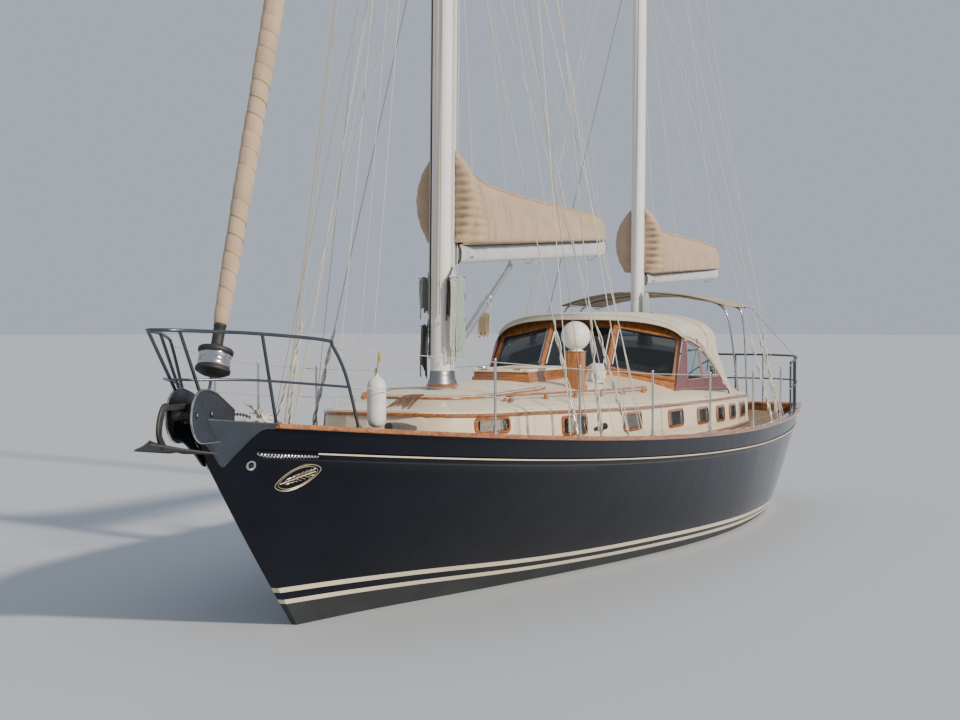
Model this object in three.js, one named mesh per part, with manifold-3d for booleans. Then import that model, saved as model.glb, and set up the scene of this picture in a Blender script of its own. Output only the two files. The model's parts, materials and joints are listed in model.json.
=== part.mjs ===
import * as THREE from "three";
import Module from "manifold-3d";
import { mergeVertices } from "three/addons/utils/BufferGeometryUtils.js";

// A 15 m ketch afloat, in millimetres. +X is forward, +Y is port, +Z is up, and z = 0 is the waterline.
// Places along the boat are given as the distance aft of the point where the stem meets the water.

const wasm = await Module();
wasm.setup();

// Driving dimensions
const stemX = 6300; // the stem at the waterline, ahead of the origin
const seam = 0.6; // running gap between pieces that touch
const railThickness = 40;
const railBreadth = 130;
const bulwarkHeight = 100; // cap rail's underside above the deck
const bulwarkThickness = 70;
const deckCamber = 50;
const sheerLow = 1330; // cap rail's top at its lowest
const sheerLowAt = 9500;
const sheerRise = { bow: 615, bowAt: -1800, bowPower: 1.9, stern: 70, sternAt: 13200 };
const transomAt = { rail: 13200, water: 12600 };
const mastRake = 0.022;
const mainMast = {
  at: 3450, foot: 1990, top: 17300, long: 290, broad: 235, spreaders: [[7600, 1080], [12300, 800]],
};
const mizzenMast = { at: 10420, foot: 1850, top: 12900, long: 215, broad: 175, spreaders: [[7900, 720]] };
const mainBoom = { up: 3390, rise: 0.037, length: 5180, height: 200, breadth: 130, pin: 70 };
const mizzenBoom = { up: 3190, rise: 0.033, length: 4050, height: 150, breadth: 100, pin: 67.5 };
const forestay = { foot: [-1560, 2070], drum: [2290, 2530], sail: 2680, head: 16850, slope: 0.3533 };

const along = (aft) => stemX - aft;

// Materials
const paint = (color, roughness = 0.5, metalness = 0) =>
  new THREE.MeshStandardMaterial({ color, roughness, metalness });
const navyPaint = paint(0x0b0f18, 0.12);
const creamPaint = paint(0xe6d6bd, 0.35);
const varnishedWood = paint(0x8a4a1e, 0.3);
const stainless = paint(0xb9bcbf, 0.25, 1);
const darkMetal = paint(0x2a2c2f, 0.35, 0.9);
const whitePaint = paint(0xf1f1ee, 0.3);
const tanCloth = paint(0xb49468, 0.9);
const creamCloth = paint(0xcfc6b2, 0.9);
const burgundyCloth = paint(0x5e2a2f, 0.85);
const darkGlass = paint(0x1d2730, 0.05);
const bronze = paint(0x9a7440, 0.35, 1);
const greyPaint = paint(0x3a3d42, 0.6);
const whiteVinyl = paint(0xeeeeea, 0.45);

const group = new THREE.Group();

function add(name, geometry, material) {
  const mesh = new THREE.Mesh(geometry, material);
  mesh.name = name;
  group.add(mesh);
}

// Solids: three.js geometry in, joined or cut geometry out
function solid(geometry) {
  let bare = geometry.index ? geometry.toNonIndexed() : geometry.clone();
  for (const key of Object.keys(bare.attributes)) if (key !== "position") bare.deleteAttribute(key);
  bare = mergeVertices(bare, 1e-3);
  return new wasm.Manifold(new wasm.Mesh({
    numProp: 3,
    vertProperties: bare.attributes.position.array,
    triVerts: new Uint32Array(bare.index.array),
  }));
}

function surface(made) {
  const mesh = made.getMesh();
  const geometry = new THREE.BufferGeometry();
  geometry.setAttribute("position", new THREE.BufferAttribute(new Float32Array(mesh.vertProperties), 3));
  geometry.setIndex(new THREE.BufferAttribute(new Uint32Array(mesh.triVerts), 1));
  return geometry;
}

const join = (...pieces) => surface(pieces.map(solid).reduce((whole, next) => whole.add(next)));
const cut = (piece, ...tools) =>
  surface(tools.map(solid).reduce((rest, tool) => rest.subtract(tool), solid(piece)));
const within = (piece, space) => surface(solid(piece).intersect(solid(space)));
const mirrored = (geometry) => surface(solid(geometry).mirror([0, 1, 0]));

// A curve through [place, value] rows, smooth where it bends
function between(rows, place, column = 1) {
  const last = rows.length - 1;
  if (place <= rows[0][0]) return rows[0][column];
  if (place >= rows[last][0]) return rows[last][column];
  const i = rows.findIndex((row) => row[0] > place) - 1;
  const slope = (k) => {
    const a = rows[Math.max(k - 1, 0)];
    const b = rows[Math.min(k + 1, last)];
    return (b[column] - a[column]) / (b[0] - a[0]);
  };
  const span = rows[i + 1][0] - rows[i][0];
  const t = (place - rows[i][0]) / span;
  const [t2, t3] = [t * t, t * t * t];
  return (2 * t3 - 3 * t2 + 1) * rows[i][column] + (t3 - 2 * t2 + t) * span * slope(i)
    + (3 * t2 - 2 * t3) * rows[i + 1][column] + (t3 - t2) * span * slope(i + 1);
}

const lerp = THREE.MathUtils.lerp;
const range = (count) => Array.from({ length: count + 1 }, (_, i) => i / count);

// A closed skin over rings of points, each ring in the same order, split along the shorter diagonals
function skin(rings, capFaces = flatFaces) {
  const count = rings[0].length;
  const points = rings.flat();
  const apart = (i, j) => Math.hypot(...points[i].map((v, k) => v - points[j][k]));
  const faces = [];
  for (let i = 0; i + 1 < rings.length; i++) {
    for (let j = 0; j < count; j++) {
      const k = (j + 1) % count;
      const [a, b, c, d] = [i * count + j, i * count + k, (i + 1) * count + k, (i + 1) * count + j];
      if (apart(a, c) <= apart(b, d)) faces.push(a, b, c, a, c, d);
      else faces.push(a, b, d, b, c, d);
    }
  }
  const ends = [[rings[0], 0, true], [rings.at(-1), (rings.length - 1) * count, false]];
  for (const [ring, base, turn] of ends) {
    for (const face of capFaces(ring)) {
      const [a, b, c] = face.map((k) => base + k);
      faces.push(...(turn ? [a, c, b] : [a, b, c]));
    }
  }
  const geometry = new THREE.BufferGeometry();
  geometry.setAttribute("position", new THREE.Float32BufferAttribute(points.flat(), 3));
  geometry.setIndex(faces);
  return facingOut(geometry);
}

// Triangles over a ring whose second half mirrors its first
function pairedFaces(ring) {
  const last = ring.length - 1;
  const faces = [];
  for (let j = 0; j + 1 < ring.length / 2; j++) {
    faces.push([j, j + 1, last - j - 1], [j, last - j - 1, last - j]);
  }
  return faces;
}

// Triangles over one ring, in the ring's own order
function flatFaces(ring) {
  const points = ring.map((p) => new THREE.Vector3(...p));
  const normal = new THREE.Vector3();
  points.forEach((p, i) => {
    const q = points[(i + 1) % points.length];
    normal.x += (p.y - q.y) * (p.z + q.z);
    normal.y += (p.z - q.z) * (p.x + q.x);
    normal.z += (p.x - q.x) * (p.y + q.y);
  });
  normal.normalize();
  const side = Math.abs(normal.x) > 0.8 ? new THREE.Vector3(0, 1, 0) : new THREE.Vector3(1, 0, 0);
  const up = normal.clone().cross(side).normalize();
  side.copy(up).cross(normal);
  const flat = points.map((p) => new THREE.Vector2(p.dot(side), p.dot(up)));
  const faces = THREE.ShapeUtils.triangulateShape(flat, []);
  return THREE.ShapeUtils.area(flat) > 0 ? faces : faces.map(([a, b, c]) => [a, c, b]);
}

function facingOut(geometry) {
  const p = geometry.attributes.position;
  const index = geometry.index.array;
  const [a, b, c] = [new THREE.Vector3(), new THREE.Vector3(), new THREE.Vector3()];
  let volume = 0;
  for (let i = 0; i < index.length; i += 3) {
    a.fromBufferAttribute(p, index[i]);
    b.fromBufferAttribute(p, index[i + 1]);
    c.fromBufferAttribute(p, index[i + 2]);
    volume += a.dot(b.cross(c));
  }
  if (volume < 0) {
    for (let i = 0; i < index.length; i += 3) [index[i + 1], index[i + 2]] = [index[i + 2], index[i + 1]];
  }
  return geometry;
}

// Simple pieces, placed by aft distance, port distance and height
const spot = ([aft, port, up]) => new THREE.Vector3(along(aft), port, up);

function block(aft, port, up) {
  const geometry = new THREE.BoxGeometry(aft[1] - aft[0], port[1] - port[0], up[1] - up[0]);
  geometry.translate(along((aft[0] + aft[1]) / 2), (port[0] + port[1]) / 2, (up[0] + up[1]) / 2);
  return geometry;
}

function rod(from, to, radius, sides = 8, endRadius = radius) {
  const [a, b] = [spot(from), spot(to)];
  const geometry = new THREE.CylinderGeometry(endRadius, radius, a.distanceTo(b), sides);
  const reach = b.clone().sub(a).normalize();
  const turn = new THREE.Quaternion().setFromUnitVectors(new THREE.Vector3(0, 1, 0), reach);
  geometry.applyQuaternion(turn);
  geometry.translate((a.x + b.x) / 2, (a.y + b.y) / 2, (a.z + b.z) / 2);
  return geometry;
}

// A pipe through the given spots, with a ring of points at each one
function pipe(spots, radius, sides = 6) {
  const points = spots.map(spot);
  const along3 = (i) => points[Math.min(i + 1, points.length - 1)].clone()
    .sub(points[Math.max(i - 1, 0)]).normalize();
  let across = new THREE.Vector3(0.31, 0.17, 0.94).cross(along3(0)).normalize();
  const rings = points.map((point, i) => {
    const ahead = along3(i);
    across = across.addScaledVector(ahead, -across.dot(ahead)).normalize();
    const other = ahead.clone().cross(across);
    return range(sides).slice(1).map((t) => point.clone()
      .addScaledVector(across, radius * Math.cos(2 * Math.PI * t))
      .addScaledVector(other, radius * Math.sin(2 * Math.PI * t)).toArray());
  });
  return skin(rings);
}

function ball(at, radius, sides = 6) {
  const geometry = new THREE.SphereGeometry(radius, sides, sides > 6 ? 5 : 3);
  const p = spot(at);
  geometry.translate(p.x, p.y, p.z);
  return geometry;
}

function turned(profile, at, sides = 16) {
  const geometry = new THREE.LatheGeometry(profile.map(([r, h]) => new THREE.Vector2(r, h)), sides);
  geometry.rotateX(Math.PI / 2);
  const p = spot(at);
  geometry.translate(p.x, p.y, p.z);
  return facingOut(mergeVertices(bareCopy(geometry), 1e-3));
}

function bareCopy(geometry) {
  const bare = geometry.clone();
  bare.deleteAttribute("normal");
  bare.deleteAttribute("uv");
  return bare;
}

// Hull lines
const sheerBreadth = [ // aft, half breadth at the cap rail
  [-1800, 80], [-1200, 440], [-600, 790], [0, 1080], [1000, 1450], [2000, 1700], [3000, 1870], [4000, 1990],
  [5500, 2110], [7000, 2180], [8500, 2195], [10000, 2120], [11000, 2030], [12000, 1900], [13200, 1660],
];
const waterBreadth = [ // aft, half breadth at the waterline
  [0, 25], [1100, 280], [2500, 690], [3900, 1070], [5400, 1420], [7000, 1690], [8500, 1800],
  [10000, 1745], [11300, 1590], [12600, 1270],
];
const flare = [ // share of the length from the bow, power of the topside's curve
  [0, 1.1], [0.25, 0.9], [0.5, 0.6], [0.8, 0.6], [1, 0.75],
];
const underwater = [ // height, stem aft, stern aft, share of the water breadth, half thickness of the keel
  [-300, 330, 12150, 0.93, 30],
  [-600, 820, 11800, 0.74, 60],
  [-880, 1500, 11560, 0.44, 95],
  [-1100, 2150, 11440, 0.2, 120],
  [-1500, 3300, 11360, 0.05, 135],
  [-2000, 4900, 11280, 0, 130],
];
const keelDrop = 120; // the keel's foot is this much deeper aft than forward

function sheer(aft) {
  const share = aft < sheerLowAt
    ? sheerRise.bow * ((sheerLowAt - aft) / (sheerLowAt - sheerRise.bowAt)) ** sheerRise.bowPower
    : sheerRise.stern * ((aft - sheerLowAt) / (sheerRise.sternAt - sheerLowAt)) ** 2;
  return sheerLow + share;
}
const railHalf = (aft) => between(sheerBreadth, aft);

// Levels of the topside below the cap rail's top, and how far the strake stands out there
const strake = { top: 235, height: 50, out: 22, startAft: -1250 };
const topsideLevels = [
  { below: railThickness, out: 0 },
  { below: strake.top - 6, out: 0 },
  { below: strake.top, out: 1 },
  { below: strake.top + strake.height, out: 1 },
  { below: strake.top + strake.height + 14, out: 0 },
  { share: 0.72, out: 0 }, { share: 0.55, out: 0 }, { share: 0.36, out: 0 }, { share: 0.18, out: 0 },
  { share: 0, out: 0 },
];

// Points down one side of the hull at a share of its length
function hullSide(share, grow = 0) {
  const breadthTop = railHalf(lerp(sheerRise.bowAt, transomAt.rail, share));
  const breadthWater = between(waterBreadth, lerp(0, transomAt.water, share));
  const power = between(flare, share);
  const rows = topsideLevels.map(({ below, share: part, out }) => {
    let aft = lerp(sheerRise.bowAt, transomAt.rail, share);
    let up = 0;
    for (let pass = 0; pass < 4; pass++) {
      up = below === undefined ? part * sheer(aft) : sheer(aft) - below;
      const t = up / sheer(aft);
      aft = lerp(sheerRise.bowAt * t, lerp(transomAt.water, transomAt.rail, t), share);
    }
    const half = breadthWater + (breadthTop - breadthWater) * (up / sheer(aft)) ** power;
    const stand = aft > strake.startAft ? out * strake.out : 0;
    return [aft, half + stand + grow, up + (below === railThickness ? grow : 0)];
  });
  underwater.forEach(([up, stem, stern, full, keel], k) => {
    const tail = THREE.MathUtils.clamp((share - 0.52) / 0.48, 0, 1);
    const nose = Math.min(1, share * 6);
    const half = keel * nose + 25 * (1 - nose) + breadthWater * full * (1 - tail ** (2.6 - 0.2 * k));
    const drop = k === underwater.length - 1 ? keelDrop * share : 0;
    rows.push([lerp(stem, stern, share), half + grow, up - drop]);
  });
  return rows;
}

function hullBody(grow = 0) {
  const rings = range(26).map((share) => {
    const eased = lerp(share, share * share * (3 - 2 * share), 0.35);
    const side = hullSide(eased, grow);
    const end = share === 0 ? -grow : share === 1 ? grow : 0;
    const port = side.map(([aft, half, up]) => [along(aft + end), half, up]);
    const starboard = port.map(([x, y, z]) => [x, -y, z]).reverse();
    return [...port, ...starboard];
  });
  return skin(rings, pairedFaces);
}

// Half breadth of the topside at a place and height
function topsideHalf(aft, up) {
  const t = up / sheer(aft);
  const [first, last] = [sheerRise.bowAt * t, lerp(transomAt.water, transomAt.rail, t)];
  const share = THREE.MathUtils.clamp((aft - first) / (last - first), 0, 1);
  const breadthTop = railHalf(lerp(sheerRise.bowAt, transomAt.rail, share));
  const breadthWater = between(waterBreadth, lerp(0, transomAt.water, share));
  return breadthWater + (breadthTop - breadthWater) * t ** between(flare, share);
}

// The space above the deck, inside the bulwarks, which lean with the topside
function deckSpace(inset = 0) {
  const stations = [-1440, -1200, -900, -500, 0, 700, 1500, 2500, 3500, 5000, 7000, 9000, 10500, 12000,
    13080];
  const narrowest = 60;
  const roofRise = 900;
  const rings = stations.map((aft) => {
    const top = Math.max(railHalf(aft) - bulwarkThickness, narrowest) - inset;
    const onDeck = topsideHalf(aft, deckAt(aft)) - bulwarkThickness - inset;
    const foot = Math.max(Math.min(onDeck, top), narrowest / 2);
    const floor = deckAt(aft) + inset;
    const crown = floor + deckCamber * 0.75;
    const half = [[foot / 2, crown], [foot, floor], [top, sheer(aft)], [top, sheer(aft) + roofRise]];
    const other = half.map(([y, z]) => [-y, z]).reverse();
    return [...other, ...half].map(([y, z]) => [along(aft), y, z]);
  });
  return skin(rings);
}
const deckAt = (aft) => sheer(aft) - railThickness - bulwarkHeight;

// Coachroof
const roofEdge = [ // aft, half breadth, height of the side's top edge, height at the middle
  [1960, 420, 1815, 1822], [2040, 610, 1808, 1832], [2180, 760, 1803, 1846], [2600, 950, 1792, 1885],
  [3400, 1150, 1778, 1940], [4400, 1320, 1750, 1975], [6000, 1450, 1705, 1990], [7600, 1510, 1680, 1995],
  [8600, 1525, 1666, 1985], [9400, 1510, 1655, 1940], [10000, 1490, 1647, 1890], [10500, 1460, 1638, 1865],
  [11050, 1420, 1628, 1840],
];
const roofSides = 30; // the side leans in by this much

function coachroofBody(grow = 0) {
  const rings = roofEdge.map(([aft, half, edge, middle], i) => {
    const low = deckAt(aft) - 60;
    const side = [[half + grow, low], [half - roofSides + grow, edge + grow]];
    for (const t of [0.8, 0.55, 0.3]) {
      side.push([(half - roofSides) * t, lerp(middle, edge, t ** 2.4) + grow]);
    }
    const end = i === 0 ? -grow : i === roofEdge.length - 1 ? grow : 0;
    const other = side.map(([y, z]) => [-y, z]).reverse();
    return [...side, [0, middle + grow], ...other].map(([y, z]) => [along(aft + end), y, z]);
  });
  return skin(rings);
}
const roofAt = (aft, port) => {
  const half = between(roofEdge, aft, 1) - roofSides;
  const across = Math.min(Math.abs(port) / half, 1);
  return lerp(between(roofEdge, aft, 3), between(roofEdge, aft, 2), across ** 2.4);
};

// The helm's well and the seats beside it, under the canvas shelter
const well = { front: 8620, back: 9860, half: 420, floor: 930 };
const seats = { front: 8620, back: 9990, half: 1170, up: 1380 };
const wellSpace = () => block([well.front, well.back], [-well.half, well.half], [well.floor, 2400]);
const seatSpace = () => block([seats.front, seats.back], [-seats.half, seats.half], [seats.up, 2400]);

function coachroof() {
  const onDeck = within(coachroofBody(), deckSpace(seam));
  return cut(onDeck, wellSpace(), seatSpace());
}

// The stern: a propeller in an aperture between the keel and the rudder
const shaft = { up: -860, hub: 11290, from: 10900 };
const aperture = [ // aft, height
  [11140, -1200], [11080, -860], [11140, -520], [11560, -470], [11560, -1260],
];
const rudder = { stock: 11560, half: 32, heel: -2060, top: -420, chord: 620 };

function prism(outline, halfWidth) {
  return skin([-halfWidth, halfWidth].map((y) => outline.map(([aft, up]) => [along(aft), y, up])));
}

function hull() {
  const rudderSpace = prism([[rudder.stock - 70, -2300], [rudder.stock - 70, rudder.top + 20],
    [12700, rudder.top + 20], [12700, -2300]], 400);
  const stockHole = rod([rudder.stock, 0, -700], [rudder.stock, 0, 400], 40.8, 24);
  const shaftHole = rod([shaft.from - 300, 0, shaft.up], [11300, 0, shaft.up], 24.8, 20);
  const heel = block([11200, 11760], [-60, 60], [-2110, -2080]);
  return cut(join(cut(hullBody(), deckSpace(), wellSpace(), prism(aperture, 300), rudderSpace), heel),
    stockHole, shaftHole);
}

function rudderBlade() {
  const chordAt = (up) =>
    rudder.chord * (0.72 + 0.28 * Math.sin(Math.PI * Math.min(1, (rudder.top - up) / 1500)));
  const rings = [-2060, -1700, -1200, -800, -445].map((up) => {
    const back = rudder.stock + chordAt(up);
    return [[rudder.stock - 45, 0], [rudder.stock - 20, 34], [rudder.stock + 90, 40], [back, 8], [back, -8],
      [rudder.stock + 90, -40], [rudder.stock - 20, -34]].map(([aft, y]) => [along(aft), y, up]);
  });
  return join(skin(rings), rod([rudder.stock, 0, -460], [rudder.stock, 0, 380], 40, 24));
}

function propeller() {
  const hub = rod([shaft.hub - 70, 0, shaft.up], [shaft.hub + 80, 0, shaft.up], 48, 12, 30);
  const shaftRod = rod([shaft.from - 250, 0, shaft.up], [shaft.hub, 0, shaft.up], 24, 20);
  const blades = [0, 1, 2].map((k) => {
    const geometry = new THREE.BoxGeometry(16, 130, 240);
    geometry.translate(0, 0, 150);
    geometry.rotateZ(0.6);
    geometry.rotateX((2 * Math.PI * k) / 3);
    geometry.translate(along(shaft.hub), 0, shaft.up);
    return geometry;
  });
  return join(hub, shaftRod, ...blades);
}

// A rail that follows the sheer down one side
const railEnds = [-1190, 13228];

function railBody(grow = 0) {
  const [from, to] = railEnds;
  const rings = range(26).map((t) => {
    const aft = lerp(from, to, t);
    const slope = (railHalf(aft + 10) - railHalf(aft - 10)) / 20;
    const stretch = Math.hypot(1, slope);
    const outer = railHalf(aft) + 26 * stretch + grow;
    const inner = railHalf(aft) - (railBreadth - 26) * stretch - grow;
    const top = sheer(aft) + grow;
    const low = top - railThickness - 4;
    return [[inner, low], [inner, top - 8], [inner + 12, top],
      [outer - 16, top], [outer, top - 14], [outer, low]]
      .map(([y, z]) => [along(aft), y, z]);
  });
  return skin(rings);
}
const capRail = (body) => cut(body, hullBody(seam));

function sternRailBody(grow = 0) {
  const half = railHalf(13200) - 108;
  const top = sheer(13200);
  return block([13075, 13230], [-half, half], [top - railThickness - 4, top + grow]);
}
const sternRail = () => cut(sternRailBody(), hullBody(seam));
const offRails = (piece) => cut(piece, railBody(seam), mirrored(railBody(seam)), sternRailBody(seam));

// Stem head: side plates, two tall cheeks with rollers between them, and the forestay's eye
const bow = { plateBack: -1195, cheek: 110, cheekAft: [-2030, -1310], cheekUp: [1840, 2180] };
const cheekSlope = { run: 430, drop: 190 }; // the cheek's top falls by the drop over the last of its length
const plateLow = [ // aft, height of the plate's lower edge
  [-2010, 1790], [-1800, 1755], [-1620, 1645], [-1450, 1530], [-1390, 1650], [-1300, 1825], [-1195, 1842],
];
const plateThick = 16;
const noseHalf = [[1500, 24], [1850, 106]]; // height, least half breadth round the stem

function cheekPlate(y, thickness) {
  const shape = new THREE.Shape();
  const corner = 130;
  const [x0, x1] = [along(bow.cheekAft[1]), along(bow.cheekAft[0])];
  const [z0, z1] = bow.cheekUp;
  shape.moveTo(x0, z0);
  shape.lineTo(x1 - corner, z0);
  shape.absarc(x1 - corner, z0 + corner, corner, -Math.PI / 2, 0);
  shape.lineTo(x1, z1 - corner);
  shape.absarc(x1 - corner, z1 - corner, corner, 0, Math.PI / 2);
  shape.lineTo(x0 + cheekSlope.run, z1);
  shape.lineTo(x0, z1 - cheekSlope.drop);
  const extrusion = { depth: thickness, bevelEnabled: false, curveSegments: 6 };
  const geometry = new THREE.ExtrudeGeometry(shape, extrusion);
  geometry.rotateX(Math.PI / 2);
  geometry.translate(0, y + thickness / 2, 0);
  return geometry;
}

function stemPlates() {
  const half = (aft, up) => Math.max(topsideHalf(Math.max(aft, -1790 * (up / sheer(aft))), up) + plateThick,
    between(noseHalf, up, 1));
  const rings = plateLow.map(([aft, low]) => {
    const top = sheer(aft) + 2;
    const shoulder = top - 20;
    const levels = [low, lerp(low, shoulder, 0.5), shoulder];
    const port = levels.map((up) => [half(aft, up), up]);
    const upper = half(aft, shoulder) - 20;
    return [...port, [upper, top], [-upper, top], ...port.toReversed().map(([y, z]) => [-y, z])]
      .map(([y, z]) => [along(aft), y, z]);
  });
  return skin(rings);
}

function bowFitting() {
  const plates = cut(stemPlates(), deckSpace());
  const cheeks = [-1, 1].map((side) => cheekPlate(side * bow.cheek, 14));
  const rollers = [[-1930, 1980], [-1690, 1980]].map(([aft, up]) =>
    rod([aft, -bow.cheek, up], [aft, bow.cheek, up], 50, 12));
  const [eyeAft, eyeUp] = forestay.foot;
  const eye = block([eyeAft - 40, eyeAft + 40], [-8, 8], [1900, eyeUp + 40]);
  const toggle = rod(stayAt(eyeUp), stayAt(forestay.drum[0] - 0.7), 14, 8);
  return cut(join(plates, ...cheeks, ...rollers, eye, toggle), hullBody(seam));
}

function anchor() {
  const shank = block([-2230, -1640], [-14, 14], [2030.5, 2075]);
  const neck = prism([[-2200, 2045], [-2200, 2088], [-2250, 2080], [-2345, 1960], [-2360, 1840],
    [-2300, 1740], [-2230, 1740], [-2290, 1850], [-2280, 1930]], 14);
  const blade = skin([[-2480, 12, 1790], [-2300, 190, 1745], [-2080, 380, 1700], [-2060, 60, 1690]].map(
    ([aft, half, up]) => [[-half, up - 14], [half, up - 14], [half, up], [0, up + 30], [-half, up]]
      .map(([y, z]) => [along(aft), y, z])));
  return join(shank, neck, blade);
}

function windlass() {
  const floor = deckAt(-650) + deckCamber * 0.75;
  const base = block([-800, -480], [-150, 150], [floor - 20, floor + 90]);
  const drum = rod([-650, -210, floor + 160], [-650, 210, floor + 160], 78, 14);
  const body = block([-760, -530], [-90, 90], [floor + 60, floor + 250]);
  return within(join(base, drum, body), deckSpace(seam));
}

// Pulpit, pushpit, stanchions and lifelines
const tubeRadius = 15;
const wireRadius = 4;

const pulpitFoot = [-400, railHalf(-400) - 70, sheer(-400) - 25];

function pulpitTop(grow = 0) {
  const half = [[-2350, 0, 2670], [-2290, 125, 2668], [-2000, 275, 2655], [-1500, 475, 2628],
    [-900, 745, 2570]];
  const down = [[-800, 775, 2510], [-620, 810, 2260], pulpitFoot];
  const side = (k) => [...half, ...down].map(([aft, port, up]) => [aft, k * port, up]);
  return pipe([...side(-1).reverse(), ...side(1).slice(1)], tubeRadius + grow, 8);
}

function pulpit() {
  const rails = [-1, 1].flatMap((k) => [
    pipe([[-1985, 0, 2268], [-1955, k * 116, 2266], [-1500, k * 440, 2250], [-577, k * 817, 2165]], 11),
    rod([-2255, k * 143, 2666], [-1890, k * bow.cheek, bow.cheekUp[1] - 20], tubeRadius, 6),
    rod([-1500, k * 475, 2628], [-1130, k * 410, sheer(-1130) - 20], tubeRadius, 6),
  ]);
  const cheekTops = [-1, 1].map((k) => block(bow.cheekAft, [k * bow.cheek - 30, k * bow.cheek + 30],
    [bow.cheekUp[1] - 200, bow.cheekUp[1] + seam]));
  return cut(offRails(join(pulpitTop(), ...rails)), ...cheekTops);
}

const stanchionsAft = [1200, 2700, 4500, 6400, 8300, 10200];
const lifelineHeights = [340, 660];

const standOn = (aft) => railHalf(aft) - 45;
const pushpitPosts = [
  [11260, standOn(11260)], [12050, standOn(12050)], [12850, standOn(12850) - 30], [13150, 700],
];

function lifelines(side) {
  const posts = stanchionsAft.map((aft) => {
    const port = side * standOn(aft);
    return rod([aft, port, sheer(aft) - 15], [aft, port, sheer(aft) + 690], 12.5, 6);
  });
  const wires = lifelineHeights.flatMap((up, i) => {
    const front = [[-575, 817], [-772, 780]][i];
    const route = [[front[0], front[1], sheer(front[0]) + up]];
    for (const aft of [...stanchionsAft, pushpitPosts[0][0]]) {
      route.push([aft, standOn(aft), sheer(aft) + up]);
    }
    const run = route.map(([aft, port, z]) => [aft, side * port, z]);
    return run.slice(1).map((p, k) => rod(run[k], p, wireRadius, 4));
  });
  const [aft, port] = pushpitPosts[0];
  const post = rod([aft, side * port, 0], [aft, side * port, 3000], tubeRadius + seam, 6);
  return cut(offRails(join(...posts, ...wires)), pulpitTop(seam), post);
}

function pushpit() {
  const loop = (up) => {
    const half = [...pushpitPosts.slice(0, 3), [13120, 1250], [13150, 900]];
    const side = (k) => half.map(([aft, port]) => [aft, k * port, sheer(aft) + up]);
    return [...side(-1), [13155, 0, sheer(13155) + up], ...side(1).reverse()];
  };
  const rails = [[700, tubeRadius], [350, 11]].map(([up, radius]) => pipe(loop(up), radius));
  const posts = pushpitPosts.flatMap(([aft, port]) => [-1, 1].map((k) =>
    rod([aft, k * port, sheer(aft) - 20], [aft, k * port, sheer(aft) + 700], tubeRadius, 6)));
  return offRails(join(...rails, ...posts));
}

// Masts with their spreaders
const mastAt = (mast, up) => mast.at + mastRake * (up - mast.foot);

function mastBody(spec, grow = 0) {
  const levels = [spec.foot - 100, lerp(spec.foot, spec.top, 0.72), spec.top - 60, spec.top];
  const taper = [1, 1, 0.72, 0.66];
  return skin(levels.map((up, i) => range(14).slice(1).map((t) => {
    const angle = 2 * Math.PI * t;
    return [along(mastAt(spec, up)) + ((spec.long / 2) * taper[i] + grow) * Math.cos(angle),
      ((spec.broad / 2) * taper[i] + grow) * Math.sin(angle), up];
  })));
}

function mast(spec) {
  const arms = spec.spreaders.flatMap(([up, half]) => [-1, 1].map((k) =>
    rod([mastAt(spec, up), 0, up], [mastAt(spec, up) + 60, k * half, up + 60], 38, 8, 16)));
  return join(mastBody(spec), ...arms);
}

// Shrouds of one side: they meet at a bar along the bulwark
function shrouds(spec, plates, side) {
  const inboard = 136;
  const foot = (aft) => [aft, side * (railHalf(aft) - inboard), sheer(aft) - 75];
  const tip = ([up, half]) => [mastAt(spec, up) + 60, side * (half + 8.7), up + 60];
  const atMast = (up, ahead) => [mastAt(spec, up) + ahead, side * (spec.broad / 2 + 7.7), up];
  const low = spec.spreaders[0][0] - 90;
  const radius = 7;
  const tips = spec.spreaders.map(tip);
  const tops = [atMast(low, -40), tips[0], atMast(low, 40)];
  const wires = [
    rod(foot(plates[0]), tops[0], radius, 5),
    pipe([foot(plates[1]), ...tips, atMast(spec.top - 220, 0)], radius, 5),
    rod(foot(plates[2]), tops[2], radius, 5),
  ];
  const screws = plates.map((aft, i) => {
    const start = foot(aft);
    return rod(start, start.map((v, k) => lerp(v, tops[i][k], 0.08)), 14, 6);
  });
  const bar = skin([plates[0] - 60, (plates[0] + plates[2]) / 2, plates[2] + 60].map((aft) => {
    const [y0, y1] = [side * (railHalf(aft) - 160), side * (railHalf(aft) - 40)];
    const top = sheer(aft) - 60;
    return [[y0, top - 30], [y1, top - 30], [y1, top], [y0, top]].map(([y, z]) => [along(aft), y, z]);
  }));
  return join(...wires, ...screws, within(bar, deckSpace(seam)));
}
const mainPlates = [2880, 3380, 4120];
const mizzenPlates = [10150, 10600, 11080];

function triatic() {
  const from = mainMast.top - 120;
  const to = mizzenMast.top - 60;
  const wire = rod([mastAt(mainMast, from), 0, from], [mastAt(mizzenMast, to), 0, to], 6, 6);
  return cut(wire, mastBody(mainMast, seam), mastBody(mizzenMast, seam));
}

// Booms, each hinged on an upright pin just behind its mast
const pinAft = (mastSpec, boom) => mastAt(mastSpec, boom.up) + mastSpec.long / 2 + boom.pin;

function boomRings(mastSpec, boom, ends) {
  const pin = pinAft(mastSpec, boom);
  return ends.map((back) => range(10).slice(1).map((t) => {
    const angle = 2 * Math.PI * t;
    return [along(pin + back), (boom.breadth / 2) * Math.cos(angle),
      boom.up + boom.rise * back + (boom.height / 2) * Math.sin(angle)];
  }));
}

function boomSpar(mastSpec, boom) {
  const spar = skin(boomRings(mastSpec, boom, [55, boom.length]));
  const pin = pinAft(mastSpec, boom);
  const lug = block([pin - 45, pin + 120], [-22, 22], [boom.up - 63.4, boom.up + 63.4]);
  return join(spar, lug);
}

function gooseneck(mastSpec, boom) {
  const pin = pinAft(mastSpec, boom);
  return [78, -78].map((up) => block([mastAt(mastSpec, boom.up) + 40, pin + 40], [-30, 30],
    [boom.up + up - 14, boom.up + up + 14]));
}

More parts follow.
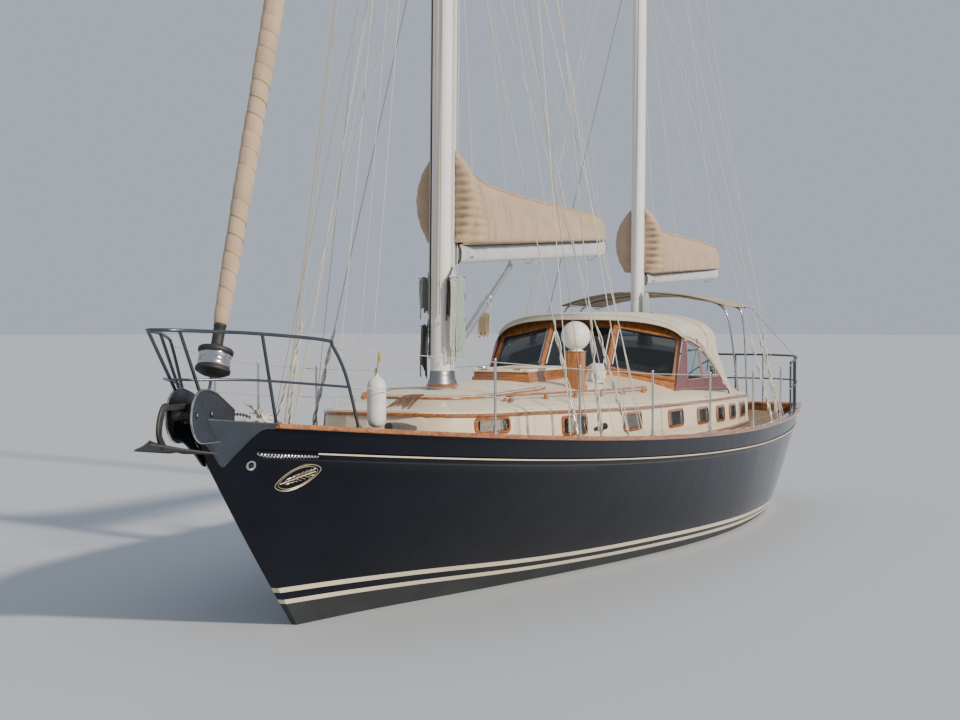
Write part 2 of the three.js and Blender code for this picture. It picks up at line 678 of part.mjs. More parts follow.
const sparTop = Math.sin(0.4 * Math.PI); // the flat along a boom's top, as a share of its half height

const coverRows = { // behind the pin, half breadth, height over the boom's middle
  main: [[150, 60, 1120], [430, 215, 965], [900, 215, 845], [2400, 190, 686], [4600, 150, 520],
    [4960, 125, 460], [5060, 90, 330]],
  mizzen: [[120, 50, 1010], [380, 190, 890], [800, 185, 768], [2000, 160, 664], [3500, 120, 538],
    [3880, 95, 480], [3970, 70, 350]],
};

function boomCover(mastSpec, boom, rows) {
  const pin = pinAft(mastSpec, boom);
  const rings = rows.map(([back, half, above]) => {
    const floor = boom.up + boom.rise * back + (boom.height / 2) * sparTop + seam;
    const top = floor - boom.height / 2 + above - 60;
    const [low, high] = [lerp(floor, top, 0.28), lerp(floor, top, 0.7)];
    return [[-half * 0.8, floor], [half * 0.8, floor], [half, low], [half * 0.82, high],
      [half * 0.35, top - 20], [0, top], [-half * 0.35, top - 20], [-half * 0.82, high],
      [-half, low]].map(([y, z]) => [along(pin + back), y, z]);
  });
  return skin(rings);
}

// The cover's front, a panel that stays with the mast and stands out on both sides of its after half
const collarRows = [ // share of the height, share of the breadth
  [0, 0.6], [0.2, 0.88], [0.45, 1], [0.7, 0.86], [0.88, 0.55], [1, 0.22],
];

function coverCollar(mastSpec, boom, half, height) {
  const [low, high] = [boom.up + boom.height / 2 + 20, boom.up + height];
  const rings = collarRows.map(([share, reach]) => {
    const up = lerp(low, high, share);
    const back = mastAt(mastSpec, up) + mastSpec.long / 2 + 20;
    const front = mastAt(mastSpec, up) + 10;
    const wide = half * reach;
    const port = [[front, 0.8 * wide], [lerp(front, back, 0.5), wide], [back, 0.88 * wide]];
    return [...port.toReversed(), ...port.map(([aft, y]) => [aft, -y])]
      .map(([aft, y]) => [along(aft), y, up]);
  });
  return cut(skin(rings), mastBody(mastSpec, seam));
}

const vangShape = { up: mainMast.foot + 330, back: 1780, radius: 42 };

function vang() {
  const pin = pinAft(mainMast, mainBoom);
  const under = mainBoom.up + mainBoom.rise * vangShape.back - (mainBoom.height / 2) * sparTop;
  const from = [pin, 0, vangShape.up];
  const to = [pin + vangShape.back, 0, under - 70];
  const lug = block([to[0] - 40, to[0] + 20], [-12, 12], [under - 90, under - 2]);
  return join(rod(from, to, vangShape.radius, 10), ball(from, 44, 8), lug);
}

function vangLug() {
  const up = vangShape.up;
  return block([mastAt(mainMast, up) + mainMast.long / 2 - 6, pinAft(mainMast, mainBoom) - 44.8], [-24, 24],
    [up - 40, up + 40]);
}

// Forestay with its furled sail on a drum
const stayAt = (up) => [forestay.foot[0] + forestay.slope * (up - forestay.foot[1]), 0, up];

function onStay(profile, sides) {
  const geometry = new THREE.LatheGeometry(profile.map(([r, h]) => new THREE.Vector2(r, h)), sides);
  const [low, high] = [spot(stayAt(0)), spot(stayAt(1000))];
  const axis = high.clone().sub(low);
  const stretch = axis.length() / 1000;
  geometry.scale(1, stretch, 1);
  const upright = new THREE.Vector3(0, 1, 0);
  geometry.applyQuaternion(new THREE.Quaternion().setFromUnitVectors(upright, axis.normalize()));
  geometry.translate(low.x, low.y, low.z);
  return facingOut(mergeVertices(bareCopy(geometry), 1e-3));
}

function furlerDrum() {
  const [low, high] = forestay.drum;
  return onStay([[0, low], [95, low], [148, low + 24], [148, low + 46], [134, low + 60], [134, high - 76],
    [148, high - 62], [148, high - 34], [80, high - 10], [50, high], [0, high]], 20);
}

function furledSail() {
  const low = forestay.drum[1] + seam;
  const high = forestay.head - 300;
  return onStay([[0, low], [46, low], [46, forestay.sail], [60, forestay.sail + 60], [78, 3350], [88, 5500],
    [90, 8500], [74, 12000], [46, 15600], [22, 16300], [22, high], [0, high]], 14);
}

const stayHead = () => rod(stayAt(forestay.head - 299.2), stayAt(forestay.head + 60), 9, 8);

// Doghouse: a wooden windscreen of three panes and a canvas shelter behind it
const screen = { foot: 1900, thick: 46, sill: 1600, top: 2900, rake: 0.72, rail: 62, post: 66 };
const screenPlan = [ // aft and port of each corner at the screen's foot
  [8010, -1255], [7620, -440], [7620, 440], [8010, 1255],
];
const screenNarrows = 0.00006; // share of its breadth that the screen loses for each mm of height
const screenFold = (k, up) => {
  const [aft, port] = screenPlan[k];
  const above = up - screen.foot;
  return [aft + screen.rake * above, port * (1 - screenNarrows * above), up];
};

// A point on pane k: across it from starboard to port, at a height, and inward from its face
function onPane(k, across, up, depth) {
  const [a, b] = [spot(screenFold(k, up)), spot(screenFold(k + 1, up))];
  const above = spot(screenFold(k, up + 100));
  const normal = b.clone().sub(a).cross(above.clone().sub(a)).normalize();
  if (normal.x > 0) normal.negate();
  const p = a.lerp(b, across).addScaledVector(normal, depth);
  return [p.x, p.y, p.z];
}

function paneSolid(k, from, to, low, high, depth) {
  return skin([depth[0], depth[1]].map((d) => [onPane(k, from, low[0], d), onPane(k, to, low[1], d),
    onPane(k, to, high[1], d), onPane(k, from, high[0], d)]));
}
const paneEdges = [ // each pane: across from and to, low edge at each end, high edge at each end
  { from: 0.075, to: 0.955, low: [1955, 2085], high: [2420, 2555] },
  { from: 0.045, to: 0.955, low: [2085, 2085], high: [2562, 2562] },
  { from: 0.045, to: 0.925, low: [2085, 1955], high: [2555, 2420] },
];

function windscreen() {
  const walls = [0, 1, 2].map((k) =>
    paneSolid(k, 0, 1, [screen.sill, screen.sill], [screen.top, screen.top], [0, screen.thick]));
  const posts = [1, 2].map((k) => {
    const [low, high] = [screenFold(k, screen.sill), screenFold(k, screen.top)];
    return rod([low[0] + 24, low[1], low[2]], [high[0] + 24, high[1], high[2]], 40, 8);
  });
  const holes = paneEdges.map(({ from, to, low, high }, k) =>
    paneSolid(k, from, to, low, high, [-90, 140]));
  return cut(join(...walls, ...posts), ...holes, coachroofBody(seam), shelterShell(seam), shelterAbove());
}

function screenGlass(k) {
  const { from, to, low, high } = paneEdges[k];
  const inset = 0.0008;
  return paneSolid(k, from + inset, to - inset, low.map((z) => z + 0.8), high.map((z) => z - 0.8), [18, 26]);
}

// The shelter's arch at a share of its length, from its foot to port over the top to starboard
const shelter = { front: 7990, back: 10050, sweep: 410, knee: 2240, foot: 1600, skin: 24 };

function shelterArch(share, inset, low = shelter.foot) {
  const aft = lerp(shelter.front, shelter.back, share);
  const crown = 2690 + 70 * Math.sin(Math.PI * THREE.MathUtils.clamp(0.15 + 0.7 * share, 0, 1)) - inset;
  const half = lerp(1262, 1215, share) - inset;
  const foot = lerp(1268, 1415, share) - inset;
  const bulge = [];
  for (const angle of [0, 14, 28, 42, 56, 72, 90]) {
    const a = THREE.MathUtils.degToRad(angle);
    bulge.push([half * Math.cos(a) ** 0.72, lerp(shelter.knee, crown, Math.sin(a) ** 0.62)]);
  }
  const port = [[lerp(half, foot, (shelter.knee - low) / (shelter.knee - 1730)), low], ...bulge];
  const both = [...port, ...port.slice(0, -1).reverse().map(([y, z]) => [-y, z])];
  const swept = (y) => shelter.sweep * (1 - share) * Math.min(Math.abs(y) / half, 1) ** 1.4;
  return both.map(([y, z]) => [aft + swept(y), y, z]);
}

function shelterShell(grow = 0) {
  const rings = range(8).map((share) => {
    const end = share === 0 ? -grow : share === 1 ? grow : 0;
    const outer = shelterArch(share, -grow);
    const inner = shelterArch(share, shelter.skin + grow).reverse();
    return [...outer, ...inner].map(([aft, y, z]) => [along(aft + end), y, z]);
  });
  return skin(rings, pairedFaces);
}

// All that lies over the shelter's lining
function shelterAbove() {
  const rings = [-0.3, ...range(8)].map((share) => {
    const lining = shelterArch(share, shelter.skin / 2).slice(1, -1);
    const [first, last] = [lining[0], lining.at(-1)];
    const [beyond, above] = [2600, 3400];
    return [[first[0], beyond, first[2] - 300], ...lining, [last[0], -beyond, last[2] - 300],
      [last[0], -beyond, above], [first[0], beyond, above]].map(([aft, y, z]) => [along(aft), y, z]);
  });
  return skin(rings);
}

const sidePanel = [ // aft and height of the side panel's outline
  [8330, 1500], [8330, 2250], [8420, 2425], [8720, 2380], [9300, 2262], [9630, 2085], [9800, 1935],
  [9930, 1740], [9960, 1500],
];
const sideWindow = [[8720, 1960], [8720, 2310], [9260, 2200], [9560, 2040], [9700, 1880]];

function shelterTop() {
  const front = prism([[8330, 1400], [8330, 2390], [7400, 2390], [7400, 1400]], 1700);
  const low = block([7000, 11000], [-2000, 2000], [1400, 1652]);
  return cut(shelterShell(), prism(sidePanel, 1700), front, low, coachroofBody(seam));
}

const oneSide = (k) => block([7000, 11000], k > 0 ? [0, 2000] : [-2000, 0], [0, 4000]);

function shelterSide(k) {
  const inner = sidePanel.map(([aft, up]) => [lerp(9100, aft, 0.9992), lerp(1900, up, 0.9984)]);
  const cloth = solid(shelterShell()).intersect(solid(prism(inner, 1700))).intersect(solid(oneSide(k)));
  return cut(surface(cloth), prism(sideWindow, 1700), coachroofBody(seam), screenCorner());
}

function sideGlass(k) {
  const inner = sideWindow.map(([aft, up]) => [lerp(9150, aft, 0.9986), lerp(2080, up, 0.9968)]);
  return surface(solid(shelterShell(-9)).intersect(solid(prism(inner, 1700))).intersect(solid(oneSide(k))));
}

function screenCorner() {
  return join(...[0, 2].map((k) =>
    paneSolid(k, -0.01, 1.01, [1500, 1500], [2900, 2900], [-seam - 40, screen.thick + seam])));
}

// On the coachroof: skylight, vent, handrails
const skylight = { aft: [5180, 6480], half: 330, wall: 28, up: 2090 };

function onRoof(geometry) {
  return cut(geometry, coachroofBody(seam));
}

function skylightBox() {
  const outer = block(skylight.aft, [-skylight.half, skylight.half], [1850, skylight.up]);
  const { aft, half, wall } = skylight;
  const inner = block([aft[0] + wall, aft[1] - wall], [wall - half, half - wall], [1900, 2200]);
  return onRoof(cut(outer, inner));
}

function skylightLid() {
  const [a, b] = skylight.aft;
  const half = skylight.half + 15;
  return block([a - 15, b + 15], [-half, half], [skylight.up + seam, skylight.up + 36]);
}

const vent = { aft: 5400, port: 820, half: 92, up: 2330 };

function ventPost() {
  const { aft, port, half, up } = vent;
  return onRoof(block([aft - half, aft + half], [port - half, port + half], [1700, up]));
}

function cowl() {
  const neck = rod([vent.aft, vent.port, vent.up + seam], [vent.aft, vent.port, vent.up + 120], 62, 14);
  const bell = new THREE.SphereGeometry(165, 12, 8);
  const p = spot([vent.aft, vent.port, vent.up + 172]);
  bell.translate(p.x, p.y, p.z);
  const mouthAxis = new THREE.Vector3(-0.85, -0.5, 0.1).normalize();
  const mouth = new THREE.CylinderGeometry(118, 118, 260, 12);
  mouth.applyQuaternion(new THREE.Quaternion().setFromUnitVectors(new THREE.Vector3(0, 1, 0), mouthAxis));
  mouth.translate(p.x + mouthAxis.x * 150, p.y + mouthAxis.y * 150, p.z + mouthAxis.z * 150);
  return cut(join(neck, bell), mouth);
}

function handrail(side) {
  const stations = [3300, 4000, 4700, 5400, 6100, 6800];
  const portAt = (aft) => side * (between(roofEdge, aft, 1) - 300);
  const rings = range(12).map((t) => {
    const aft = lerp(stations[0] - 100, stations.at(-1) + 100, t);
    const y = portAt(aft);
    const z = roofAt(aft, y) + 62;
    return [[y - 14, z - 14], [y + 14, z - 14], [y + 14, z + 14], [y - 14, z + 14]]
      .map(([u, v]) => [along(aft), u, v]);
  });
  const feet = stations.map((aft) => {
    const y = portAt(aft);
    return block([aft - 35, aft + 35], [y - 13, y + 13], [roofAt(aft, y) - 60, roofAt(aft, y) + 60]);
  });
  return onRoof(join(skin(rings), ...feet));
}

function winch([aft, port]) {
  const reach = [-70, 70];
  const floor = Math.min(...reach.flatMap((da) => reach.map((dp) => roofAt(aft + da, port + dp)))) - 40;
  const top = roofAt(aft, port);
  return onRoof(turned([[0, floor], [80, floor], [80, top + 40], [52, top + 70], [58, top + 150],
    [66, top + 175], [0, top + 175]], [aft, port, 0], 14));
}

// Helm
const wheel = { aft: 9330, up: 1560, radius: 330 };

function pedestal() {
  const column = block([wheel.aft - 230, wheel.aft - 60], [-110, 110], [well.floor + seam, 1690]);
  return join(column, rod([wheel.aft - 140, 0, wheel.up], [wheel.aft - 30, 0, wheel.up], 45, 12));
}

function steeringWheel() {
  const rim = new THREE.TorusGeometry(wheel.radius, 15, 6, 24);
  rim.rotateY(Math.PI / 2);
  const p = spot([wheel.aft, 0, wheel.up]);
  rim.translate(p.x, p.y, p.z);
  const spokes = [0, 1, 2, 3, 4, 5].map((k) => {
    const angle = (Math.PI * k) / 3;
    const end = [wheel.aft, wheel.radius * Math.sin(angle), wheel.up + wheel.radius * Math.cos(angle)];
    return rod([wheel.aft, 0, wheel.up], end, 9, 6);
  });
  return join(rim, rod([wheel.aft - 29.3, 0, wheel.up], [wheel.aft + 26, 0, wheel.up], 42, 12), ...spokes);
}

// Two narrow doors to the cabin, which meet in the middle
const door = { half: 270, middle: 5, low: 1000, high: 1860, thick: 26 };

function cabinDoor(side) {
  const back = well.front + seam;
  return block([back, back + door.thick], [side * door.middle, side * door.half].sort((a, b) => a - b),
    [door.low, door.high]);
}

// Canopy over the aft deck
const canopy = { front: 10660, back: 12330, half: 1200, thick: 26, crown: 3025, edge: 2835 };
const canopyFoot = { aft: 11640, port: 1260 };
const canopyUp = (share, across) => {
  const droop = 180 * Math.max(0, share - 0.8); // the aft edge is pulled down
  return lerp(canopy.crown - 30 * share, canopy.edge - 20 * share, Math.abs(across) ** 2.2) - droop;
};

function canopyTop(grow = 0) {
  const rings = range(8).map((share) => {
    const across = [-1, -0.8, -0.5, 0, 0.5, 0.8, 1];
    const over = across.map((t) => [t * canopy.half, canopyUp(share, t)]);
    const under = across.toReversed().map((t) => [t * canopy.half, canopyUp(share, t) - canopy.thick - grow]);
    return [...over, ...under].map(([y, z]) => [along(lerp(canopy.front, canopy.back, share)), y, z]);
  });
  return skin(rings, pairedFaces);
}

function canopyFrame() {
  const spread = [-0.9, -0.6, -0.3, 0, 0.3, 0.6, 0.9];
  const below = canopy.thick + 13;
  const overhead = (share, t) =>
    [lerp(canopy.front, canopy.back, share), t * canopy.half, canopyUp(share, t) - below];
  const hoop = (share, first, last) => {
    const aft = lerp(canopy.front, canopy.back, share);
    const shoulder = (k, foot) => [lerp(foot[0], aft, 0.9), k * (canopy.half + 20), 2560];
    const over = spread.map((t) => overhead(share, t));
    return pipe([first, shoulder(-1, first), ...over, shoulder(1, last), last], 13, 5);
  };
  const roofFoot = (k) => [10800, k * 1330, roofAt(10800, 1330) - 20];
  const deckFoot = (k) => [canopyFoot.aft, k * canopyFoot.port, deckAt(canopyFoot.aft) - 20];
  const rails = [-0.9, 0.9].map((t) => rod(overhead(0.06, t), overhead(0.94, t), 13, 6));
  const frame = join(hoop(0.06, roofFoot(-1), roofFoot(1)), hoop(0.52, deckFoot(-1), deckFoot(1)), ...rails);
  const floor = deckAt(canopyFoot.aft);
  const near = [canopyFoot.aft - 150, canopyFoot.aft + 150];
  const deck = cut(block(near, [-1500, 1500], [floor - 90, floor + 90]),
    deckSpace(seam));
  return cut(frame, canopyTop(seam), coachroofBody(seam), deck);
}

// A fender hung inside the rail from the upper lifeline
function fender() {
  const [aft, port] = [-90, railHalf(-90) - 190];
  const low = sheer(aft) + 12;
  const profile = [[0, 0], [40, 0], [84, 50], [84, 380], [50, 435], [16, 455], [16, 480], [0, 480]];
  const body = turned(profile, [aft, port, low], 14);
  const wireFront = [-772, 780, sheer(-772) + 660];
  const wireBack = [1200, standOn(1200), sheer(1200) + 660];
  const share = (aft - wireFront[0]) / (wireBack[0] - wireFront[0]);
  const onWire = wireFront.map((v, k) => lerp(v, wireBack[k], share));
  const lanyard = rod([aft, port, low + 470], onWire, 5, 5);
  return cut(join(body, lanyard), rod(wireFront, wireBack, wireRadius + seam, 4), pulpitTop(seam));
}

add("hull", hull(), navyPaint);
add("cap_rail_port", capRail(railBody()), varnishedWood);
add("cap_rail_starboard", capRail(mirrored(railBody())), varnishedWood);
add("cap_rail_stern", sternRail(), varnishedWood);
add("coachroof", coachroof(), creamPaint);
add("bow_fitting", bowFitting(), stainless);
add("anchor", anchor(), darkMetal);
add("windlass", windlass(), whiteVinyl);
add("pulpit", pulpit(), stainless);
add("lifelines_port", lifelines(1), stainless);
add("lifelines_starboard", lifelines(-1), stainless);
add("pushpit", pushpit(), stainless);
const mainFittings = [...gooseneck(mainMast, mainBoom), vangLug(), stayHead()];
add("main_mast", onRoof(join(mast(mainMast), ...mainFittings)), whitePaint);
add("mizzen_mast", onRoof(join(mast(mizzenMast), ...gooseneck(mizzenMast, mizzenBoom))), whitePaint);
add("main_shrouds_port", shrouds(mainMast, mainPlates, 1), stainless);
add("main_shrouds_starboard", shrouds(mainMast, mainPlates, -1), stainless);
add("mizzen_shrouds_port", shrouds(mizzenMast, mizzenPlates, 1), stainless);
add("mizzen_shrouds_starboard", shrouds(mizzenMast, mizzenPlates, -1), stainless);
add("triatic_stay", triatic(), stainless);
add("main_boom", boomSpar(mainMast, mainBoom), whitePaint);
add("main_sail_cover", boomCover(mainMast, mainBoom, coverRows.main), tanCloth);
add("main_cover_collar", coverCollar(mainMast, mainBoom, 350, 1110), tanCloth);
add("main_vang", vang(), stainless);
add("mizzen_boom", boomSpar(mizzenMast, mizzenBoom), whitePaint);
add("mizzen_sail_cover", boomCover(mizzenMast, mizzenBoom, coverRows.mizzen), tanCloth);
add("mizzen_cover_collar", coverCollar(mizzenMast, mizzenBoom, 340, 1000), tanCloth);
add("furler_drum", furlerDrum(), darkMetal);
add("furled_sail", furledSail(), tanCloth);
add("windscreen_frame", windscreen(), varnishedWood);
["starboard", "middle", "port"].forEach((side, k) =>
  add("windscreen_glass_" + side, screenGlass(k), darkGlass));
add("shelter_top", shelterTop(), creamCloth);
add("shelter_side_port", shelterSide(1), burgundyCloth);
add("shelter_side_starboard", shelterSide(-1), burgundyCloth);
add("shelter_window_port", sideGlass(1), darkGlass);
add("shelter_window_starboard", sideGlass(-1), darkGlass);
add("skylight_box", skylightBox(), varnishedWood);
add("skylight_lid", skylightLid(), creamPaint);
add("vent_post", ventPost(), varnishedWood);
add("cowl_vent", cowl(), whiteVinyl);
add("handrail_port", handrail(1), varnishedWood);
add("handrail_starboard", handrail(-1), varnishedWood);
[[6450, 720], [6450, -720], [10330, 900], [10330, -900]].forEach((at, k) =>
  add("winch_" + (k + 1), winch(at), stainless));
add("helm_pedestal", pedestal(), whitePaint);
add("steering_wheel", steeringWheel(), stainless);
add("cabin_door_port", cabinDoor(1), varnishedWood);
add("cabin_door_starboard", cabinDoor(-1), varnishedWood);
add("canopy_top", canopyTop(), tanCloth);
add("canopy_frame", canopyFrame(), stainless);
add("rudder", rudderBlade(), greyPaint);
add("propeller", propeller(), bronze);
add("fender", fender(), whiteVinyl);

export default group;
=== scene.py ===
import json
import random
from math import asin, copysign, cos, exp, hypot, pi, radians, sin, tan

import bmesh
import bpy
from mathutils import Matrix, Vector

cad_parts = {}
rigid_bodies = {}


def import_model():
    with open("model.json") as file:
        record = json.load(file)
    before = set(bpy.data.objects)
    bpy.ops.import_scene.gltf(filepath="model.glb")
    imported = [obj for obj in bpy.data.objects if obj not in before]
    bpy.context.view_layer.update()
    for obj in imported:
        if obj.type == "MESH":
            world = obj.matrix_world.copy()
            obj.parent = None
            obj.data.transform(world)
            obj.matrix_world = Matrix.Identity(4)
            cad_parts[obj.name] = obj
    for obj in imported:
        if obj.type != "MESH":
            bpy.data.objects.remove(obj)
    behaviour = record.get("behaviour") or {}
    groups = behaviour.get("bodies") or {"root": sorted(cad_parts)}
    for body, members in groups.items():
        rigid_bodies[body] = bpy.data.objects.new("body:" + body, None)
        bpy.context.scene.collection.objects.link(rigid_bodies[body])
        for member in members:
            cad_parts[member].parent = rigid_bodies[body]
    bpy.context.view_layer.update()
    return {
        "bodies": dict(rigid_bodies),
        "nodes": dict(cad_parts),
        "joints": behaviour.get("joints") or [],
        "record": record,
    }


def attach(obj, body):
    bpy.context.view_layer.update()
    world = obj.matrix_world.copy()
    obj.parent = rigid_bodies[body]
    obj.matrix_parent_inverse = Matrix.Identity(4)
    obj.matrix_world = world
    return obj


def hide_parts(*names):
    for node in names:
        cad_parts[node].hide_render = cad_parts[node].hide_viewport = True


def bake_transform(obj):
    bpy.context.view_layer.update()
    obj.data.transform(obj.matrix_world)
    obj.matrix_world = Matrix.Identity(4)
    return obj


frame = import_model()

scene = bpy.context.scene
print("frame loaded,", len(frame["nodes"]), "nodes")

# Metres, +X forward, +Y port, z = 0 at the waterline.
# Places along the boat are distances aft of the stem at that height.
stemX = 6.3


def at(aft, port, up):
    return Vector((stemX - aft, port, up))


# Camera and light
view = {"place": (22.27, 8.077, 2.9), "turn": (-0.9304, -0.3665), "downDegrees": 1.704, "lens": 75.0}
light = {
    "sky": (0.78, 0.86, 1.0), "skyStrength": 0.58,
    "sun": (1.0, 0.90, 0.76), "sunStrength": 4.7, "sunFrom": (0.30, 0.80, 0.46),
    "floor": (0.50, 0.53, 0.57),
}


def makeCamera():
    data = bpy.data.cameras.new("camera")
    data.lens = view["lens"]
    data.sensor_width = 36.0
    data.clip_end = 400.0
    camera = bpy.data.objects.new("camera", data)
    scene.collection.objects.link(camera)
    camera.location = view["place"]
    drop = tan(radians(view["downDegrees"]))
    aim = Vector((view["turn"][0], view["turn"][1], -drop))
    camera.rotation_euler = aim.to_track_quat("-Z", "Y").to_euler()
    scene.camera = camera


def makeLight():
    world = bpy.data.worlds.new("sky")
    scene.world = world
    world.use_nodes = True
    back = world.node_tree.nodes["Background"]
    back.inputs["Color"].default_value = (*light["sky"], 1)
    back.inputs["Strength"].default_value = light["skyStrength"]
    sun = bpy.data.lights.new("sun", "SUN")
    sun.energy = light["sunStrength"]
    sun.color = light["sun"]
    sun.angle = radians(4)
    lamp = bpy.data.objects.new("sun", sun)
    lamp.rotation_euler = (-Vector(light["sunFrom"])).to_track_quat("-Z", "Y").to_euler()
    scene.collection.objects.link(lamp)
    bpy.ops.mesh.primitive_circle_add(vertices=96, radius=150, fill_type="NGON", location=(0, 0, 0))
    floor = bpy.context.object
    floor.name = "floor"
    paper = bpy.data.materials.new("floorPaper")
    paper.use_nodes = True
    paper.node_tree.nodes["Principled BSDF"].inputs["Base Color"].default_value = (*light["floor"], 1)
    paper.node_tree.nodes["Principled BSDF"].inputs["Roughness"].default_value = 0.6
    floor.data.materials.append(paper)


makeCamera()
makeLight()


# Mesh tools
def between(rows, place, column=1):  # a smooth curve through rows of [place, value, ...]
    last = len(rows) - 1
    if place <= rows[0][0]:
        return rows[0][column]
    if place >= rows[last][0]:
        return rows[last][column]
    i = next(k for k, row in enumerate(rows) if row[0] > place) - 1

    def slope(k):
        a, b = rows[max(k - 1, 0)], rows[min(k + 1, last)]
        return (b[column] - a[column]) / (b[0] - a[0])

    span = rows[i + 1][0] - rows[i][0]
    t = (place - rows[i][0]) / span
    t2, t3 = t * t, t * t * t
    return ((2 * t3 - 3 * t2 + 1) * rows[i][column] + (t3 - 2 * t2 + t) * span * slope(i)
            + (3 * t2 - 2 * t3) * rows[i + 1][column] + (t3 - t2) * span * slope(i + 1))


def lerp(a, b, t):
    return a + (b - a) * t


def steps(count):
    return [i / count for i in range(count + 1)]


def smoothPath(points, count=6):  # a rounded path through the points
    points = [Vector(p) for p in points]
    if len(points) < 3:
        return points
    path = []
    for i in range(len(points) - 1):
        a = points[max(i - 1, 0)]
        b, c = points[i], points[i + 1]
        d = points[min(i + 2, len(points) - 1)]
        for k in range(count):
            t = k / count
            path.append(0.5 * (2 * b + (c - a) * t + (2 * a - 5 * b + 4 * c - d) * t * t
                               + (3 * b - 3 * c + d - a) * t * t * t))
    path.append(points[-1])
    return path


class Shape:
    def __init__(self):
        self.verts = []
        self.faces = []
        self.slots = []

    def face(self, corners, slot=0):
        self.faces.append(corners)
        self.slots.append(slot)

    def loft(self, rings, slot=0, caps=True, closed=True):
        base, n = len(self.verts), len(rings[0])
        for ring in rings:
            self.verts.extend(Vector(p) for p in ring)
        for i in range(len(rings) - 1):
            for j in range(n if closed else n - 1):
                k = (j + 1) % n
                self.face((base + i * n + j, base + i * n + k, base + (i + 1) * n + k,
                           base + (i + 1) * n + j), slot)
        if caps and closed:
            self.face(tuple(range(base + n - 1, base - 1, -1)), slot)
            end = base + (len(rings) - 1) * n
            self.face(tuple(range(end, end + n)), slot)
        return self

    def tube(self, points, radius, sides=8, slot=0, endRadius=None, squash=1.0):
        points = [Vector(p) for p in points]
        last = len(points) - 1
        across = None
        rings = []
        for i, p in enumerate(points):
            ahead = (points[min(i + 1, last)] - points[max(i - 1, 0)]).normalized()
            if across is None:
                across = ahead.orthogonal().normalized()
            across = (across - ahead * across.dot(ahead)).normalized()
            other = ahead.cross(across)
            r = radius[i] if isinstance(radius, (list, tuple)) else radius
            r = r if endRadius is None else lerp(radius, endRadius, i / last)
            rings.append([p + across * (r * cos(2 * pi * k / sides))
                          + other * (r * squash * sin(2 * pi * k / sides)) for k in range(sides)])
        return self.loft(rings, slot)

    def lathe(self, profile, foot, axis=(0, 0, 1), sides=24, slot=0):
        axis = Vector(axis).normalized()
        across = axis.orthogonal().normalized()
        other = axis.cross(across)
        foot = Vector(foot)
        rings = [[foot + axis * h + (across * cos(2 * pi * k / sides)
                  + other * sin(2 * pi * k / sides)) * max(r, 0.0004) for k in range(sides)]
                 for r, h in profile]
        return self.loft(rings, slot)

    def torus(self, middle, axis, radius, thick, sides=8, around=32, slot=0):
        axis = Vector(axis).normalized()
        across = axis.orthogonal().normalized()
        other = axis.cross(across)
        base = len(self.verts)
        for i in range(around):
            out = across * cos(2 * pi * i / around) + other * sin(2 * pi * i / around)
            for k in range(sides):
                a = 2 * pi * k / sides
                self.verts.append(Vector(middle) + out * (radius + thick * cos(a)) + axis * (thick * sin(a)))
        for i in range(around):
            for k in range(sides):
                j, m = (i + 1) % around, (k + 1) % sides
                self.face((base + i * sides + k, base + j * sides + k, base + j * sides + m,
                           base + i * sides + m), slot)
        return self

    def box(self, low, high, bevel=0.004, slot=0, turn=None, about=None):
        low, high = Vector(low), Vector(high)
        size = high - low
        bm = bmesh.new()
        bmesh.ops.create_cube(bm, size=1)
        bmesh.ops.scale(bm, vec=size, verts=bm.verts)
        if bevel:
            width = min(bevel, min(abs(v) for v in size) * 0.45)
            bmesh.ops.bevel(bm, geom=bm.edges[:], offset=width, segments=2, affect="EDGES", profile=0.5)
        bmesh.ops.translate(bm, vec=(low + high) / 2, verts=bm.verts)
        if turn is not None:
            bmesh.ops.rotate(bm, cent=Vector(about) if about is not None else (low + high) / 2, matrix=turn,
                             verts=bm.verts)
        base = len(self.verts)
        bm.verts.index_update()
        self.verts.extend(v.co.copy() for v in bm.verts)
        for f in bm.faces:
            self.face(tuple(base + v.index for v in f.verts), slot)
        bm.free()
        return self

    def make(self, name, materials, body="boat", angle=38, nodes=(), slot=None):
        mesh = bpy.data.meshes.new(name)
        mesh.from_pydata(self.verts, [], self.faces)
        materials = materials if isinstance(materials, (list, tuple)) else [materials]
        for material in materials:
            mesh.materials.append(material)
        mesh.polygons.foreach_set("material_index", self.slots)
        bm = bmesh.new()
        bm.from_mesh(mesh)
        bmesh.ops.recalc_face_normals(bm, faces=bm.faces)
        bm.to_mesh(mesh)
        bm.free()
        mesh.shade_smooth()
        mesh.set_sharp_from_angle(angle=radians(angle))
        mesh.update()
        piece = bpy.data.objects.new(name, mesh)
        scene.collection.objects.link(piece)
        if body:
            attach(piece, body)
        if nodes:
            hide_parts(*nodes)
        return piece


# Materials. Shared effects are node groups, and each material has its own shader.
def feed(tree, node, values):  # plain values are set, and other nodes' outputs are joined
    for key, value in values.items():
        if isinstance(value, bpy.types.NodeSocket):
            tree.links.new(value, node.inputs[key])
        else:
            node.inputs[key].default_value = value


def addNode(tree, kind, values=None, **settings):
    made = tree.nodes.new(kind)
    for key, value in settings.items():
        setattr(made, key, value)
    feed(tree, made, values or {})
    return made


def reckon(tree, operation, *sources):
    return addNode(tree, "ShaderNodeMath", dict(enumerate(sources)), operation=operation).outputs[0]


def mixColours(tree, share, under, over, kind="MIX"):
    return addNode(tree, "ShaderNodeMix", {"Factor": share, "A": under, "B": over}, data_type="RGBA",
                   blend_type=kind).outputs["Result"]


def startGroup(name, inputs, outputs):
    tree = bpy.data.node_groups.new(name, "ShaderNodeTree")
    for label, kind, value in inputs:
        socket = tree.interface.new_socket(name=label, in_out="INPUT", socket_type=kind)
        if value is not None:
            socket.default_value = value
    for label, kind in outputs:
        tree.interface.new_socket(name=label, in_out="OUTPUT", socket_type=kind)
    return tree, tree.nodes.new("NodeGroupInput"), tree.nodes.new("NodeGroupOutput")


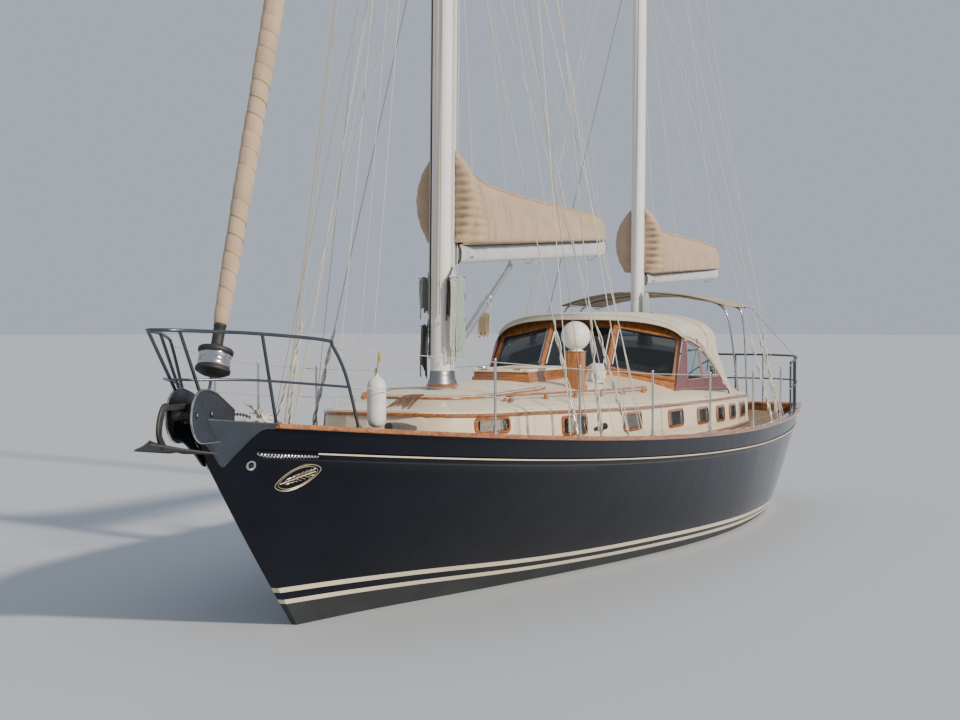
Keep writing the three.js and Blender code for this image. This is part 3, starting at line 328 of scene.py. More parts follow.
def ramp(tree, source, stops):
    made = tree.nodes.new("ShaderNodeValToRGB")
    while len(made.color_ramp.elements) < len(stops):
        made.color_ramp.elements.new(0.5)
    for element, (place, color) in zip(made.color_ramp.elements, stops):
        element.position = place
        element.color = color if len(color) == 4 else (*color, 1)
    feed(tree, made, {"Fac": source})
    return made.outputs["Color"]


def makeWeave():  # canvas threads, as a height and a light mask
    tree, given, out = startGroup("canvasWeave", [("Scale", "NodeSocketFloat", 900.0)],
                                  [("Height", "NodeSocketFloat"), ("Mottle", "NodeSocketFloat")])
    place = addNode(tree, "ShaderNodeTexCoord").outputs["Object"]
    threads = {"Distortion": 0.6, "Detail": 0.0, "Vector": place, "Scale": given.outputs["Scale"]}
    waves = [addNode(tree, "ShaderNodeTexWave", threads, wave_type="BANDS",
                     bands_direction=direction).outputs["Fac"] for direction in ("X", "Y", "Z")]
    noise = addNode(tree, "ShaderNodeTexNoise", {"Vector": place, "Scale": 3.5, "Detail": 6.0,
                                                 "Roughness": 0.62})
    feed(tree, out, {"Height": reckon(tree, "ADD", reckon(tree, "ADD", waves[0], waves[1]), waves[2]),
                     "Mottle": noise.outputs["Fac"]})
    return tree


def makeGrain():  # long wood grain, stretched along one way by the Stretch vector
    tree, given, out = startGroup("woodGrain", [("Stretch", "NodeSocketVector", (1.2, 14.0, 14.0))],
                                  [("Figure", "NodeSocketFloat"), ("Pores", "NodeSocketFloat")])
    place = addNode(tree, "ShaderNodeTexCoord").outputs["Object"]
    scaled = addNode(tree, "ShaderNodeVectorMath", {0: place, 1: given.outputs["Stretch"]},
                     operation="MULTIPLY").outputs[0]
    figure = addNode(tree, "ShaderNodeTexNoise", {"Vector": scaled, "Scale": 1.6, "Detail": 5.0,
                                                  "Roughness": 0.55, "Distortion": 1.2})
    pores = addNode(tree, "ShaderNodeTexNoise", {"Vector": scaled, "Scale": 9.0, "Detail": 4.0,
                                                 "Roughness": 0.7})
    feed(tree, out, {"Figure": figure.outputs["Fac"], "Pores": pores.outputs["Fac"]})
    return tree


def makeWear():  # soft patches and fine specks of dust, salt or scuffing
    tree, given, out = startGroup("weathering", [("Scale", "NodeSocketFloat", 2.0)],
                                  [("Patches", "NodeSocketFloat"), ("Specks", "NodeSocketFloat")])
    place = addNode(tree, "ShaderNodeTexCoord").outputs["Object"]
    scale = given.outputs["Scale"]
    finer = reckon(tree, "MULTIPLY", scale, 22.0)
    for label, size, detail, rough in (("Patches", scale, 5.0, 0.6), ("Specks", finer, 3.0, 0.8)):
        noise = addNode(tree, "ShaderNodeTexNoise", {"Vector": place, "Scale": size, "Detail": detail,
                                                     "Roughness": rough})
        feed(tree, out, {label: noise.outputs["Fac"]})
    return tree


weave, grain, wear = makeWeave(), makeGrain(), makeWear()


def startMaterial(name, roughness=0.4, metallic=0.0, coat=0.0, **values):
    material = bpy.data.materials.new(name)
    material.use_nodes = True
    tree = material.node_tree
    shader = tree.nodes["Principled BSDF"]
    feed(tree, shader, {"Roughness": roughness, "Metallic": metallic, "Coat Weight": coat, **values})
    return material, tree, shader


def useGroup(tree, group, values):
    return addNode(tree, "ShaderNodeGroup", values, node_tree=group)


def bumpFrom(tree, shader, height, distance, strength=1.0, after=None):
    values = {"Strength": strength, "Distance": distance, "Height": height}
    if after is not None:
        values["Normal"] = after
    normal = addNode(tree, "ShaderNodeBump", values).outputs["Normal"]
    feed(tree, shader, {"Normal": normal})
    return normal


def paint(name, color, second, roughness=0.3, coat=0.0, scale=1.5, bump=0.0006, metallic=0.0, worn=0.12,
          **more):
    material, tree, shader = startMaterial(name, roughness, metallic, coat, **more)
    dirt = useGroup(tree, wear, {"Scale": scale})
    specks = dirt.outputs["Specks"]
    shine = addNode(tree, "ShaderNodeMapRange", {"Value": specks, "From Min": 0.3, "From Max": 0.75,
                                                 "To Min": roughness, "To Max": min(roughness + worn, 1.0)})
    feed(tree, shader, {"Base Color": ramp(tree, dirt.outputs["Patches"], [(0.32, color), (0.72, second)]),
                        "Roughness": shine.outputs["Result"]})
    bumpFrom(tree, shader, specks, bump)
    return material


def wood(name, dark, pale, stretch, roughness=0.28, coat=0.8, bump=0.0008):
    material, tree, shader = startMaterial(name, roughness, 0.0, coat, **{"Coat Roughness": 0.07})
    lines = useGroup(tree, grain, {"Stretch": stretch})
    middle = [lerp(a, b, 0.55) for a, b in zip(dark, pale)]
    tones = ramp(tree, lines.outputs["Figure"], [(0.30, dark), (0.52, middle), (0.70, pale)])
    fine = ramp(tree, lines.outputs["Pores"], [(0.35, (0.62, 0.62, 0.62)), (0.6, (1, 1, 1))])
    feed(tree, shader, {"Base Color": mixColours(tree, 0.7, tones, fine, "MULTIPLY")})
    bumpFrom(tree, shader, lines.outputs["Pores"], bump)
    return material


def canvas(name, color, shade, scale=700.0, roughness=0.9, depth=0.0012, folds=0.01, foldScale=2.2):
    material, tree, shader = startMaterial(name, roughness, **{"Sheen Weight": 0.25, "Sheen Roughness": 0.5})
    cloth = useGroup(tree, weave, {"Scale": scale})
    feed(tree, shader, {"Base Color": ramp(tree, cloth.outputs["Mottle"], [(0.30, shade), (0.68, color)])})
    dirt = useGroup(tree, wear, {"Scale": foldScale})
    soft = bumpFrom(tree, shader, dirt.outputs["Patches"], folds)
    bumpFrom(tree, shader, cloth.outputs["Height"], depth, 0.6, soft)
    return material


def metal(name, color, roughness=0.2, worn=0.15, scale=6.0):
    return paint(name, color, [c * 0.82 for c in color], roughness, 0.0, scale, 0.0002, 1.0, worn)


def rope(name, color, fleck, twist=260.0):
    material, tree, shader = startMaterial(name, 0.85)
    place = addNode(tree, "ShaderNodeTexCoord").outputs["Object"]
    strands = {"Vector": place, "Scale": twist, "Distortion": 1.5, "Detail": 1.0}
    wave = addNode(tree, "ShaderNodeTexWave", strands, wave_type="BANDS",
                   bands_direction="DIAGONAL").outputs["Fac"]
    feed(tree, shader, {"Base Color": ramp(tree, wave, [(0.25, fleck), (0.6, color)])})
    bumpFrom(tree, shader, wave, 0.0012)
    return material


cream = (0.80, 0.70, 0.53)
varnishAlong = wood("varnishAlong", (0.16, 0.045, 0.012), (0.52, 0.20, 0.055), (1.1, 16.0, 16.0))
varnishAcross = wood("varnishAcross", (0.16, 0.045, 0.012), (0.50, 0.19, 0.05), (16.0, 1.3, 16.0))
varnishUp = wood("varnishUp", (0.20, 0.055, 0.014), (0.56, 0.22, 0.06), (16.0, 16.0, 1.5))
creamPaint = paint("creamPaint", cream, (0.70, 0.61, 0.45), 0.32, 0.25, 1.1)
creamGrip = paint("creamGrip", (0.74, 0.66, 0.51), (0.66, 0.58, 0.44), 0.7, 0.0, 9.0, 0.003)
whitePaint = paint("whitePaint", (0.84, 0.84, 0.81), (0.72, 0.72, 0.69), 0.28, 0.3, 2.4)
whitePlastic = paint("whitePlastic", (0.82, 0.82, 0.79), (0.68, 0.67, 0.63), 0.38, 0.1, 5.0)
blackRubber = paint("blackRubber", (0.012, 0.012, 0.013), (0.03, 0.03, 0.03), 0.55, 0.0, 8.0)
steel = metal("steel", (0.58, 0.58, 0.58), 0.16)
dullSteel = metal("dullSteel", (0.30, 0.31, 0.32), 0.32, 0.25)
# near-black galvanised steel with brownish patches; its near-black is partly painted shade, for the anchor
# hanging in the bow's shadow and for the mast's dark strip
darkSteel = paint("darkSteel", (0.035, 0.037, 0.04), (0.10, 0.085, 0.07), 0.45, 0.0, 7.0, 0.002, 0.6)
wireSteel = paint("wireSteel", (0.60, 0.60, 0.58), (0.42, 0.42, 0.41), 0.35, 0.0, 30.0, 0.0002, 0.3)
sparAlloy = metal("sparAlloy", (0.66, 0.67, 0.68), 0.33, 0.2, 2.0)
brass = metal("brass", (0.62, 0.44, 0.20), 0.25)
bronze = metal("bronze", (0.45, 0.28, 0.13), 0.35, 0.3)
creamCanvas = canvas("creamCanvas", (0.66, 0.60, 0.48), (0.55, 0.495, 0.39), folds=0.006)
burgundyCanvas = canvas("burgundyCanvas", (0.135, 0.034, 0.044), (0.085, 0.022, 0.03))
darkCanvas = canvas("darkCanvas", (0.05, 0.045, 0.04), (0.03, 0.028, 0.026))
seatCloth = canvas("seatCloth", (0.12, 0.15, 0.22), (0.08, 0.10, 0.16), folds=0.004)
curtainCloth = canvas("curtainCloth", (0.36, 0.345, 0.30), (0.25, 0.235, 0.20), folds=0.002)
# near-black lining cloth: painted shade for the shelter's unlit inside
shadeLining = canvas("shadeLining", (0.085, 0.075, 0.07), (0.055, 0.05, 0.045), folds=0.003)
whiteRope = rope("whiteRope", (0.78, 0.75, 0.66), (0.52, 0.48, 0.40))
greenRope = rope("greenRope", (0.46, 0.60, 0.50), (0.70, 0.72, 0.64))
darkRope = rope("darkRope", (0.035, 0.035, 0.04), (0.11, 0.10, 0.09))
tanRope = rope("tanRope", (0.50, 0.40, 0.27), (0.30, 0.22, 0.14))
slateRope = rope("slateRope", (0.24, 0.29, 0.25), (0.09, 0.11, 0.10))
brownRope = rope("brownRope", (0.19, 0.105, 0.06), (0.10, 0.055, 0.03))
# stainless steel made dark: painted dark reflection, since the plain floor and sky give the polished tubes
# and plates nothing dark to mirror
darkReflectSteel = metal("darkReflectSteel", (0.125, 0.14, 0.165), 0.19, 0.3)
antifoul = paint("antifoul", (0.030, 0.036, 0.052), (0.018, 0.022, 0.034), 0.7, 0.0, 2.2, 0.0012)
stitching = paint("stitching", (0.36, 0.25, 0.15), (0.30, 0.20, 0.12), 0.9)
goldLeaf = metal("goldLeaf", (0.72, 0.62, 0.44), 0.35, 0.2)
print("materials made")


# Hull: the same lines as the solid, drawn finer
lines = {
    "sheerBreadth": [(-1.8, 0.08), (-1.2, 0.44), (-0.6, 0.79), (0.0, 1.08), (1.0, 1.45), (2.0, 1.7),
                     (3.0, 1.87), (4.0, 1.99), (5.5, 2.11), (7.0, 2.18), (8.5, 2.195), (10.0, 2.12),
                     (11.0, 2.03), (12.0, 1.9), (13.2, 1.66)],
    "waterBreadth": [(0.0, 0.025), (1.1, 0.28), (2.5, 0.69), (3.9, 1.07), (5.4, 1.42), (7.0, 1.69),
                     (8.5, 1.8), (10.0, 1.745), (11.3, 1.59), (12.6, 1.27)],
    "flare": [(0.0, 1.1), (0.25, 0.9), (0.5, 0.6), (0.8, 0.6), (1.0, 0.75)],
    # height, stem aft, stern aft, share of the water breadth, half thickness of the keel
    "under": [(-0.3, 0.33, 12.15, 0.93, 0.03), (-0.6, 0.82, 11.8, 0.74, 0.06),
              (-0.88, 1.5, 11.56, 0.44, 0.095), (-1.1, 2.15, 11.44, 0.2, 0.12),
              (-1.5, 3.3, 11.36, 0.05, 0.135), (-2.0, 4.9, 11.28, 0.0, 0.13)],
    "strakeTop": 0.235, "strakeHeight": 0.05, "strakeOut": 0.021, "strakeFrom": -1.25,
    "railThick": 0.04, "bulwark": 0.1, "wall": 0.07, "camber": 0.05, "keelDrop": 0.12,
}


def sheer(aft):
    if aft < 9.5:
        return 1.33 + 0.615 * ((9.5 - aft) / 11.3) ** 1.9
    return 1.33 + 0.07 * ((aft - 9.5) / 3.7) ** 2


def railHalf(aft):
    return between(lines["sheerBreadth"], aft)


def deckAt(aft):
    return sheer(aft) - lines["railThick"] - lines["bulwark"]


def deckUp(aft, port):
    return deckAt(aft) + lines["camber"] * 0.75 * min(1, 2 * (1 - min(abs(port) / (railHalf(aft) - 0.07), 1)))


bowAft, sternAft, footAft = -1.8, 13.2, 12.6  # both ends of the rail, and the after end of the waterline


def hullPoint(share, below=None, part=None, out=0.0):
    aft = lerp(bowAft, sternAft, share)
    for _ in range(4):
        up = sheer(aft) - below if part is None else part * sheer(aft)
        t = up / sheer(aft)
        aft = lerp(bowAft * t, lerp(footAft, sternAft, t), share)
    top = railHalf(lerp(bowAft, sternAft, share))
    water = between(lines["waterBreadth"], lerp(0, footAft, share))
    half = water + (top - water) * (up / sheer(aft)) ** between(lines["flare"], share)
    return aft, half + (out if aft > lines["strakeFrom"] else 0.0), up


def keelRows(share):
    tail = min(max((share - 0.52) / 0.48, 0), 1)
    nose = min(1, share * 6)
    water = between(lines["waterBreadth"], lerp(0, footAft, share))
    rows = [(0, *hullPoint(share, part=0.0)[:2], 0.0)]
    for k, (up, stem, stern, full, keel) in enumerate(lines["under"]):
        half = keel * nose + 0.025 * (1 - nose) + water * full * (1 - tail ** (2.6 - 0.2 * k))
        drop = lines["keelDrop"] * share if k == 5 else 0
        rows.append((k + 1, lerp(stem, stern, share), half, up - drop))
    return rows


def hullSide(share):
    top, low, out = lines["strakeTop"], lines["strakeTop"] + lines["strakeHeight"], lines["strakeOut"]
    side = [hullPoint(share, below=b) for b in (0.04, 0.09, 0.15, 0.2, top - 0.008)]
    side += [hullPoint(share, below=b, out=o) for b, o in ((top - 0.003, out * 0.7),
                                                           (top + 0.003, out * 0.97),
             (top + 0.025, out), (low - 0.004, out), (low + 0.004, out * 0.8), (low + 0.011, out * 0.3))]
    side.append(hullPoint(share, below=low + 0.016))
    lowest = 1 - (low + 0.016) / sheer(lerp(bowAft, sternAft, share))
    side += [hullPoint(share, part=lowest * (1 - t)) for t in steps(16)[1:]]
    rows = keelRows(share)
    side += [tuple(between(rows, 6 * t, c) for c in (1, 2, 3)) for t in steps(22)[1:]]
    return side


def hullColours():  # navy gloss over a dark band, with two cream stripes that follow the sheer
    material, tree, shader = startMaterial("hullPaint", 0.16, 0.0, 0.0)
    shader.inputs["Specular IOR Level"].default_value = 0.15
    place = addNode(tree, "ShaderNodeTexCoord").outputs["Object"]
    split = addNode(tree, "ShaderNodeSeparateXYZ", {0: place})
    shift = addNode(tree, "ShaderNodeMapRange", {"Value": split.outputs["X"], "From Min": -7.0,
                                                 "From Max": 7.0}, clamp=True)
    bands = [  # stripe heights from the stern to the bow, and half its width
        ([(0.0, 0.105), (0.25, 0.155), (0.5, 0.215), (0.7, 0.245), (0.86, 0.325), (1.0, 0.36)], 0.023),
        ([(0.0, 0.045), (0.25, 0.082), (0.5, 0.127), (0.7, 0.15), (0.86, 0.215), (1.0, 0.245)], 0.021),
    ]
    masks = []
    for heights, half in bands:
        curve = tree.nodes.new("ShaderNodeFloatCurve")
        points = curve.mapping.curves[0].points
        while len(points) < len(heights):
            points.new(0.5, 0.5)
        for point, (x, y) in zip(points, heights):
            point.location = (x, y)
        curve.mapping.update()
        feed(tree, curve, {"Value": shift.outputs["Result"]})
        gap = reckon(tree, "SUBTRACT", split.outputs["Z"], curve.outputs["Value"])
        masks.append((reckon(tree, "LESS_THAN", reckon(tree, "ABSOLUTE", gap), half), gap))
    low = reckon(tree, "LESS_THAN", masks[1][1], 0.0)
    dirt = useGroup(tree, wear, {"Scale": 1.3}).outputs["Patches"]
    grey = ramp(tree, dirt, [(0.3, (0.022, 0.025, 0.027)), (0.75, (0.04, 0.045, 0.047))])
    pale = ramp(tree, dirt, [(0.3, (0.74, 0.66, 0.5)), (0.75, (0.62, 0.54, 0.40))])
    colour = ramp(tree, dirt, [(0.3, (0.0035, 0.0045, 0.0085)), (0.75, (0.006, 0.008, 0.016))])
    for mask, over in ((low, grey), (masks[0][0], pale), (masks[1][0], pale)):
        colour = mixColours(tree, mask, colour, over)
    rough = addNode(tree, "ShaderNodeMapRange", {"Value": low, "To Min": 0.09, "To Max": 0.42})
    feed(tree, shader, {"Base Color": colour, "Roughness": rough.outputs["Result"]})
    ripple = addNode(tree, "ShaderNodeTexNoise", {"Vector": place, "Scale": 2.6, "Detail": 3.0,
                                                  "Roughness": 0.5})
    bumpFrom(tree, shader, ripple.outputs["Fac"], 0.012, 0.35)
    return material


def planking(name, planks, seams):  # laid planks that run fore and aft, with dark caulking between them
    material, tree, shader = startMaterial(name, 0.62)
    place = addNode(tree, "ShaderNodeTexCoord").outputs["Object"]
    split = addNode(tree, "ShaderNodeSeparateXYZ", {0: place})
    across = reckon(tree, "MULTIPLY", split.outputs["Y"], 1 / planks["breadth"])
    seam = reckon(tree, "LESS_THAN", reckon(tree, "FRACT", across), planks["seam"])
    vary = addNode(tree, "ShaderNodeTexWhiteNoise", {"W": reckon(tree, "FLOOR", across)},
                   noise_dimensions="1D")
    lines = useGroup(tree, grain, {"Stretch": (1.4, 26.0, 26.0)})
    tones = ramp(tree, lines.outputs["Figure"], [(0.3, planks["dark"]), (0.7, planks["pale"])])
    shade = addNode(tree, "ShaderNodeMapRange", {"Value": vary.outputs["Value"], "To Min": 0.78,
                                                 "To Max": 1.08})
    tint = mixColours(tree, 1.0, tones, shade.outputs["Result"], "MULTIPLY")
    feed(tree, shader, {"Base Color": mixColours(tree, seam, tint, (*seams, 1))})
    fine = bumpFrom(tree, shader, lines.outputs["Pores"], 0.001)
    bumpFrom(tree, shader, reckon(tree, "SUBTRACT", 1.0, seam), 0.002, 0.8, fine)
    return material


hullPaint = hullColours()
teakDeck = planking("teakDeck", {"breadth": 0.055, "seam": 0.09, "dark": (0.20, 0.125, 0.065),
                                 "pale": (0.36, 0.24, 0.135)},
                    (0.012, 0.011, 0.01))


def shareAt(aft):  # where a cap rail place lies along the hull
    return (aft - bowAft) / (sternAft - bowAft)


def makeHull():
    shell = Shape()
    shares = [lerp(t, t * t * (3 - 2 * t), 0.35) for t in steps(110)]
    rings = []
    for share in shares:
        side = hullSide(share)
        port = [at(a, h, u) for a, h, u in side]
        rings.append(port + [Vector((p.x, -p.y, p.z)) for p in reversed(port)])
    shell.loft(rings, caps=True, closed=False)
    n = len(rings[0])
    foot = len(rings) * n - n
    for j in range(n // 2 - 1):  # transom and the stem's face
        shell.face((foot + j, foot + j + 1, foot + n - 2 - j, foot + n - 1 - j))
        shell.face((j + 1, j, n - 1 - j, n - 2 - j))
    for i in range(len(rings) - 1):  # keel foot
        a, b = i * n + n // 2 - 1, i * n + n // 2
        shell.face((a, b, b + n, a + n))
    shell.make("hullShell", hullPaint, nodes=["hull"], slot="navy_topsides", angle=32)


def makeDeck():
    deck = Shape()
    rows = []
    stations = [lerp(-1.44, 13.07, t) for t in steps(70)]
    for aft in stations:
        rim = max(railHalf(aft) - lines["wall"], 0.06)
        floor, top = deckAt(aft), sheer(aft) - lines["railThick"]
        half = max(min(onTopside(aft, floor).y - lines["wall"], rim), 0.03)
        row = [at(aft, -rim, top), at(aft, -half, floor)]
        row += [at(aft, side * half, floor + lines["camber"] * 0.75) for side in (-0.5, 0, 0.5)]
        rows.append(row + [at(aft, half, floor), at(aft, rim, top)])
    for i in range(len(rows) - 1):
        inWell = 8.62 < stations[i] + 0.1 and stations[i] + 0.1 < 9.86
        for j in range(6):
            if inWell and j in (2, 3):
                continue
            base = len(deck.verts)
            deck.verts.extend([rows[i][j], rows[i][j + 1], rows[i + 1][j + 1], rows[i + 1][j]])
            deck.face((base, base + 1, base + 2, base + 3), 1 if j in (0, 5) else 0)
    aft = 13.07
    half, floor, top = railHalf(aft) - lines["wall"], deckAt(aft), sheer(aft) - lines["railThick"]
    base = len(deck.verts)
    deck.verts.extend([at(aft, -half, floor), at(aft, half, floor), at(aft, half, top), at(aft, -half, top)])
    deck.face((base, base + 1, base + 2, base + 3), 1)
    inner = wood("bulwarkWood", (0.10, 0.045, 0.02), (0.30, 0.14, 0.06), (1.1, 16.0, 30.0), 0.5, 0.2)
    deck.make("deckAndBulwark", [teakDeck, inner])


def makeRails():
    rail = Shape()
    for side in (1, -1):
        rings = []
        for t in steps(140):
            aft = lerp(-1.19, 13.228, t)
            slope = (railHalf(aft + 0.01) - railHalf(aft - 0.01)) / 0.02
            stretch = hypot(1, slope)
            outer, inner = railHalf(aft) + 0.026 * stretch, railHalf(aft) - 0.104 * stretch
            top, low = sheer(aft), sheer(aft) - 0.042
            section = [(inner, low), (inner, top - 0.012), (inner + 0.004, top - 0.004), (inner + 0.012, top),
                       (lerp(inner, outer, 0.5), top), (outer - 0.014, top), (outer - 0.005, top - 0.003),
                       (outer, top - 0.012), (outer, low + 0.008), (outer - 0.008, low)]
            rings.append([at(aft, side * y, z) for y, z in section])
        rail.loft(rings)
    rail.box(at(13.228, -(railHalf(13.2) - 0.106), sheer(13.2) - 0.042),
             at(13.078, railHalf(13.2) - 0.106, sheer(13.2)), 0.01)
    rail.make("capRail", varnishAlong, nodes=["cap_rail_port", "cap_rail_starboard", "cap_rail_stern"],
                     slot="varnished_wood")


def onTopside(aft, up, out=0.0):  # the hull's skin at a place and height, with its outward lean
    share = shareAt(aft)
    for _ in range(5):
        a, half, _up = hullPoint(share, part=up / sheer(aft))
        share += (aft - a) / (sternAft - bowAft)
    return at(aft, half + out, up)


def makeStripes():  # the pale line along the strake, with a silver tip at each end, and a plain leaf badge
    trim = Shape()
    for side in (1, -1):
        rings = []
        for t in steps(120):
            a, half, up = hullPoint(lerp(shareAt(-0.9), 0.999, t), below=lines["strakeTop"] + 0.003,
                                    out=lines["strakeOut"])
            y = side * (half + 0.0015)
            rings.append([at(a, y, up + 0.006), at(a, y, up - 0.007), at(a, y - side * 0.02, up - 0.007),
                          at(a, y - side * 0.02, up + 0.006)])
        trim.loft(rings)
        for k in range(18):  # a tapering run of overlapping leaves
            t = k / 17
            a = lerp(-1.44, -0.93, t)
            a, half, up = hullPoint(shareAt(a), below=lines["strakeTop"] + 0.024,
                                    out=lines["strakeOut"] * 0.8)
            size = 0.009 + 0.021 * (1 - t) ** 0.7 * min(1, 0.35 + 5 * t)
            b, halfAhead, upAhead = hullPoint(shareAt(a + 0.02), below=lines["strakeTop"] + 0.024,
                                              out=lines["strakeOut"] * 0.8)
            middle = at(a, side * (half + 0.002), up)
            lean = Vector((-(b - a), side * (halfAhead - half), upAhead - up)).normalized()
            for lift in (1, -1):
                tip = middle + Vector((0, 0, lift * size)) + lean * 0.012
                trim.tube([middle - lean * 0.022, tip, middle + lean * 0.03], 0.0055, 6, 1)
    trim.make("strakeLine", [paint("paleLine", (0.72, 0.62, 0.44), (0.55, 0.47, 0.33), 0.35), steel])
    badge = Shape()
    leaf = {"aft": -0.72, "up": 1.39, "long": 0.178, "high": 0.105, "turn": -0.36}
    for side in (1, -1):
        def spot(u, v, out):
            c, s = cos(leaf["turn"]), sin(leaf["turn"])
            place = onTopside(leaf["aft"] + u * c - v * s, leaf["up"] - (u * s + v * c), out)
            return Vector((place.x, side * place.y, place.z))

        for reach, thick in ((1.0, 0.006), (0.86, 0.004)):
            edge = []
            for k in range(49):
                a = 2 * pi * k / 48
                u = leaf["long"] * reach * cos(a)
                v = leaf["high"] * reach * sin(a) * (1 - 0.35 * abs(cos(a)) ** 3)
                edge.append(spot(u, v, 0.004))
            badge.tube(edge, thick * 0.8, 6)
        spine = [spot(leaf["long"] * 0.78 * t, 0.0, 0.005) for t in (-1, -0.5, 0, 0.5, 1)]
        badge.tube(spine, 0.004, 6)
        for k in range(7):
            u = leaf["long"] * lerp(-0.62, 0.45, k / 6)
            for lift in (1, -1):
                badge.tube(smoothPath([spot(u, 0, 0.005), spot(u + 0.022, lift * 0.022, 0.006),
                                       spot(u + 0.053, lift * 0.046 * (1 - abs(u) / 0.25), 0.004)], 4),
                           0.0032, 6)
    badge.make("bowLeaf", goldLeaf)
    hawse = Shape()
    for side in (1, -1):
        p = onTopside(-1.2, 1.527, 0.0)
        p.y *= side
        hawse.torus(p, (0.55, side * 0.8, -0.2), 0.036, 0.012)
        hawse.lathe([(0.0, 0.002), (0.034, 0.002)], p, (0.55, side * 0.8, -0.2), slot=1)
    hawse.make("hawseRings", [steel, blackRubber])


makeHull()
makeDeck()
makeRails()
makeStripes()
print("hull made")

# Coachroof: aft, half breadth, height of the side's top edge, height at the middle
roof = {
    "edge": [(1.96, 0.42, 1.815, 1.822), (2.04, 0.61, 1.808, 1.832), (2.18, 0.76, 1.803, 1.846),
             (2.6, 0.95, 1.792, 1.885), (3.4, 1.15, 1.778, 1.94), (4.4, 1.32, 1.75, 1.975),
             (6.0, 1.45, 1.705, 1.99), (7.6, 1.51, 1.68, 1.995), (8.6, 1.525, 1.666, 1.985),
             (9.4, 1.51, 1.655, 1.94), (10.0, 1.49, 1.647, 1.89), (10.5, 1.46, 1.638, 1.865),
             (11.05, 1.42, 1.628, 1.84)],
    "lean": 0.03, "seats": (8.62, 9.99, 1.17, 1.38), "well": (8.62, 9.86, 0.42, 0.93),
}


def roofUp(aft, port):
    half = between(roof["edge"], aft, 1) - roof["lean"]
    return lerp(between(roof["edge"], aft, 3), between(roof["edge"], aft, 2), min(abs(port) / half, 1) ** 2.4)


def roofSide(aft, up):  # half breadth of the coachroof's side at a height
    low, edge = deckAt(aft), between(roof["edge"], aft, 2)
    return between(roof["edge"], aft, 1) - roof["lean"] * min(max((up - low) / (edge - low), 0), 1)


# a moulding: section is a list of (out, up) from the path
def sweepStrip(shape, points, section, slot=0, flip=1):
    points = [Vector(p) for p in points]
    last = len(points) - 1
    rings = []
    for i, p in enumerate(points):
        ahead = points[min(i + 1, last)] - points[max(i - 1, 0)]
        out = Vector((ahead.y, -ahead.x, 0)).normalized() * flip
        rings.append([p + out * u + Vector((0, 0, v)) for u, v in section])
    shape.loft(rings, slot)


def makeCoachroof():
    shape = Shape()

    def ring(aft, inner=0.0):
        half, edge = between(roof["edge"], aft, 1), between(roof["edge"], aft, 2)
        low, top = deckAt(aft) - 0.01, half - roof["lean"]
        side = [(half, low), (lerp(half, top, 0.5), lerp(low, edge, 0.5)), (top + 0.002, edge - 0.035),
                (top - 0.004, edge - 0.014), (top - 0.016, edge - 0.003)]
        across = [lerp(top, inner, t) for t in (0.04, 0.1, 0.2, 0.34, 0.5, 0.65, 0.8, 0.92)]
        return side + [(y, roofUp(aft, y)) for y in across]

    front, back, seatHalf, seatUp = roof["seats"]
    for start, stop, count in ((1.96, front, 60), (back, 11.05, 12)):
        rings = []
        for t in steps(count):
            aft = lerp(start, stop, t ** (1.5 if start < 2 else 1))
            side = ring(aft)
            rings.append([at(aft, y, z) for y, z in side] + [at(aft, -y, z) for y, z in reversed(side)])
        shape.loft(rings)
    for k in (1, -1):
        rings = []
        for t in steps(12):
            aft = lerp(front, back, t)
            side = ring(aft, seatHalf) + [(seatHalf, roofUp(aft, seatHalf)), (seatHalf, seatUp - 0.05)]
            rings.append([at(aft, k * y, z) for y, z in side])
        shape.loft(rings, caps=False, closed=False)
    shape.make("coachroofShell", creamPaint, nodes=["coachroof"], slot="cream_paint", angle=40)

    trim = Shape()
    path = [(aft, between(roof["edge"], aft, 1) - roof["lean"], between(roof["edge"], aft, 2) - 0.03)
            for aft in [lerp(11.04, 1.99, t) for t in steps(90)]]
    loop = [at(a, y, z) for a, y, z in path] + [at(1.957, 0.2, 1.785), at(1.955, -0.2, 1.785)]
    loop += [at(a, -y, z) for a, y, z in reversed(path)]
    sweepStrip(trim, loop, [(-0.01, -0.016), (0.022, -0.016), (0.029, -0.010), (0.029, 0.010),
                            (0.022, 0.016), (-0.01, 0.016)],
               flip=-1)
    trim.make("eyebrow", varnishAlong)

    foot = Shape()  # the mouldings where the coachroof meets the deck
    loop = [at(a, between(roof["edge"], a, 1) + 0.001, deckUp(a, 1.2) + 0.008)
            for a in [lerp(11.04, 2.22, t) for t in steps(60)]]
    sweepStrip(foot, loop, [(-0.01, -0.012), (0.02, -0.012), (0.02, 0.006), (0.004, 0.02), (-0.01, 0.02)],
               flip=-1)
    sweepStrip(foot, [Vector((p.x, -p.y, p.z)) for p in loop],
               [(-0.01, -0.012), (0.02, -0.012), (0.02, 0.006), (0.004, 0.02), (-0.01, 0.02)], flip=1)
    foot.make("coachroofFoot", varnishAlong)


windows = {  # centre aft, centre height, half width, half height
    "row": [(2.565, 1.66, 0.225, 0.058), (4.08, 1.585, 0.26, 0.078), (5.645, 1.54, 0.265, 0.078),
            (7.175, 1.495, 0.27, 0.08), (8.305, 1.467, 0.225, 0.078), (9.195, 1.445, 0.20, 0.076),
            (9.9, 1.437, 0.17, 0.074), (10.6, 1.43, 0.16, 0.07)],
    "corner": 0.035, "frame": 0.03,
}


def roundedRing(halfWide, halfHigh, corner, count=5):
    ring = []
    for cx, cy, start in ((1, 1, 0), (-1, 1, 90), (-1, -1, 180), (1, -1, 270)):
        for k in range(count + 1):
            a = radians(start + 90 * k / count)
            ring.append((cx * (halfWide - corner) + corner * cos(a),
                         cy * (halfHigh - corner) + corner * sin(a)))
    return ring


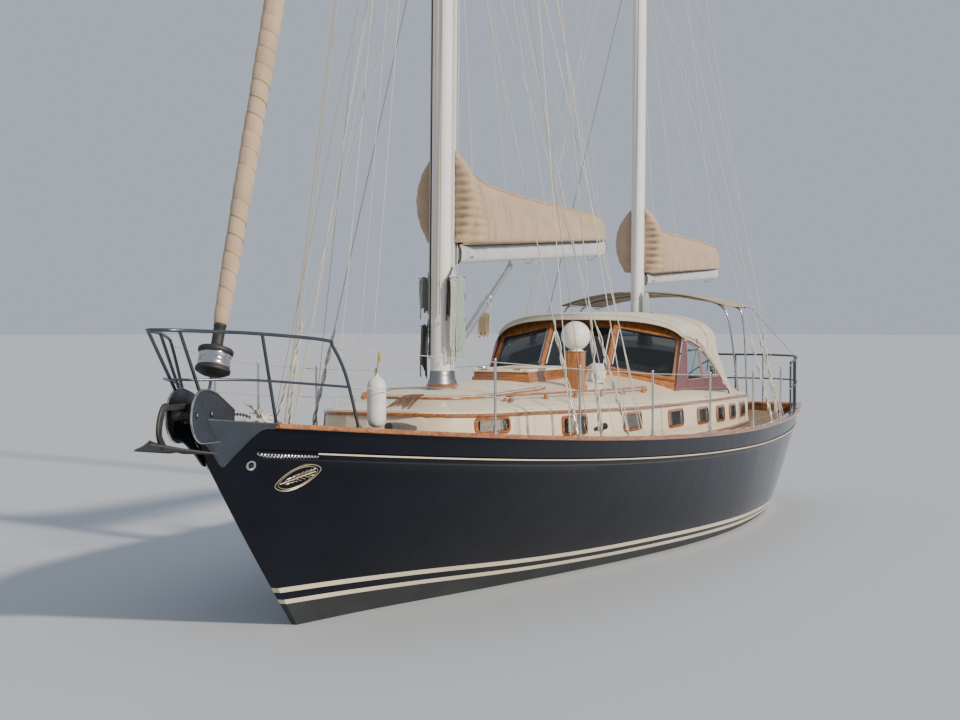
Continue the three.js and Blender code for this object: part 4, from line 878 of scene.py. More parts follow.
def makeWindows():
    frames, glass, dark, curtains = Shape(), Shape(), Shape(), Shape()
    for side in (1, -1):
        for aft, up, wide, high in windows["row"]:
            def spot(u, v, out):
                a = aft + u
                return at(a, side * (roofSide(a, up + v) + out), up + v)

            outer = roundedRing(wide + windows["frame"], high + windows["frame"],
                                windows["corner"] + windows["frame"])
            inner = roundedRing(wide, high, windows["corner"])
            rings = []
            for ring, out in ((outer, 0.0), (outer, 0.014), (inner, 0.018), (inner, 0.001)):
                rings.append([spot(u, v, out) for u, v in ring])
            frames.loft(rings + [rings[0]], caps=False)
            # a black face on the wall behind each pane: painted shade for the unlit cabin
            for shape, ring, out in ((dark, inner, 0.0015), (glass, inner, 0.010)):
                shape.verts.extend(spot(u, v, out) for u, v in ring)
                shape.face(tuple(range(len(shape.verts) - len(ring), len(shape.verts))))
            spans = [(-0.93, -0.6), (0.62, 0.93)]
            if aft < 6:
                spans = [(-0.1, 0.93)] if aft < 5 else [(-0.93, 0.93)]
            for low, stop in spans:
                cols = int(26 * (stop - low))
                base = len(curtains.verts)
                for i in range(cols + 1):
                    u = wide * lerp(low, stop, i / cols)
                    pleat = 0.0042 + 0.0022 * sin(i * 1.9)
                    for v in (-0.92, 0.0, 0.92):
                        curtains.verts.append(spot(u, v * high, pleat))
                for i in range(cols):
                    for j in range(2):
                        a = base + 3 * i + j
                        curtains.face((a, a + 1, a + 4, a + 3))
    frames.make("windowFrames", varnishAlong)
    dark.make("windowShadeBacking", blackRubber)
    curtains.make("curtains", curtainCloth)
    glass.make("windowGlass", clearGlass)


def glassMaterial(name, color, roughness, transmission=1.0, ior=1.1):
    material, tree, shader = startMaterial(name, roughness, **{"Transmission Weight": transmission,
                                                               "IOR": ior})
    smear = useGroup(tree, wear, {"Scale": 3.0})
    tones = ramp(tree, smear.outputs["Patches"], [(0.3, color), (0.75, [c * 0.93 for c in color])])
    feed(tree, shader, {"Base Color": tones})
    return material


clearGlass = glassMaterial("clearGlass", (0.80, 0.86, 0.88), 0.03)
# the windscreen glass is tinted near-black: painted shade for the unlit shelter behind it
shadeTintedGlass = glassMaterial("shadeTintedGlass", (0.030, 0.040, 0.050), 0.02, 0.85, 1.42)
clearVinyl = glassMaterial("clearVinyl", (0.30, 0.38, 0.46), 0.06)

makeCoachroof()
makeWindows()
print("coachroof made")


# Doghouse: a wooden windscreen of three panes and a canvas shelter behind it
shelter = {"front": 7.99, "back": 10.05, "sweep": 0.41, "knee": 2.24, "foot": 1.6, "footUp": 1.73,
           "kneeHalf": (1.262, 1.215), "footHalf": (1.268, 1.415), "crown": 2.69, "rise": 0.07,
           "roundAbeam": 0.72, "roundUp": 0.62,
           "sideCut": (1.6, 1.6), "sideArea": 1.24, "topCut": (2.9, 2.06)}
screen = {"rake": 0.72, "foot": 1.9, "plan": [(8.01, -1.255), (7.62, -0.44), (7.62, 0.44), (8.01, 1.255)]}
panes = [{"from": 0.075, "to": 0.955, "low": (1.955, 2.085), "high": (2.42, 2.555)},
         {"from": 0.045, "to": 0.955, "low": (2.085, 2.085), "high": (2.562, 2.562)},
         {"from": 0.045, "to": 0.925, "low": (2.085, 1.955), "high": (2.555, 2.42)}]


def shelterSection(share, out):  # height of the crown, and half breadths at the knee and at the foot
    crown = shelter["crown"] + shelter["rise"] * sin(pi * min(max(0.15 + 0.7 * share, 0), 1)) + out
    return crown, lerp(*shelter["kneeHalf"], share) + out, lerp(*shelter["footHalf"], share) + out


def shelterSide(half, foot, up):  # half breadth between the knee and the foot
    return lerp(half, foot, (shelter["knee"] - up) / (shelter["knee"] - shelter["footUp"]))


def shelterAft(share, y, half):  # the front edge is swept, so a place depends on the breadth too
    swept = shelter["sweep"] * (1 - share) * min(y / half, 1) ** 1.4
    return lerp(shelter["front"], shelter["back"], share) + swept


def shelterSpot(share, turn, out=0.0, low=None):
    # turn runs from 0 at the port foot over 1 at the knee and 2 at the crown
    crown, half, foot = shelterSection(share, out)
    side = 1
    if turn > 2:
        turn, side = 4 - turn, -1
    if turn <= 1:
        up = lerp(shelter["foot"] if low is None else low, shelter["knee"], turn)
        y = shelterSide(half, foot, up)
    else:
        a = radians(90 * (turn - 1))
        y = half * max(cos(a), 0) ** shelter["roundAbeam"]
        up = lerp(shelter["knee"], crown, sin(a) ** shelter["roundUp"])
    return at(shelterAft(share, y, half), side * y, up)


def onScreen(k, across, up, depth=0.0):
    def fold(j, height):
        aft, port = screen["plan"][j]
        return at(aft + screen["rake"] * (height - screen["foot"]),
                  port * (1 - 0.06 * (height - screen["foot"])), height)

    a, b, above = fold(k, up), fold(k + 1, up), fold(k, up + 0.1)
    normal = (b - a).cross(above - a).normalized()
    if normal.x > 0:
        normal.negate()
    return a.lerp(b, across) + normal * depth


def sideEdge(aft):  # where the cream cloth meets the burgundy side
    rows = [(8.33, 2.45), (8.42, 2.425), (8.72, 2.38), (9.3, 2.262), (9.63, 2.085), (9.8, 1.935),
            (9.93, 1.74), (9.96, 1.66)]
    return between(rows, aft)


def wallAt(aft, up, out=0.0):  # the shelter's side at a place and height
    share = 0.3
    for _ in range(12):
        crown, half, foot = shelterSection(share, out)
        if up <= shelter["knee"]:
            y = shelterSide(half, foot, up)
        else:
            rise = min((up - shelter["knee"]) / (crown - shelter["knee"]), 1)
            y = half * max(cos(asin(rise ** (1 / shelter["roundUp"]))), 0) ** shelter["roundAbeam"]
        share = min(max(share + (aft - shelterAft(share, y, half)) / 1.7, 0), 1)
    return Vector((stemX - aft, y, up))


def makeShelter():
    top = Shape()
    turns = [0.0, 0.3, 0.6, 0.85, 1.0] + [1 + t for t in (0.1, 0.22, 0.34, 0.46, 0.58, 0.7, 0.85, 1.0)]
    turns += [4 - t for t in reversed(turns[:-1])]
    count = 40
    grid = []
    for share in steps(count):
        row = []
        for turn in turns:
            p = shelterSpot(share, turn)
            inner = shelterSpot(share, turn, -0.018)
            crease = 0.004 * sin(share * 34 + turn * 3) * sin(pi * min(turn / 4, 1)) ** 2
            sag = 0.010 * sin(pi * share) * (1 if 1.2 < turn < 2.8 else 0)
            row.append((p + Vector((0, 0, crease - sag)), inner + Vector((0, 0, crease - sag))))
        grid.append(row)

    def kept(i, j):  # the cream cloth: over the top, and down behind the side panel
        p = (grid[i][j][0] + grid[i + 1][j + 1][0]) / 2
        aft = stemX - p.x
        if aft < 9.96 and p.z < sideEdge(max(aft, 8.33)) and abs(p.y) > 0.9:
            return False
        return p.z > roofUp(aft, abs(p.y)) - 0.03

    n = len(turns)
    # the inner layer gets the near-black lining: painted shade for the unlit inside of the shelter
    for layer in (0, 1):
        base = len(top.verts)
        for row in grid:
            top.verts.extend(point[layer] for point in row)
        for i in range(count):
            for j in range(n - 1):
                if kept(i, j):
                    a = base + i * n + j
                    top.face((a, a + 1, a + n + 1, a + n), layer)
    roofCloth = top.make("shelterCloth", [creamCanvas, shadeLining], nodes=["shelter_top"],
                         slot="cream_canvas", angle=60)

    hems = Shape()
    for share, out, thick in ((0.0, 0.004, 0.022), (1.0, -0.006, 0.014)):  # rolled front edge and the aft hem
        path = [shelterSpot(share, t, out)
                for t in [lerp(1.17 if share == 0 else 0.12, 2.83 if share == 0 else 3.88, k)
                                                     for k in steps(60)]]
        hems.tube([p + Vector((0.012 if share == 0 else 0, 0, 0)) for p in path], thick, 10)
    valance, paintedShadowLine = [], []
    for t in steps(60):  # the flap that hangs over the windscreen's head
        turn = lerp(1.18, 2.82, t)
        p = shelterSpot(0.0, turn, 0.004) + Vector((0.012, 0, 0))
        drop = 0.022 + 0.044 * sin(pi * t) ** 0.6
        valance.append([p + Vector((0.016, 0, 0)), p + Vector((0.030, 0, -drop)),
                        p + Vector((0.022, 0, -drop - 0.003)), p + Vector((0.008, 0, -0.004))])
        paintedShadowLine.append(p + Vector((0.024, 0, -drop - 0.006)))
    hems.loft(valance)
    # a near-black tube under the flap's lower edge: painted shadow beneath the rolled front edge
    hems.tube(paintedShadowLine, 0.0065, 6, 2)
    seamAt = 0.72
    for shift in (-0.012, 0.012):  # sewn seams over the after bow
        path = [shelterSpot(seamAt + shift, t, 0.001) for t in [lerp(1.0, 3.0, k) for k in steps(50)]]
        hems.tube([p - Vector((0, 0, 0.010 * sin(pi * seamAt))) for p in path], 0.003, 5, 1)
    for side in (1, -1):  # the bound edge along the side panel, and the zip
        for lift, thick, slot in ((0.0, 0.011, 0), (0.03, 0.0035, 1), (0.05, 0.0035, 1)):
            path = []
            for t in steps(44):
                a = lerp(8.36, 9.935, t ** 0.8)
                p = wallAt(a, sideEdge(a) + lift, 0.004)
                path.append(Vector((p.x, side * p.y, p.z)))
            hems.tube(path, thick, 7, slot)
    hemPiece = hems.make("shelterHems",
                         [creamCanvas, paint("paleThread", (0.50, 0.44, 0.34), (0.42, 0.37, 0.29), 0.9),
                          darkCanvas],
                         angle=60)

    cloth, glazing, binding = Shape(), Shape(), Shape()
    columns = [8.33, 8.40, 8.46, 8.56, 8.68, 8.80, 8.93, 9.05, 9.12, 9.24, 9.36, 9.48, 9.60, 9.72, 9.78,
               9.86, 9.93]
    shares = [0, 0.33, 0.66, 1]

    def column(aft):
        low = max(roofUp(aft, 1.27), 1.5) - 0.01
        top = max(sideEdge(aft) - 0.001, low + 0.01)
        glassTop = min(2.37, top - 0.04)
        glassLow = min(1.90, glassTop)
        ups = [lerp(low, glassLow, t) for t in shares] + [lerp(glassLow, glassTop, t / 6)
                                                          for t in range(1, 7)]
        return ups + [lerp(glassTop, top, 0.5), top]

    for side in (1, -1):
        table = [[wallAt(min(a, 7.98 + 0.62 * (u - 1.9)) if a < 8.35 else a, u, -0.003) for u in column(a)]
                 for a in columns]
        table = [[Vector((p.x, side * p.y, p.z)) for p in row] for row in table]
        n = len(table[0])
        for shape, test in ((cloth, False), (glazing, True)):
            base = len(shape.verts)
            for row in table:
                shape.verts.extend(row)
            for i in range(len(columns) - 1):
                for j in range(n - 1):
                    pane = 3 <= j < 9 and (8.45 < columns[i] < 9.04 or 9.11 < columns[i] < 9.71)
                    if pane == test:
                        a = base + i * n + j
                        shape.face((a, a + 1, a + n + 1, a + n))
        for low, high in ((2, 7), (8, 13)):
            ring = [table[i][3] for i in range(low, high + 1)] + [table[high][j] for j in range(4, 10)]
            ring += [table[i][9] for i in range(high - 1, low - 1, -1)]
            ring += [table[low][j] for j in range(8, 2, -1)]
            binding.tube([p + Vector((0, side * 0.002, 0)) for p in ring], 0.009, 6)
        seam = [table[i][0] + Vector((0, side * 0.004, 0.03)) for i in range(len(columns))]
        binding.tube(seam, 0.004, 5)
    sides = cloth.make("shelterSides", burgundyCanvas, nodes=["shelter_side_port", "shelter_side_starboard"],
                       slot="burgundy_canvas", angle=60)
    glazing.make("shelterVinyl", clearVinyl, nodes=["shelter_window_port", "shelter_window_starboard"],
                 angle=60)
    binding.make("shelterBinding", paint("binding", (0.33, 0.22, 0.20), (0.24, 0.15, 0.14), 0.8), angle=60)


def makeWindscreen():
    frame["nodes"]["windscreen_frame"].data.materials.clear()
    frame["nodes"]["windscreen_frame"].data.materials.append(varnishUp)
    bevel = frame["nodes"]["windscreen_frame"].modifiers.new("softEdges", "BEVEL")
    bevel.width, bevel.segments, bevel.limit_method, bevel.angle_limit = 0.006, 2, "ANGLE", radians(35)
    glass, gasket, pale, sill = Shape(), Shape(), Shape(), Shape()
    for k, pane in enumerate(panes):
        corners = [(pane["from"], pane["low"][0]), (pane["to"], pane["low"][1]),
                   (pane["to"], pane["high"][1]), (pane["from"], pane["high"][0])]
        rounded = []
        for i, (x, z) in enumerate(corners):
            before, after = corners[i - 1], corners[(i + 1) % 4]
            for t in (0.16, 0.07, 0.02):
                rounded.append((lerp(x, before[0], t), lerp(z, before[1], t)) if t != 0.02 else
                               (x + 0.03 * ((before[0] + after[0]) / 2 - x),
                                z + 0.03 * ((before[1] + after[1]) / 2 - z)))
            rounded += [(lerp(x, after[0], t), lerp(z, after[1], t)) for t in (0.07, 0.16)]
        ring = [onScreen(k, x, z, 0.019) for x, z in corners]
        glass.verts.extend(ring)
        glass.face(tuple(range(len(glass.verts) - 4, len(glass.verts))))
        loop = [onScreen(k, x, z, 0.006) for x, z in rounded]
        gasket.tube(loop + [loop[0], loop[1]], 0.010, 6)
        for across in (pane["from"] + 0.02, pane["to"] - 0.02):  # pale beads beside the posts
            if (k == 0 and across > 0.5) or k == 1 or (k == 2 and across < 0.5):
                low = pane["low"][0 if across < 0.5 else 1] + 0.02
                high = pane["high"][0 if across < 0.5 else 1] - 0.02
                pale.tube([onScreen(k, across, lerp(low, high, t), 0.0) for t in steps(4)], 0.007, 6)
    glass.make("screenGlass", shadeTintedGlass, nodes=["windscreen_glass_starboard", "windscreen_glass_middle",
                                                   "windscreen_glass_port"], slot="clear_glazing")
    gasket.make("screenGaskets", blackRubber)
    pale.make("screenBeads", whitePaint)
    for k in (0, 1, 2):
        ends = [(0.03, 1.90 if k == 0 else 2.045), (0.97, 1.90 if k == 2 else 2.045)]
        path = [onScreen(k, lerp(ends[0][0], ends[1][0], t), lerp(ends[0][1], ends[1][1], t), -0.006)
                for t in steps(10)]
        sill.tube(path, 0.022, 8, squash=0.7)
    sill.make("screenSill", varnishAcross)


makeShelter()
makeWindscreen()
print("doghouse made")


# Gear on the coachroof
gear = {
    "skylight": {"aft": (5.18, 6.48), "half": 0.33, "up": 2.09, "wall": 0.028},
    "vent": {"aft": 5.4, "port": 0.82, "half": 0.092, "up": 2.33, "mouth": (-0.85, -0.5, 0.1)},
    "winches": [(6.45, 0.72), (6.45, -0.72), (10.33, 0.9), (10.33, -0.9)],
    "handrail": {"feet": [3.3, 4.0, 4.7, 5.4, 6.1, 6.8], "inboard": 0.30, "up": 0.062},
}


def bar(shape, aft, port, up, bevel=0.004, slot=0):  # a block between two places aft, to port and up
    low = (stemX - max(aft), min(port), min(up))
    high = (stemX - min(aft), max(port), max(up))
    return shape.box(low, high, bevel, slot)


def makeSkylight():
    s = gear["skylight"]
    (a, b), half, wall, up = s["aft"], s["half"], s["wall"], s["up"]
    low = 1.90
    box = Shape()
    for k in (1, -1):
        bar(box, (a, b), (k * (half - wall), k * half), (low, up))
        bar(box, (a + 0.01, b - 0.01), (k * (half - 0.004), k * (half + 0.018)), (low, 2.035), 0.007)
    for end, out in ((a, -1), (b, 1)):
        bar(box, (end, end - out * wall), (-half + wall, half - wall), (low, up))
        bar(box, (end - out * 0.004, end + out * 0.018), (-half - 0.018, half + 0.018), (low, 2.035), 0.007)
    box.make("skylightBox", varnishAcross, nodes=["skylight_box"], slot="varnished_wood")
    lid = Shape()
    out = 0.015
    for k in (1, -1):
        bar(lid, (a - out, b + out), (k * (half + out), k * (half - 0.05)), (up + 0.001, up + 0.034), 0.006)
    for end in (a - out, b + out - 0.062):
        bar(lid, (end, end + 0.062), (-half + 0.05, half - 0.05), (up + 0.001, up + 0.034), 0.006)
    bar(lid, (a + 0.05, b - 0.05), (-half + 0.055, half - 0.055), (up + 0.004, up + 0.022), 0.003, 1)
    for k in range(4):
        middle = lerp(a + 0.22, b - 0.22, k / 3)
        bar(lid, (middle - 0.011, middle + 0.011), (-half + 0.055, half - 0.055), (up + 0.02, up + 0.033),
            0.004, 2)
    for port in (-0.2, 0.2):
        lid.tube([at(a - 0.012, port - 0.04, up + 0.03), at(a - 0.012, port + 0.04, up + 0.03)], 0.008, 8, 3)
        lid.box(at(a + 0.02, port + 0.02, up + 0.032) - Vector((0.04, 0.04, 0)),
                at(a + 0.02, port + 0.02, up + 0.037), 0.001, 3)
    lid.make("skylightLid", [creamPaint, creamGrip, creamPaint, brass], body="skylight_lid",
             nodes=["skylight_lid"], slot="cream_paint")


def makeVent():
    v = gear["vent"]
    post = Shape()
    a, p, h, up = v["aft"], v["port"], v["half"], v["up"]
    post.box(at(a + h, p - h, roofUp(a, p) - 0.05), at(a - h, p + h, up - 0.012), 0.008)
    bar(post, (a - h - 0.006, a + h + 0.006), (p - h - 0.006, p + h + 0.006), (up - 0.014, up), 0.005)
    bar(post, (a - h - 0.01, a + h + 0.01), (p - h - 0.01, p + h + 0.01),
        (roofUp(a, p + h) - 0.02, roofUp(a, p) + 0.03), 0.006)
    post.make("ventBox", varnishUp, nodes=["vent_post"], slot="varnished_wood")
    horn = Shape()
    horn.lathe([(0.0, 0.001), (0.086, 0.001), (0.086, 0.010), (0.070, 0.014), (0.063, 0.03), (0.062, 0.1),
                (0.07, 0.13)],
               at(a, p, up), sides=40)
    centre = at(a, p, up + 0.172)
    profile = [(0.164 * sin(radians(d)), -0.164 * cos(radians(d))) for d in range(0, 91, 9)]
    profile += [(0.163, 0.03), (0.157, 0.06), (0.150, 0.085), (0.148, 0.096), (0.143, 0.102), (0.136, 0.101),
                (0.132, 0.094), (0.130, 0.07), (0.125, 0.03), (0.112, -0.02), (0.08, -0.07), (0.0, -0.09)]
    horn.lathe(profile, centre, v["mouth"], sides=48)
    horn.make("ventHorn", whitePlastic, nodes=["cowl_vent"], slot="white_vinyl", angle=50)


def makeWinches():
    metalwork, cloth = Shape(), Shape()
    for i, (a, p) in enumerate(gear["winches"]):
        foot = at(a, p, roofUp(a, p) - 0.006)
        if i == 0:  # under a white cover, drawn in at the foot
            rng = random.Random(7)
            sides, rows = 44, []
            crimp = [rng.uniform(-1, 1) for _ in range(sides)]
            for r, h in [(0.096, 0.0), (0.104, 0.012), (0.086, 0.032), (0.102, 0.06), (0.105, 0.09),
                         (0.106, 0.12), (0.104, 0.15), (0.099, 0.18), (0.086, 0.208), (0.055, 0.226),
                         (0.0, 0.232)]:
                row = []
                for k in range(sides):
                    t = 2 * pi * k / sides
                    rough = 0.010 * crimp[k] * (1 - h * 3) + 0.009 * sin(5 * t + h * 47)
                    rough += 0.008 * sin(3 * t - h * 71) + 0.004 * sin(11 * t + h * 120)
                    row.append(foot + Vector(((r + rough * min(r / 0.05, 1)) * cos(t),
                                              (r + rough * min(r / 0.05, 1)) * sin(t), h)))
                rows.append(row)
            cloth.loft(rows, caps=False)
            continue
        metalwork.lathe([(0.079, 0.0), (0.079, 0.02), (0.074, 0.028), (0.066, 0.036), (0.055, 0.05),
                         (0.051, 0.08), (0.052, 0.12), (0.058, 0.142), (0.066, 0.15), (0.067, 0.16),
                         (0.060, 0.166), (0.052, 0.168), (0.05, 0.175),
                         (0.02, 0.177), (0.018, 0.170), (0.0, 0.170)], foot, sides=40)
        for k in range(24):  # the drum's ribs
            t = 2 * pi * k / 24
            out = Vector((cos(t), sin(t), 0))
            metalwork.tube([foot + out * 0.0515 + Vector((0, 0, 0.06)),
                            foot + out * 0.0525 + Vector((0, 0, 0.13))], 0.003, 5)
    metalwork.make("winches", steel, nodes=["winch_2", "winch_3", "winch_4"], slot="stainless_steel")
    cover = cloth.make("winchCover", canvas("whiteCover", (0.80, 0.78, 0.72), (0.62, 0.60, 0.55),
                                            folds=0.004),
                       nodes=["winch_1"], slot="white_vinyl", angle=70)


def makeHandrails():
    rail = Shape()
    h = gear["handrail"]
    for k in (1, -1):
        def spot(a, lift):
            y = between(roof["edge"], a, 1) - h["inboard"]
            return at(a, k * y, roofUp(a, y) + lift)

        path = [spot(h["feet"][0] - 0.13, 0.02), spot(h["feet"][0] - 0.1, 0.045)]
        path += [spot(a, h["up"]) for a in [lerp(h["feet"][0] - 0.05, h["feet"][-1] + 0.05, t)
                                            for t in steps(40)]]
        path += [spot(h["feet"][-1] + 0.1, 0.045), spot(h["feet"][-1] + 0.13, 0.02)]
        rail.tube(path, 0.0155, 12, squash=0.85)
        for a in h["feet"]:
            ring = []
            for lift, long in ((-0.01, 0.055), (0.008, 0.05), (0.03, 0.036), (h["up"], 0.046)):
                p = spot(a, lift)
                wide = 0.016 if lift < 0.01 else 0.013
                ring.append([p + Vector((x * long, y * wide, 0))
                             for x, y in ((-1, -0.7), (-0.8, -1), (0.8, -1), (1, -0.7),
                                          (1, 0.7), (0.8, 1), (-0.8, 1), (-1, 0.7))])
            rail.loft(ring)
    rail.make("handrails", varnishAlong, nodes=["handrail_port", "handrail_starboard"], slot="varnished_wood")


def makeMastStep():  # a raised pad with a wooden edge under the mainmast, and the boot round each mast
    pad, edge, boots = Shape(), Shape(), Shape()
    outline = [(2.72, 0.16), (2.86, 0.42), (3.3, 0.62), (4.3, 0.72), (4.72, 0.70), (4.78, 0.0)]
    port = smoothPath([at(a, y, 0) for a, y in outline[:-1]], 6) + [at(4.78, 0.35, 0)]
    loop = port + [Vector((p.x, -p.y, 0)) for p in reversed(port)]
    rings = []
    for lift, shrink in ((-0.02, 1.0), (0.026, 1.0), (0.032, 0.985), (0.034, 0.95)):
        middle = at(3.75, 0, 0)
        rings.append([Vector((middle.x + (p.x - middle.x) * shrink, p.y * shrink,
                              roofUp(stemX - p.x, p.y) + lift)) for p in loop])
    pad.loft(rings, caps=False)
    top = rings[-1]
    half = len(top) // 2
    for i in range(half - 1):
        a, b, c, d = top[i], top[i + 1], top[len(top) - 2 - i], top[len(top) - 1 - i]
        rows = []
        for start, end in ((a, d), (b, c)):
            rows.append([start.lerp(end, t) for t in steps(6)])
            for p in rows[-1]:
                p.z = roofUp(stemX - p.x, p.y) + 0.034
        base = len(pad.verts)
        pad.verts.extend(rows[0] + rows[1])
        for j in range(6):
            pad.face((base + j, base + j + 1, base + j + 8, base + j + 7), 1)
    pad.make("mastPad", [creamPaint, creamGrip], angle=45)
    rim = [Vector((p.x, p.y, roofUp(stemX - p.x, p.y) + 0.014)) for p in loop]
    edge.tube(rim + [rim[0], rim[1]], 0.013, 8)
    edge.make("mastPadEdge", varnishAlong)
    for a, foot, long, broad in ((3.45, 2.0, 0.145, 0.1175), (10.42, 1.84, 0.1075, 0.0875)):
        for rows, slot in (([(1.42, 0.0), (1.42, 0.02), (1.3, 0.028)], 1),
                           ([(1.28, 0.02), (1.25, 0.05), (1.13, 0.075), (1.075, 0.12), (1.06, 0.16),
                             (1.02, 0.165)], 0)):
            boots.loft([[at(a + 0.022 * (foot + h - 1.99), 0, foot + h)
                         + Vector((long * r * cos(2 * pi * k / 40), broad * r * sin(2 * pi * k / 40), 0))
                         for k in range(40)] for r, h in rows], slot)
    boots.make("mastBoots", [dullSteel, varnishAcross], angle=45)


makeSkylight()
makeVent()
makeWinches()
makeHandrails()
makeMastStep()
print("deck gear made")


# Bow: stem plates with anchor rollers, the anchor, a covered windlass and rope
bow = {
    "cheekAft": (-2.03, -1.31), "cheekUp": (1.75, 2.18), "corner": 0.19, "slopeRun": 0.43, "slopeDrop": 0.19,
    "rollers": [(-1.93, 1.98), (-1.69, 1.98)], "thick": 0.016,
    "low": [(-2.01, 1.79), (-1.80, 1.755), (-1.62, 1.645), (-1.45, 1.53), (-1.39, 1.65), (-1.30, 1.825),
            (-1.195, 1.842)],
    "nose": [(1.50, 0.024), (1.85, 0.106)],
}


def plateHalf(aft, up):
    onHull = onTopside(max(aft, -1.79 * up / sheer(aft)), up).y + bow["thick"]
    return max(onHull, between(bow["nose"], up, 1))


def makeBow():
    plates, rollers = Shape(), Shape()
    stations = [lerp(-1.94, -1.195, t) for t in steps(60)]
    for k in (1, -1):
        rings = []
        for a in stations:
            low, top = between(bow["low"], a, 1), sheer(a) + 0.002
            shoulder = top - 0.008
            outer = [(plateHalf(a, z), z) for z in [lerp(low, shoulder, t) for t in steps(6)]]
            y = plateHalf(a, shoulder)
            inner = [(y - 0.004, top), (y - 0.05, top), (y - 0.05, top - 0.008), (y - 0.024, top - 0.014)]
            inner += [(max(h - 0.014, 0.002), z) for h, z in reversed(outer[:-1])]
            rings.append([at(a, k * h, z) for h, z in outer + inner])
        plates.loft(rings)
        rim = [at(a, k * (plateHalf(a, between(bow["low"], a, 1)) - 0.003), between(bow["low"], a, 1))
               for a in stations]
        plates.tube(rim, 0.006, 8)
    floor = [[at(a, y * (plateHalf(a, sheer(a) - 0.02) - 0.03), sheer(a) - 0.006) for y in (-1, -0.4, 0.4, 1)]
             for a in [lerp(-1.92, -1.45, t) for t in steps(8)]]
    plates.loft(floor, caps=False, closed=False)
    (a0, a1), (z0, z1), c = bow["cheekAft"], bow["cheekUp"], bow["corner"]
    middle, rise = (z0 + z1) / 2, (z1 - z0) / 2
    outline = [(a1, 1.84), (a1 - 0.25, z0)]
    outline += [(a0 + c - c * sin(radians(d)), middle - rise * cos(radians(d))) for d in range(0, 181, 10)]
    outline += [(a1 - bow["slopeRun"], z1), (a1 - 0.30, z1 - 0.035), (a1, z1 - bow["slopeDrop"])]
    for side in (1, -1):
        plates.loft([[at(a, side * y, z) for a, z in outline] for y in (0.103, 0.117)])
        plates.tube([at(a, side * 0.117, z) for a, z in outline[1:]], 0.0085, 8, 1)
        for a, z in bow["rollers"]:
            plates.lathe([(0.0, 0.012), (0.022, 0.012), (0.026, 0.008), (0.026, 0.0)],
                         at(a, side * 0.117, z), (0, side, 0), 6)
        for a in (-1.80, -1.55, -1.40):
            plates.lathe([(0.0, 0.006), (0.010, 0.006), (0.013, 0.0)], at(a, side * 0.117, 1.905),
                         (0, side, 0), 16)
    for a, z in bow["rollers"]:
        rollers.lathe([(0.0, -0.1), (0.05, -0.1), (0.05, -0.085), (0.036, -0.05), (0.028, 0.0),
                       (0.036, 0.05), (0.05, 0.085), (0.05, 0.1), (0.0, 0.1)], at(a, 0, z), (0, 1, 0), 28)
    plates.tube([at(-1.56, 0, 1.93), at(-1.56, 0, 2.11)], 0.012, 10)
    plates.box(at(-1.52, -0.008, 1.9), at(-1.60, 0.008, 2.11), 0.003)
    foot, slope = Vector(at(-1.56, 0, 2.07)), 0.3533
    plates.tube([foot, foot + Vector((-slope * 0.20, 0, 0.20))], 0.014, 10)
    plates.make("stemPlates", [darkReflectSteel, steel], nodes=["bow_fitting"], slot="stainless_steel", angle=35)
    rollers.make("anchorRollers", blackRubber, angle=50)

    hook = Shape()
    hook.box(at(-1.64, -0.014, 2.0305), at(-2.23, 0.014, 2.075), 0.004)
    bend = [(-2.2, 2.0665), (-2.26, 2.05), (-2.315, 1.95), (-2.33, 1.84), (-2.27, 1.745)]
    wide = [0.022, 0.03, 0.035, 0.03, 0.035]
    path = smoothPath([at(a, 0, z) for a, z in bend], 6)
    rings = []
    for i, p in enumerate(path):
        ahead = (path[min(i + 1, len(path) - 1)] - path[max(i - 1, 0)]).normalized()
        out = Vector((0, 1, 0)).cross(ahead)
        w = between([(j / 4, value) for j, value in enumerate(wide)], i / (len(path) - 1))
        rings.append([p + out * (w * x) + Vector((0, 0.0135 * y, 0))
                      for x, y in ((-1, -0.6), (-0.85, -1), (0.85, -1), (1, -0.6),
                                   (1, 0.6), (0.85, 1), (-0.85, 1), (-1, 0.6))])
    hook.loft(rings)
    rows = [(-2.48, 0.012, 1.79), (-2.4, 0.10, 1.768), (-2.3, 0.19, 1.745), (-2.18, 0.30, 1.72),
            (-2.08, 0.38, 1.70), (-2.062, 0.25, 1.694), (-2.06, 0.06, 1.69)]
    hook.loft([[at(a, -h, u - 0.012), at(a, 0, u - 0.002), at(a, h, u - 0.012), at(a, h, u - 0.002),
                at(a, h * 0.4, u + 0.016), at(a, 0, u + 0.026), at(a, -h * 0.4, u + 0.016),
                at(a, -h, u - 0.002)] for a, h, u in rows])
    hook.tube([at(-1.66, -0.03, 2.055), at(-1.66, 0.03, 2.055)], 0.009, 8)
    hook.make("anchorHook", darkSteel, nodes=["anchor"], slot="dark_galvanised_steel")

    chain = Shape()  # a few links from the anchor's shank over the roller to the windlass
    for i in range(30):
        t = i / 29
        a = lerp(-1.62, -0.83, t)
        z = 2.04 - 0.14 * t + 0.01 * sin(9 * t)
        turn = (0, 1, 0.05) if i % 2 else (0, 0.1, 1)
        chain.torus(at(a, 0.0, z), turn, 0.013, 0.004, 6, 12)
    chain.make("anchorChain", darkSteel)

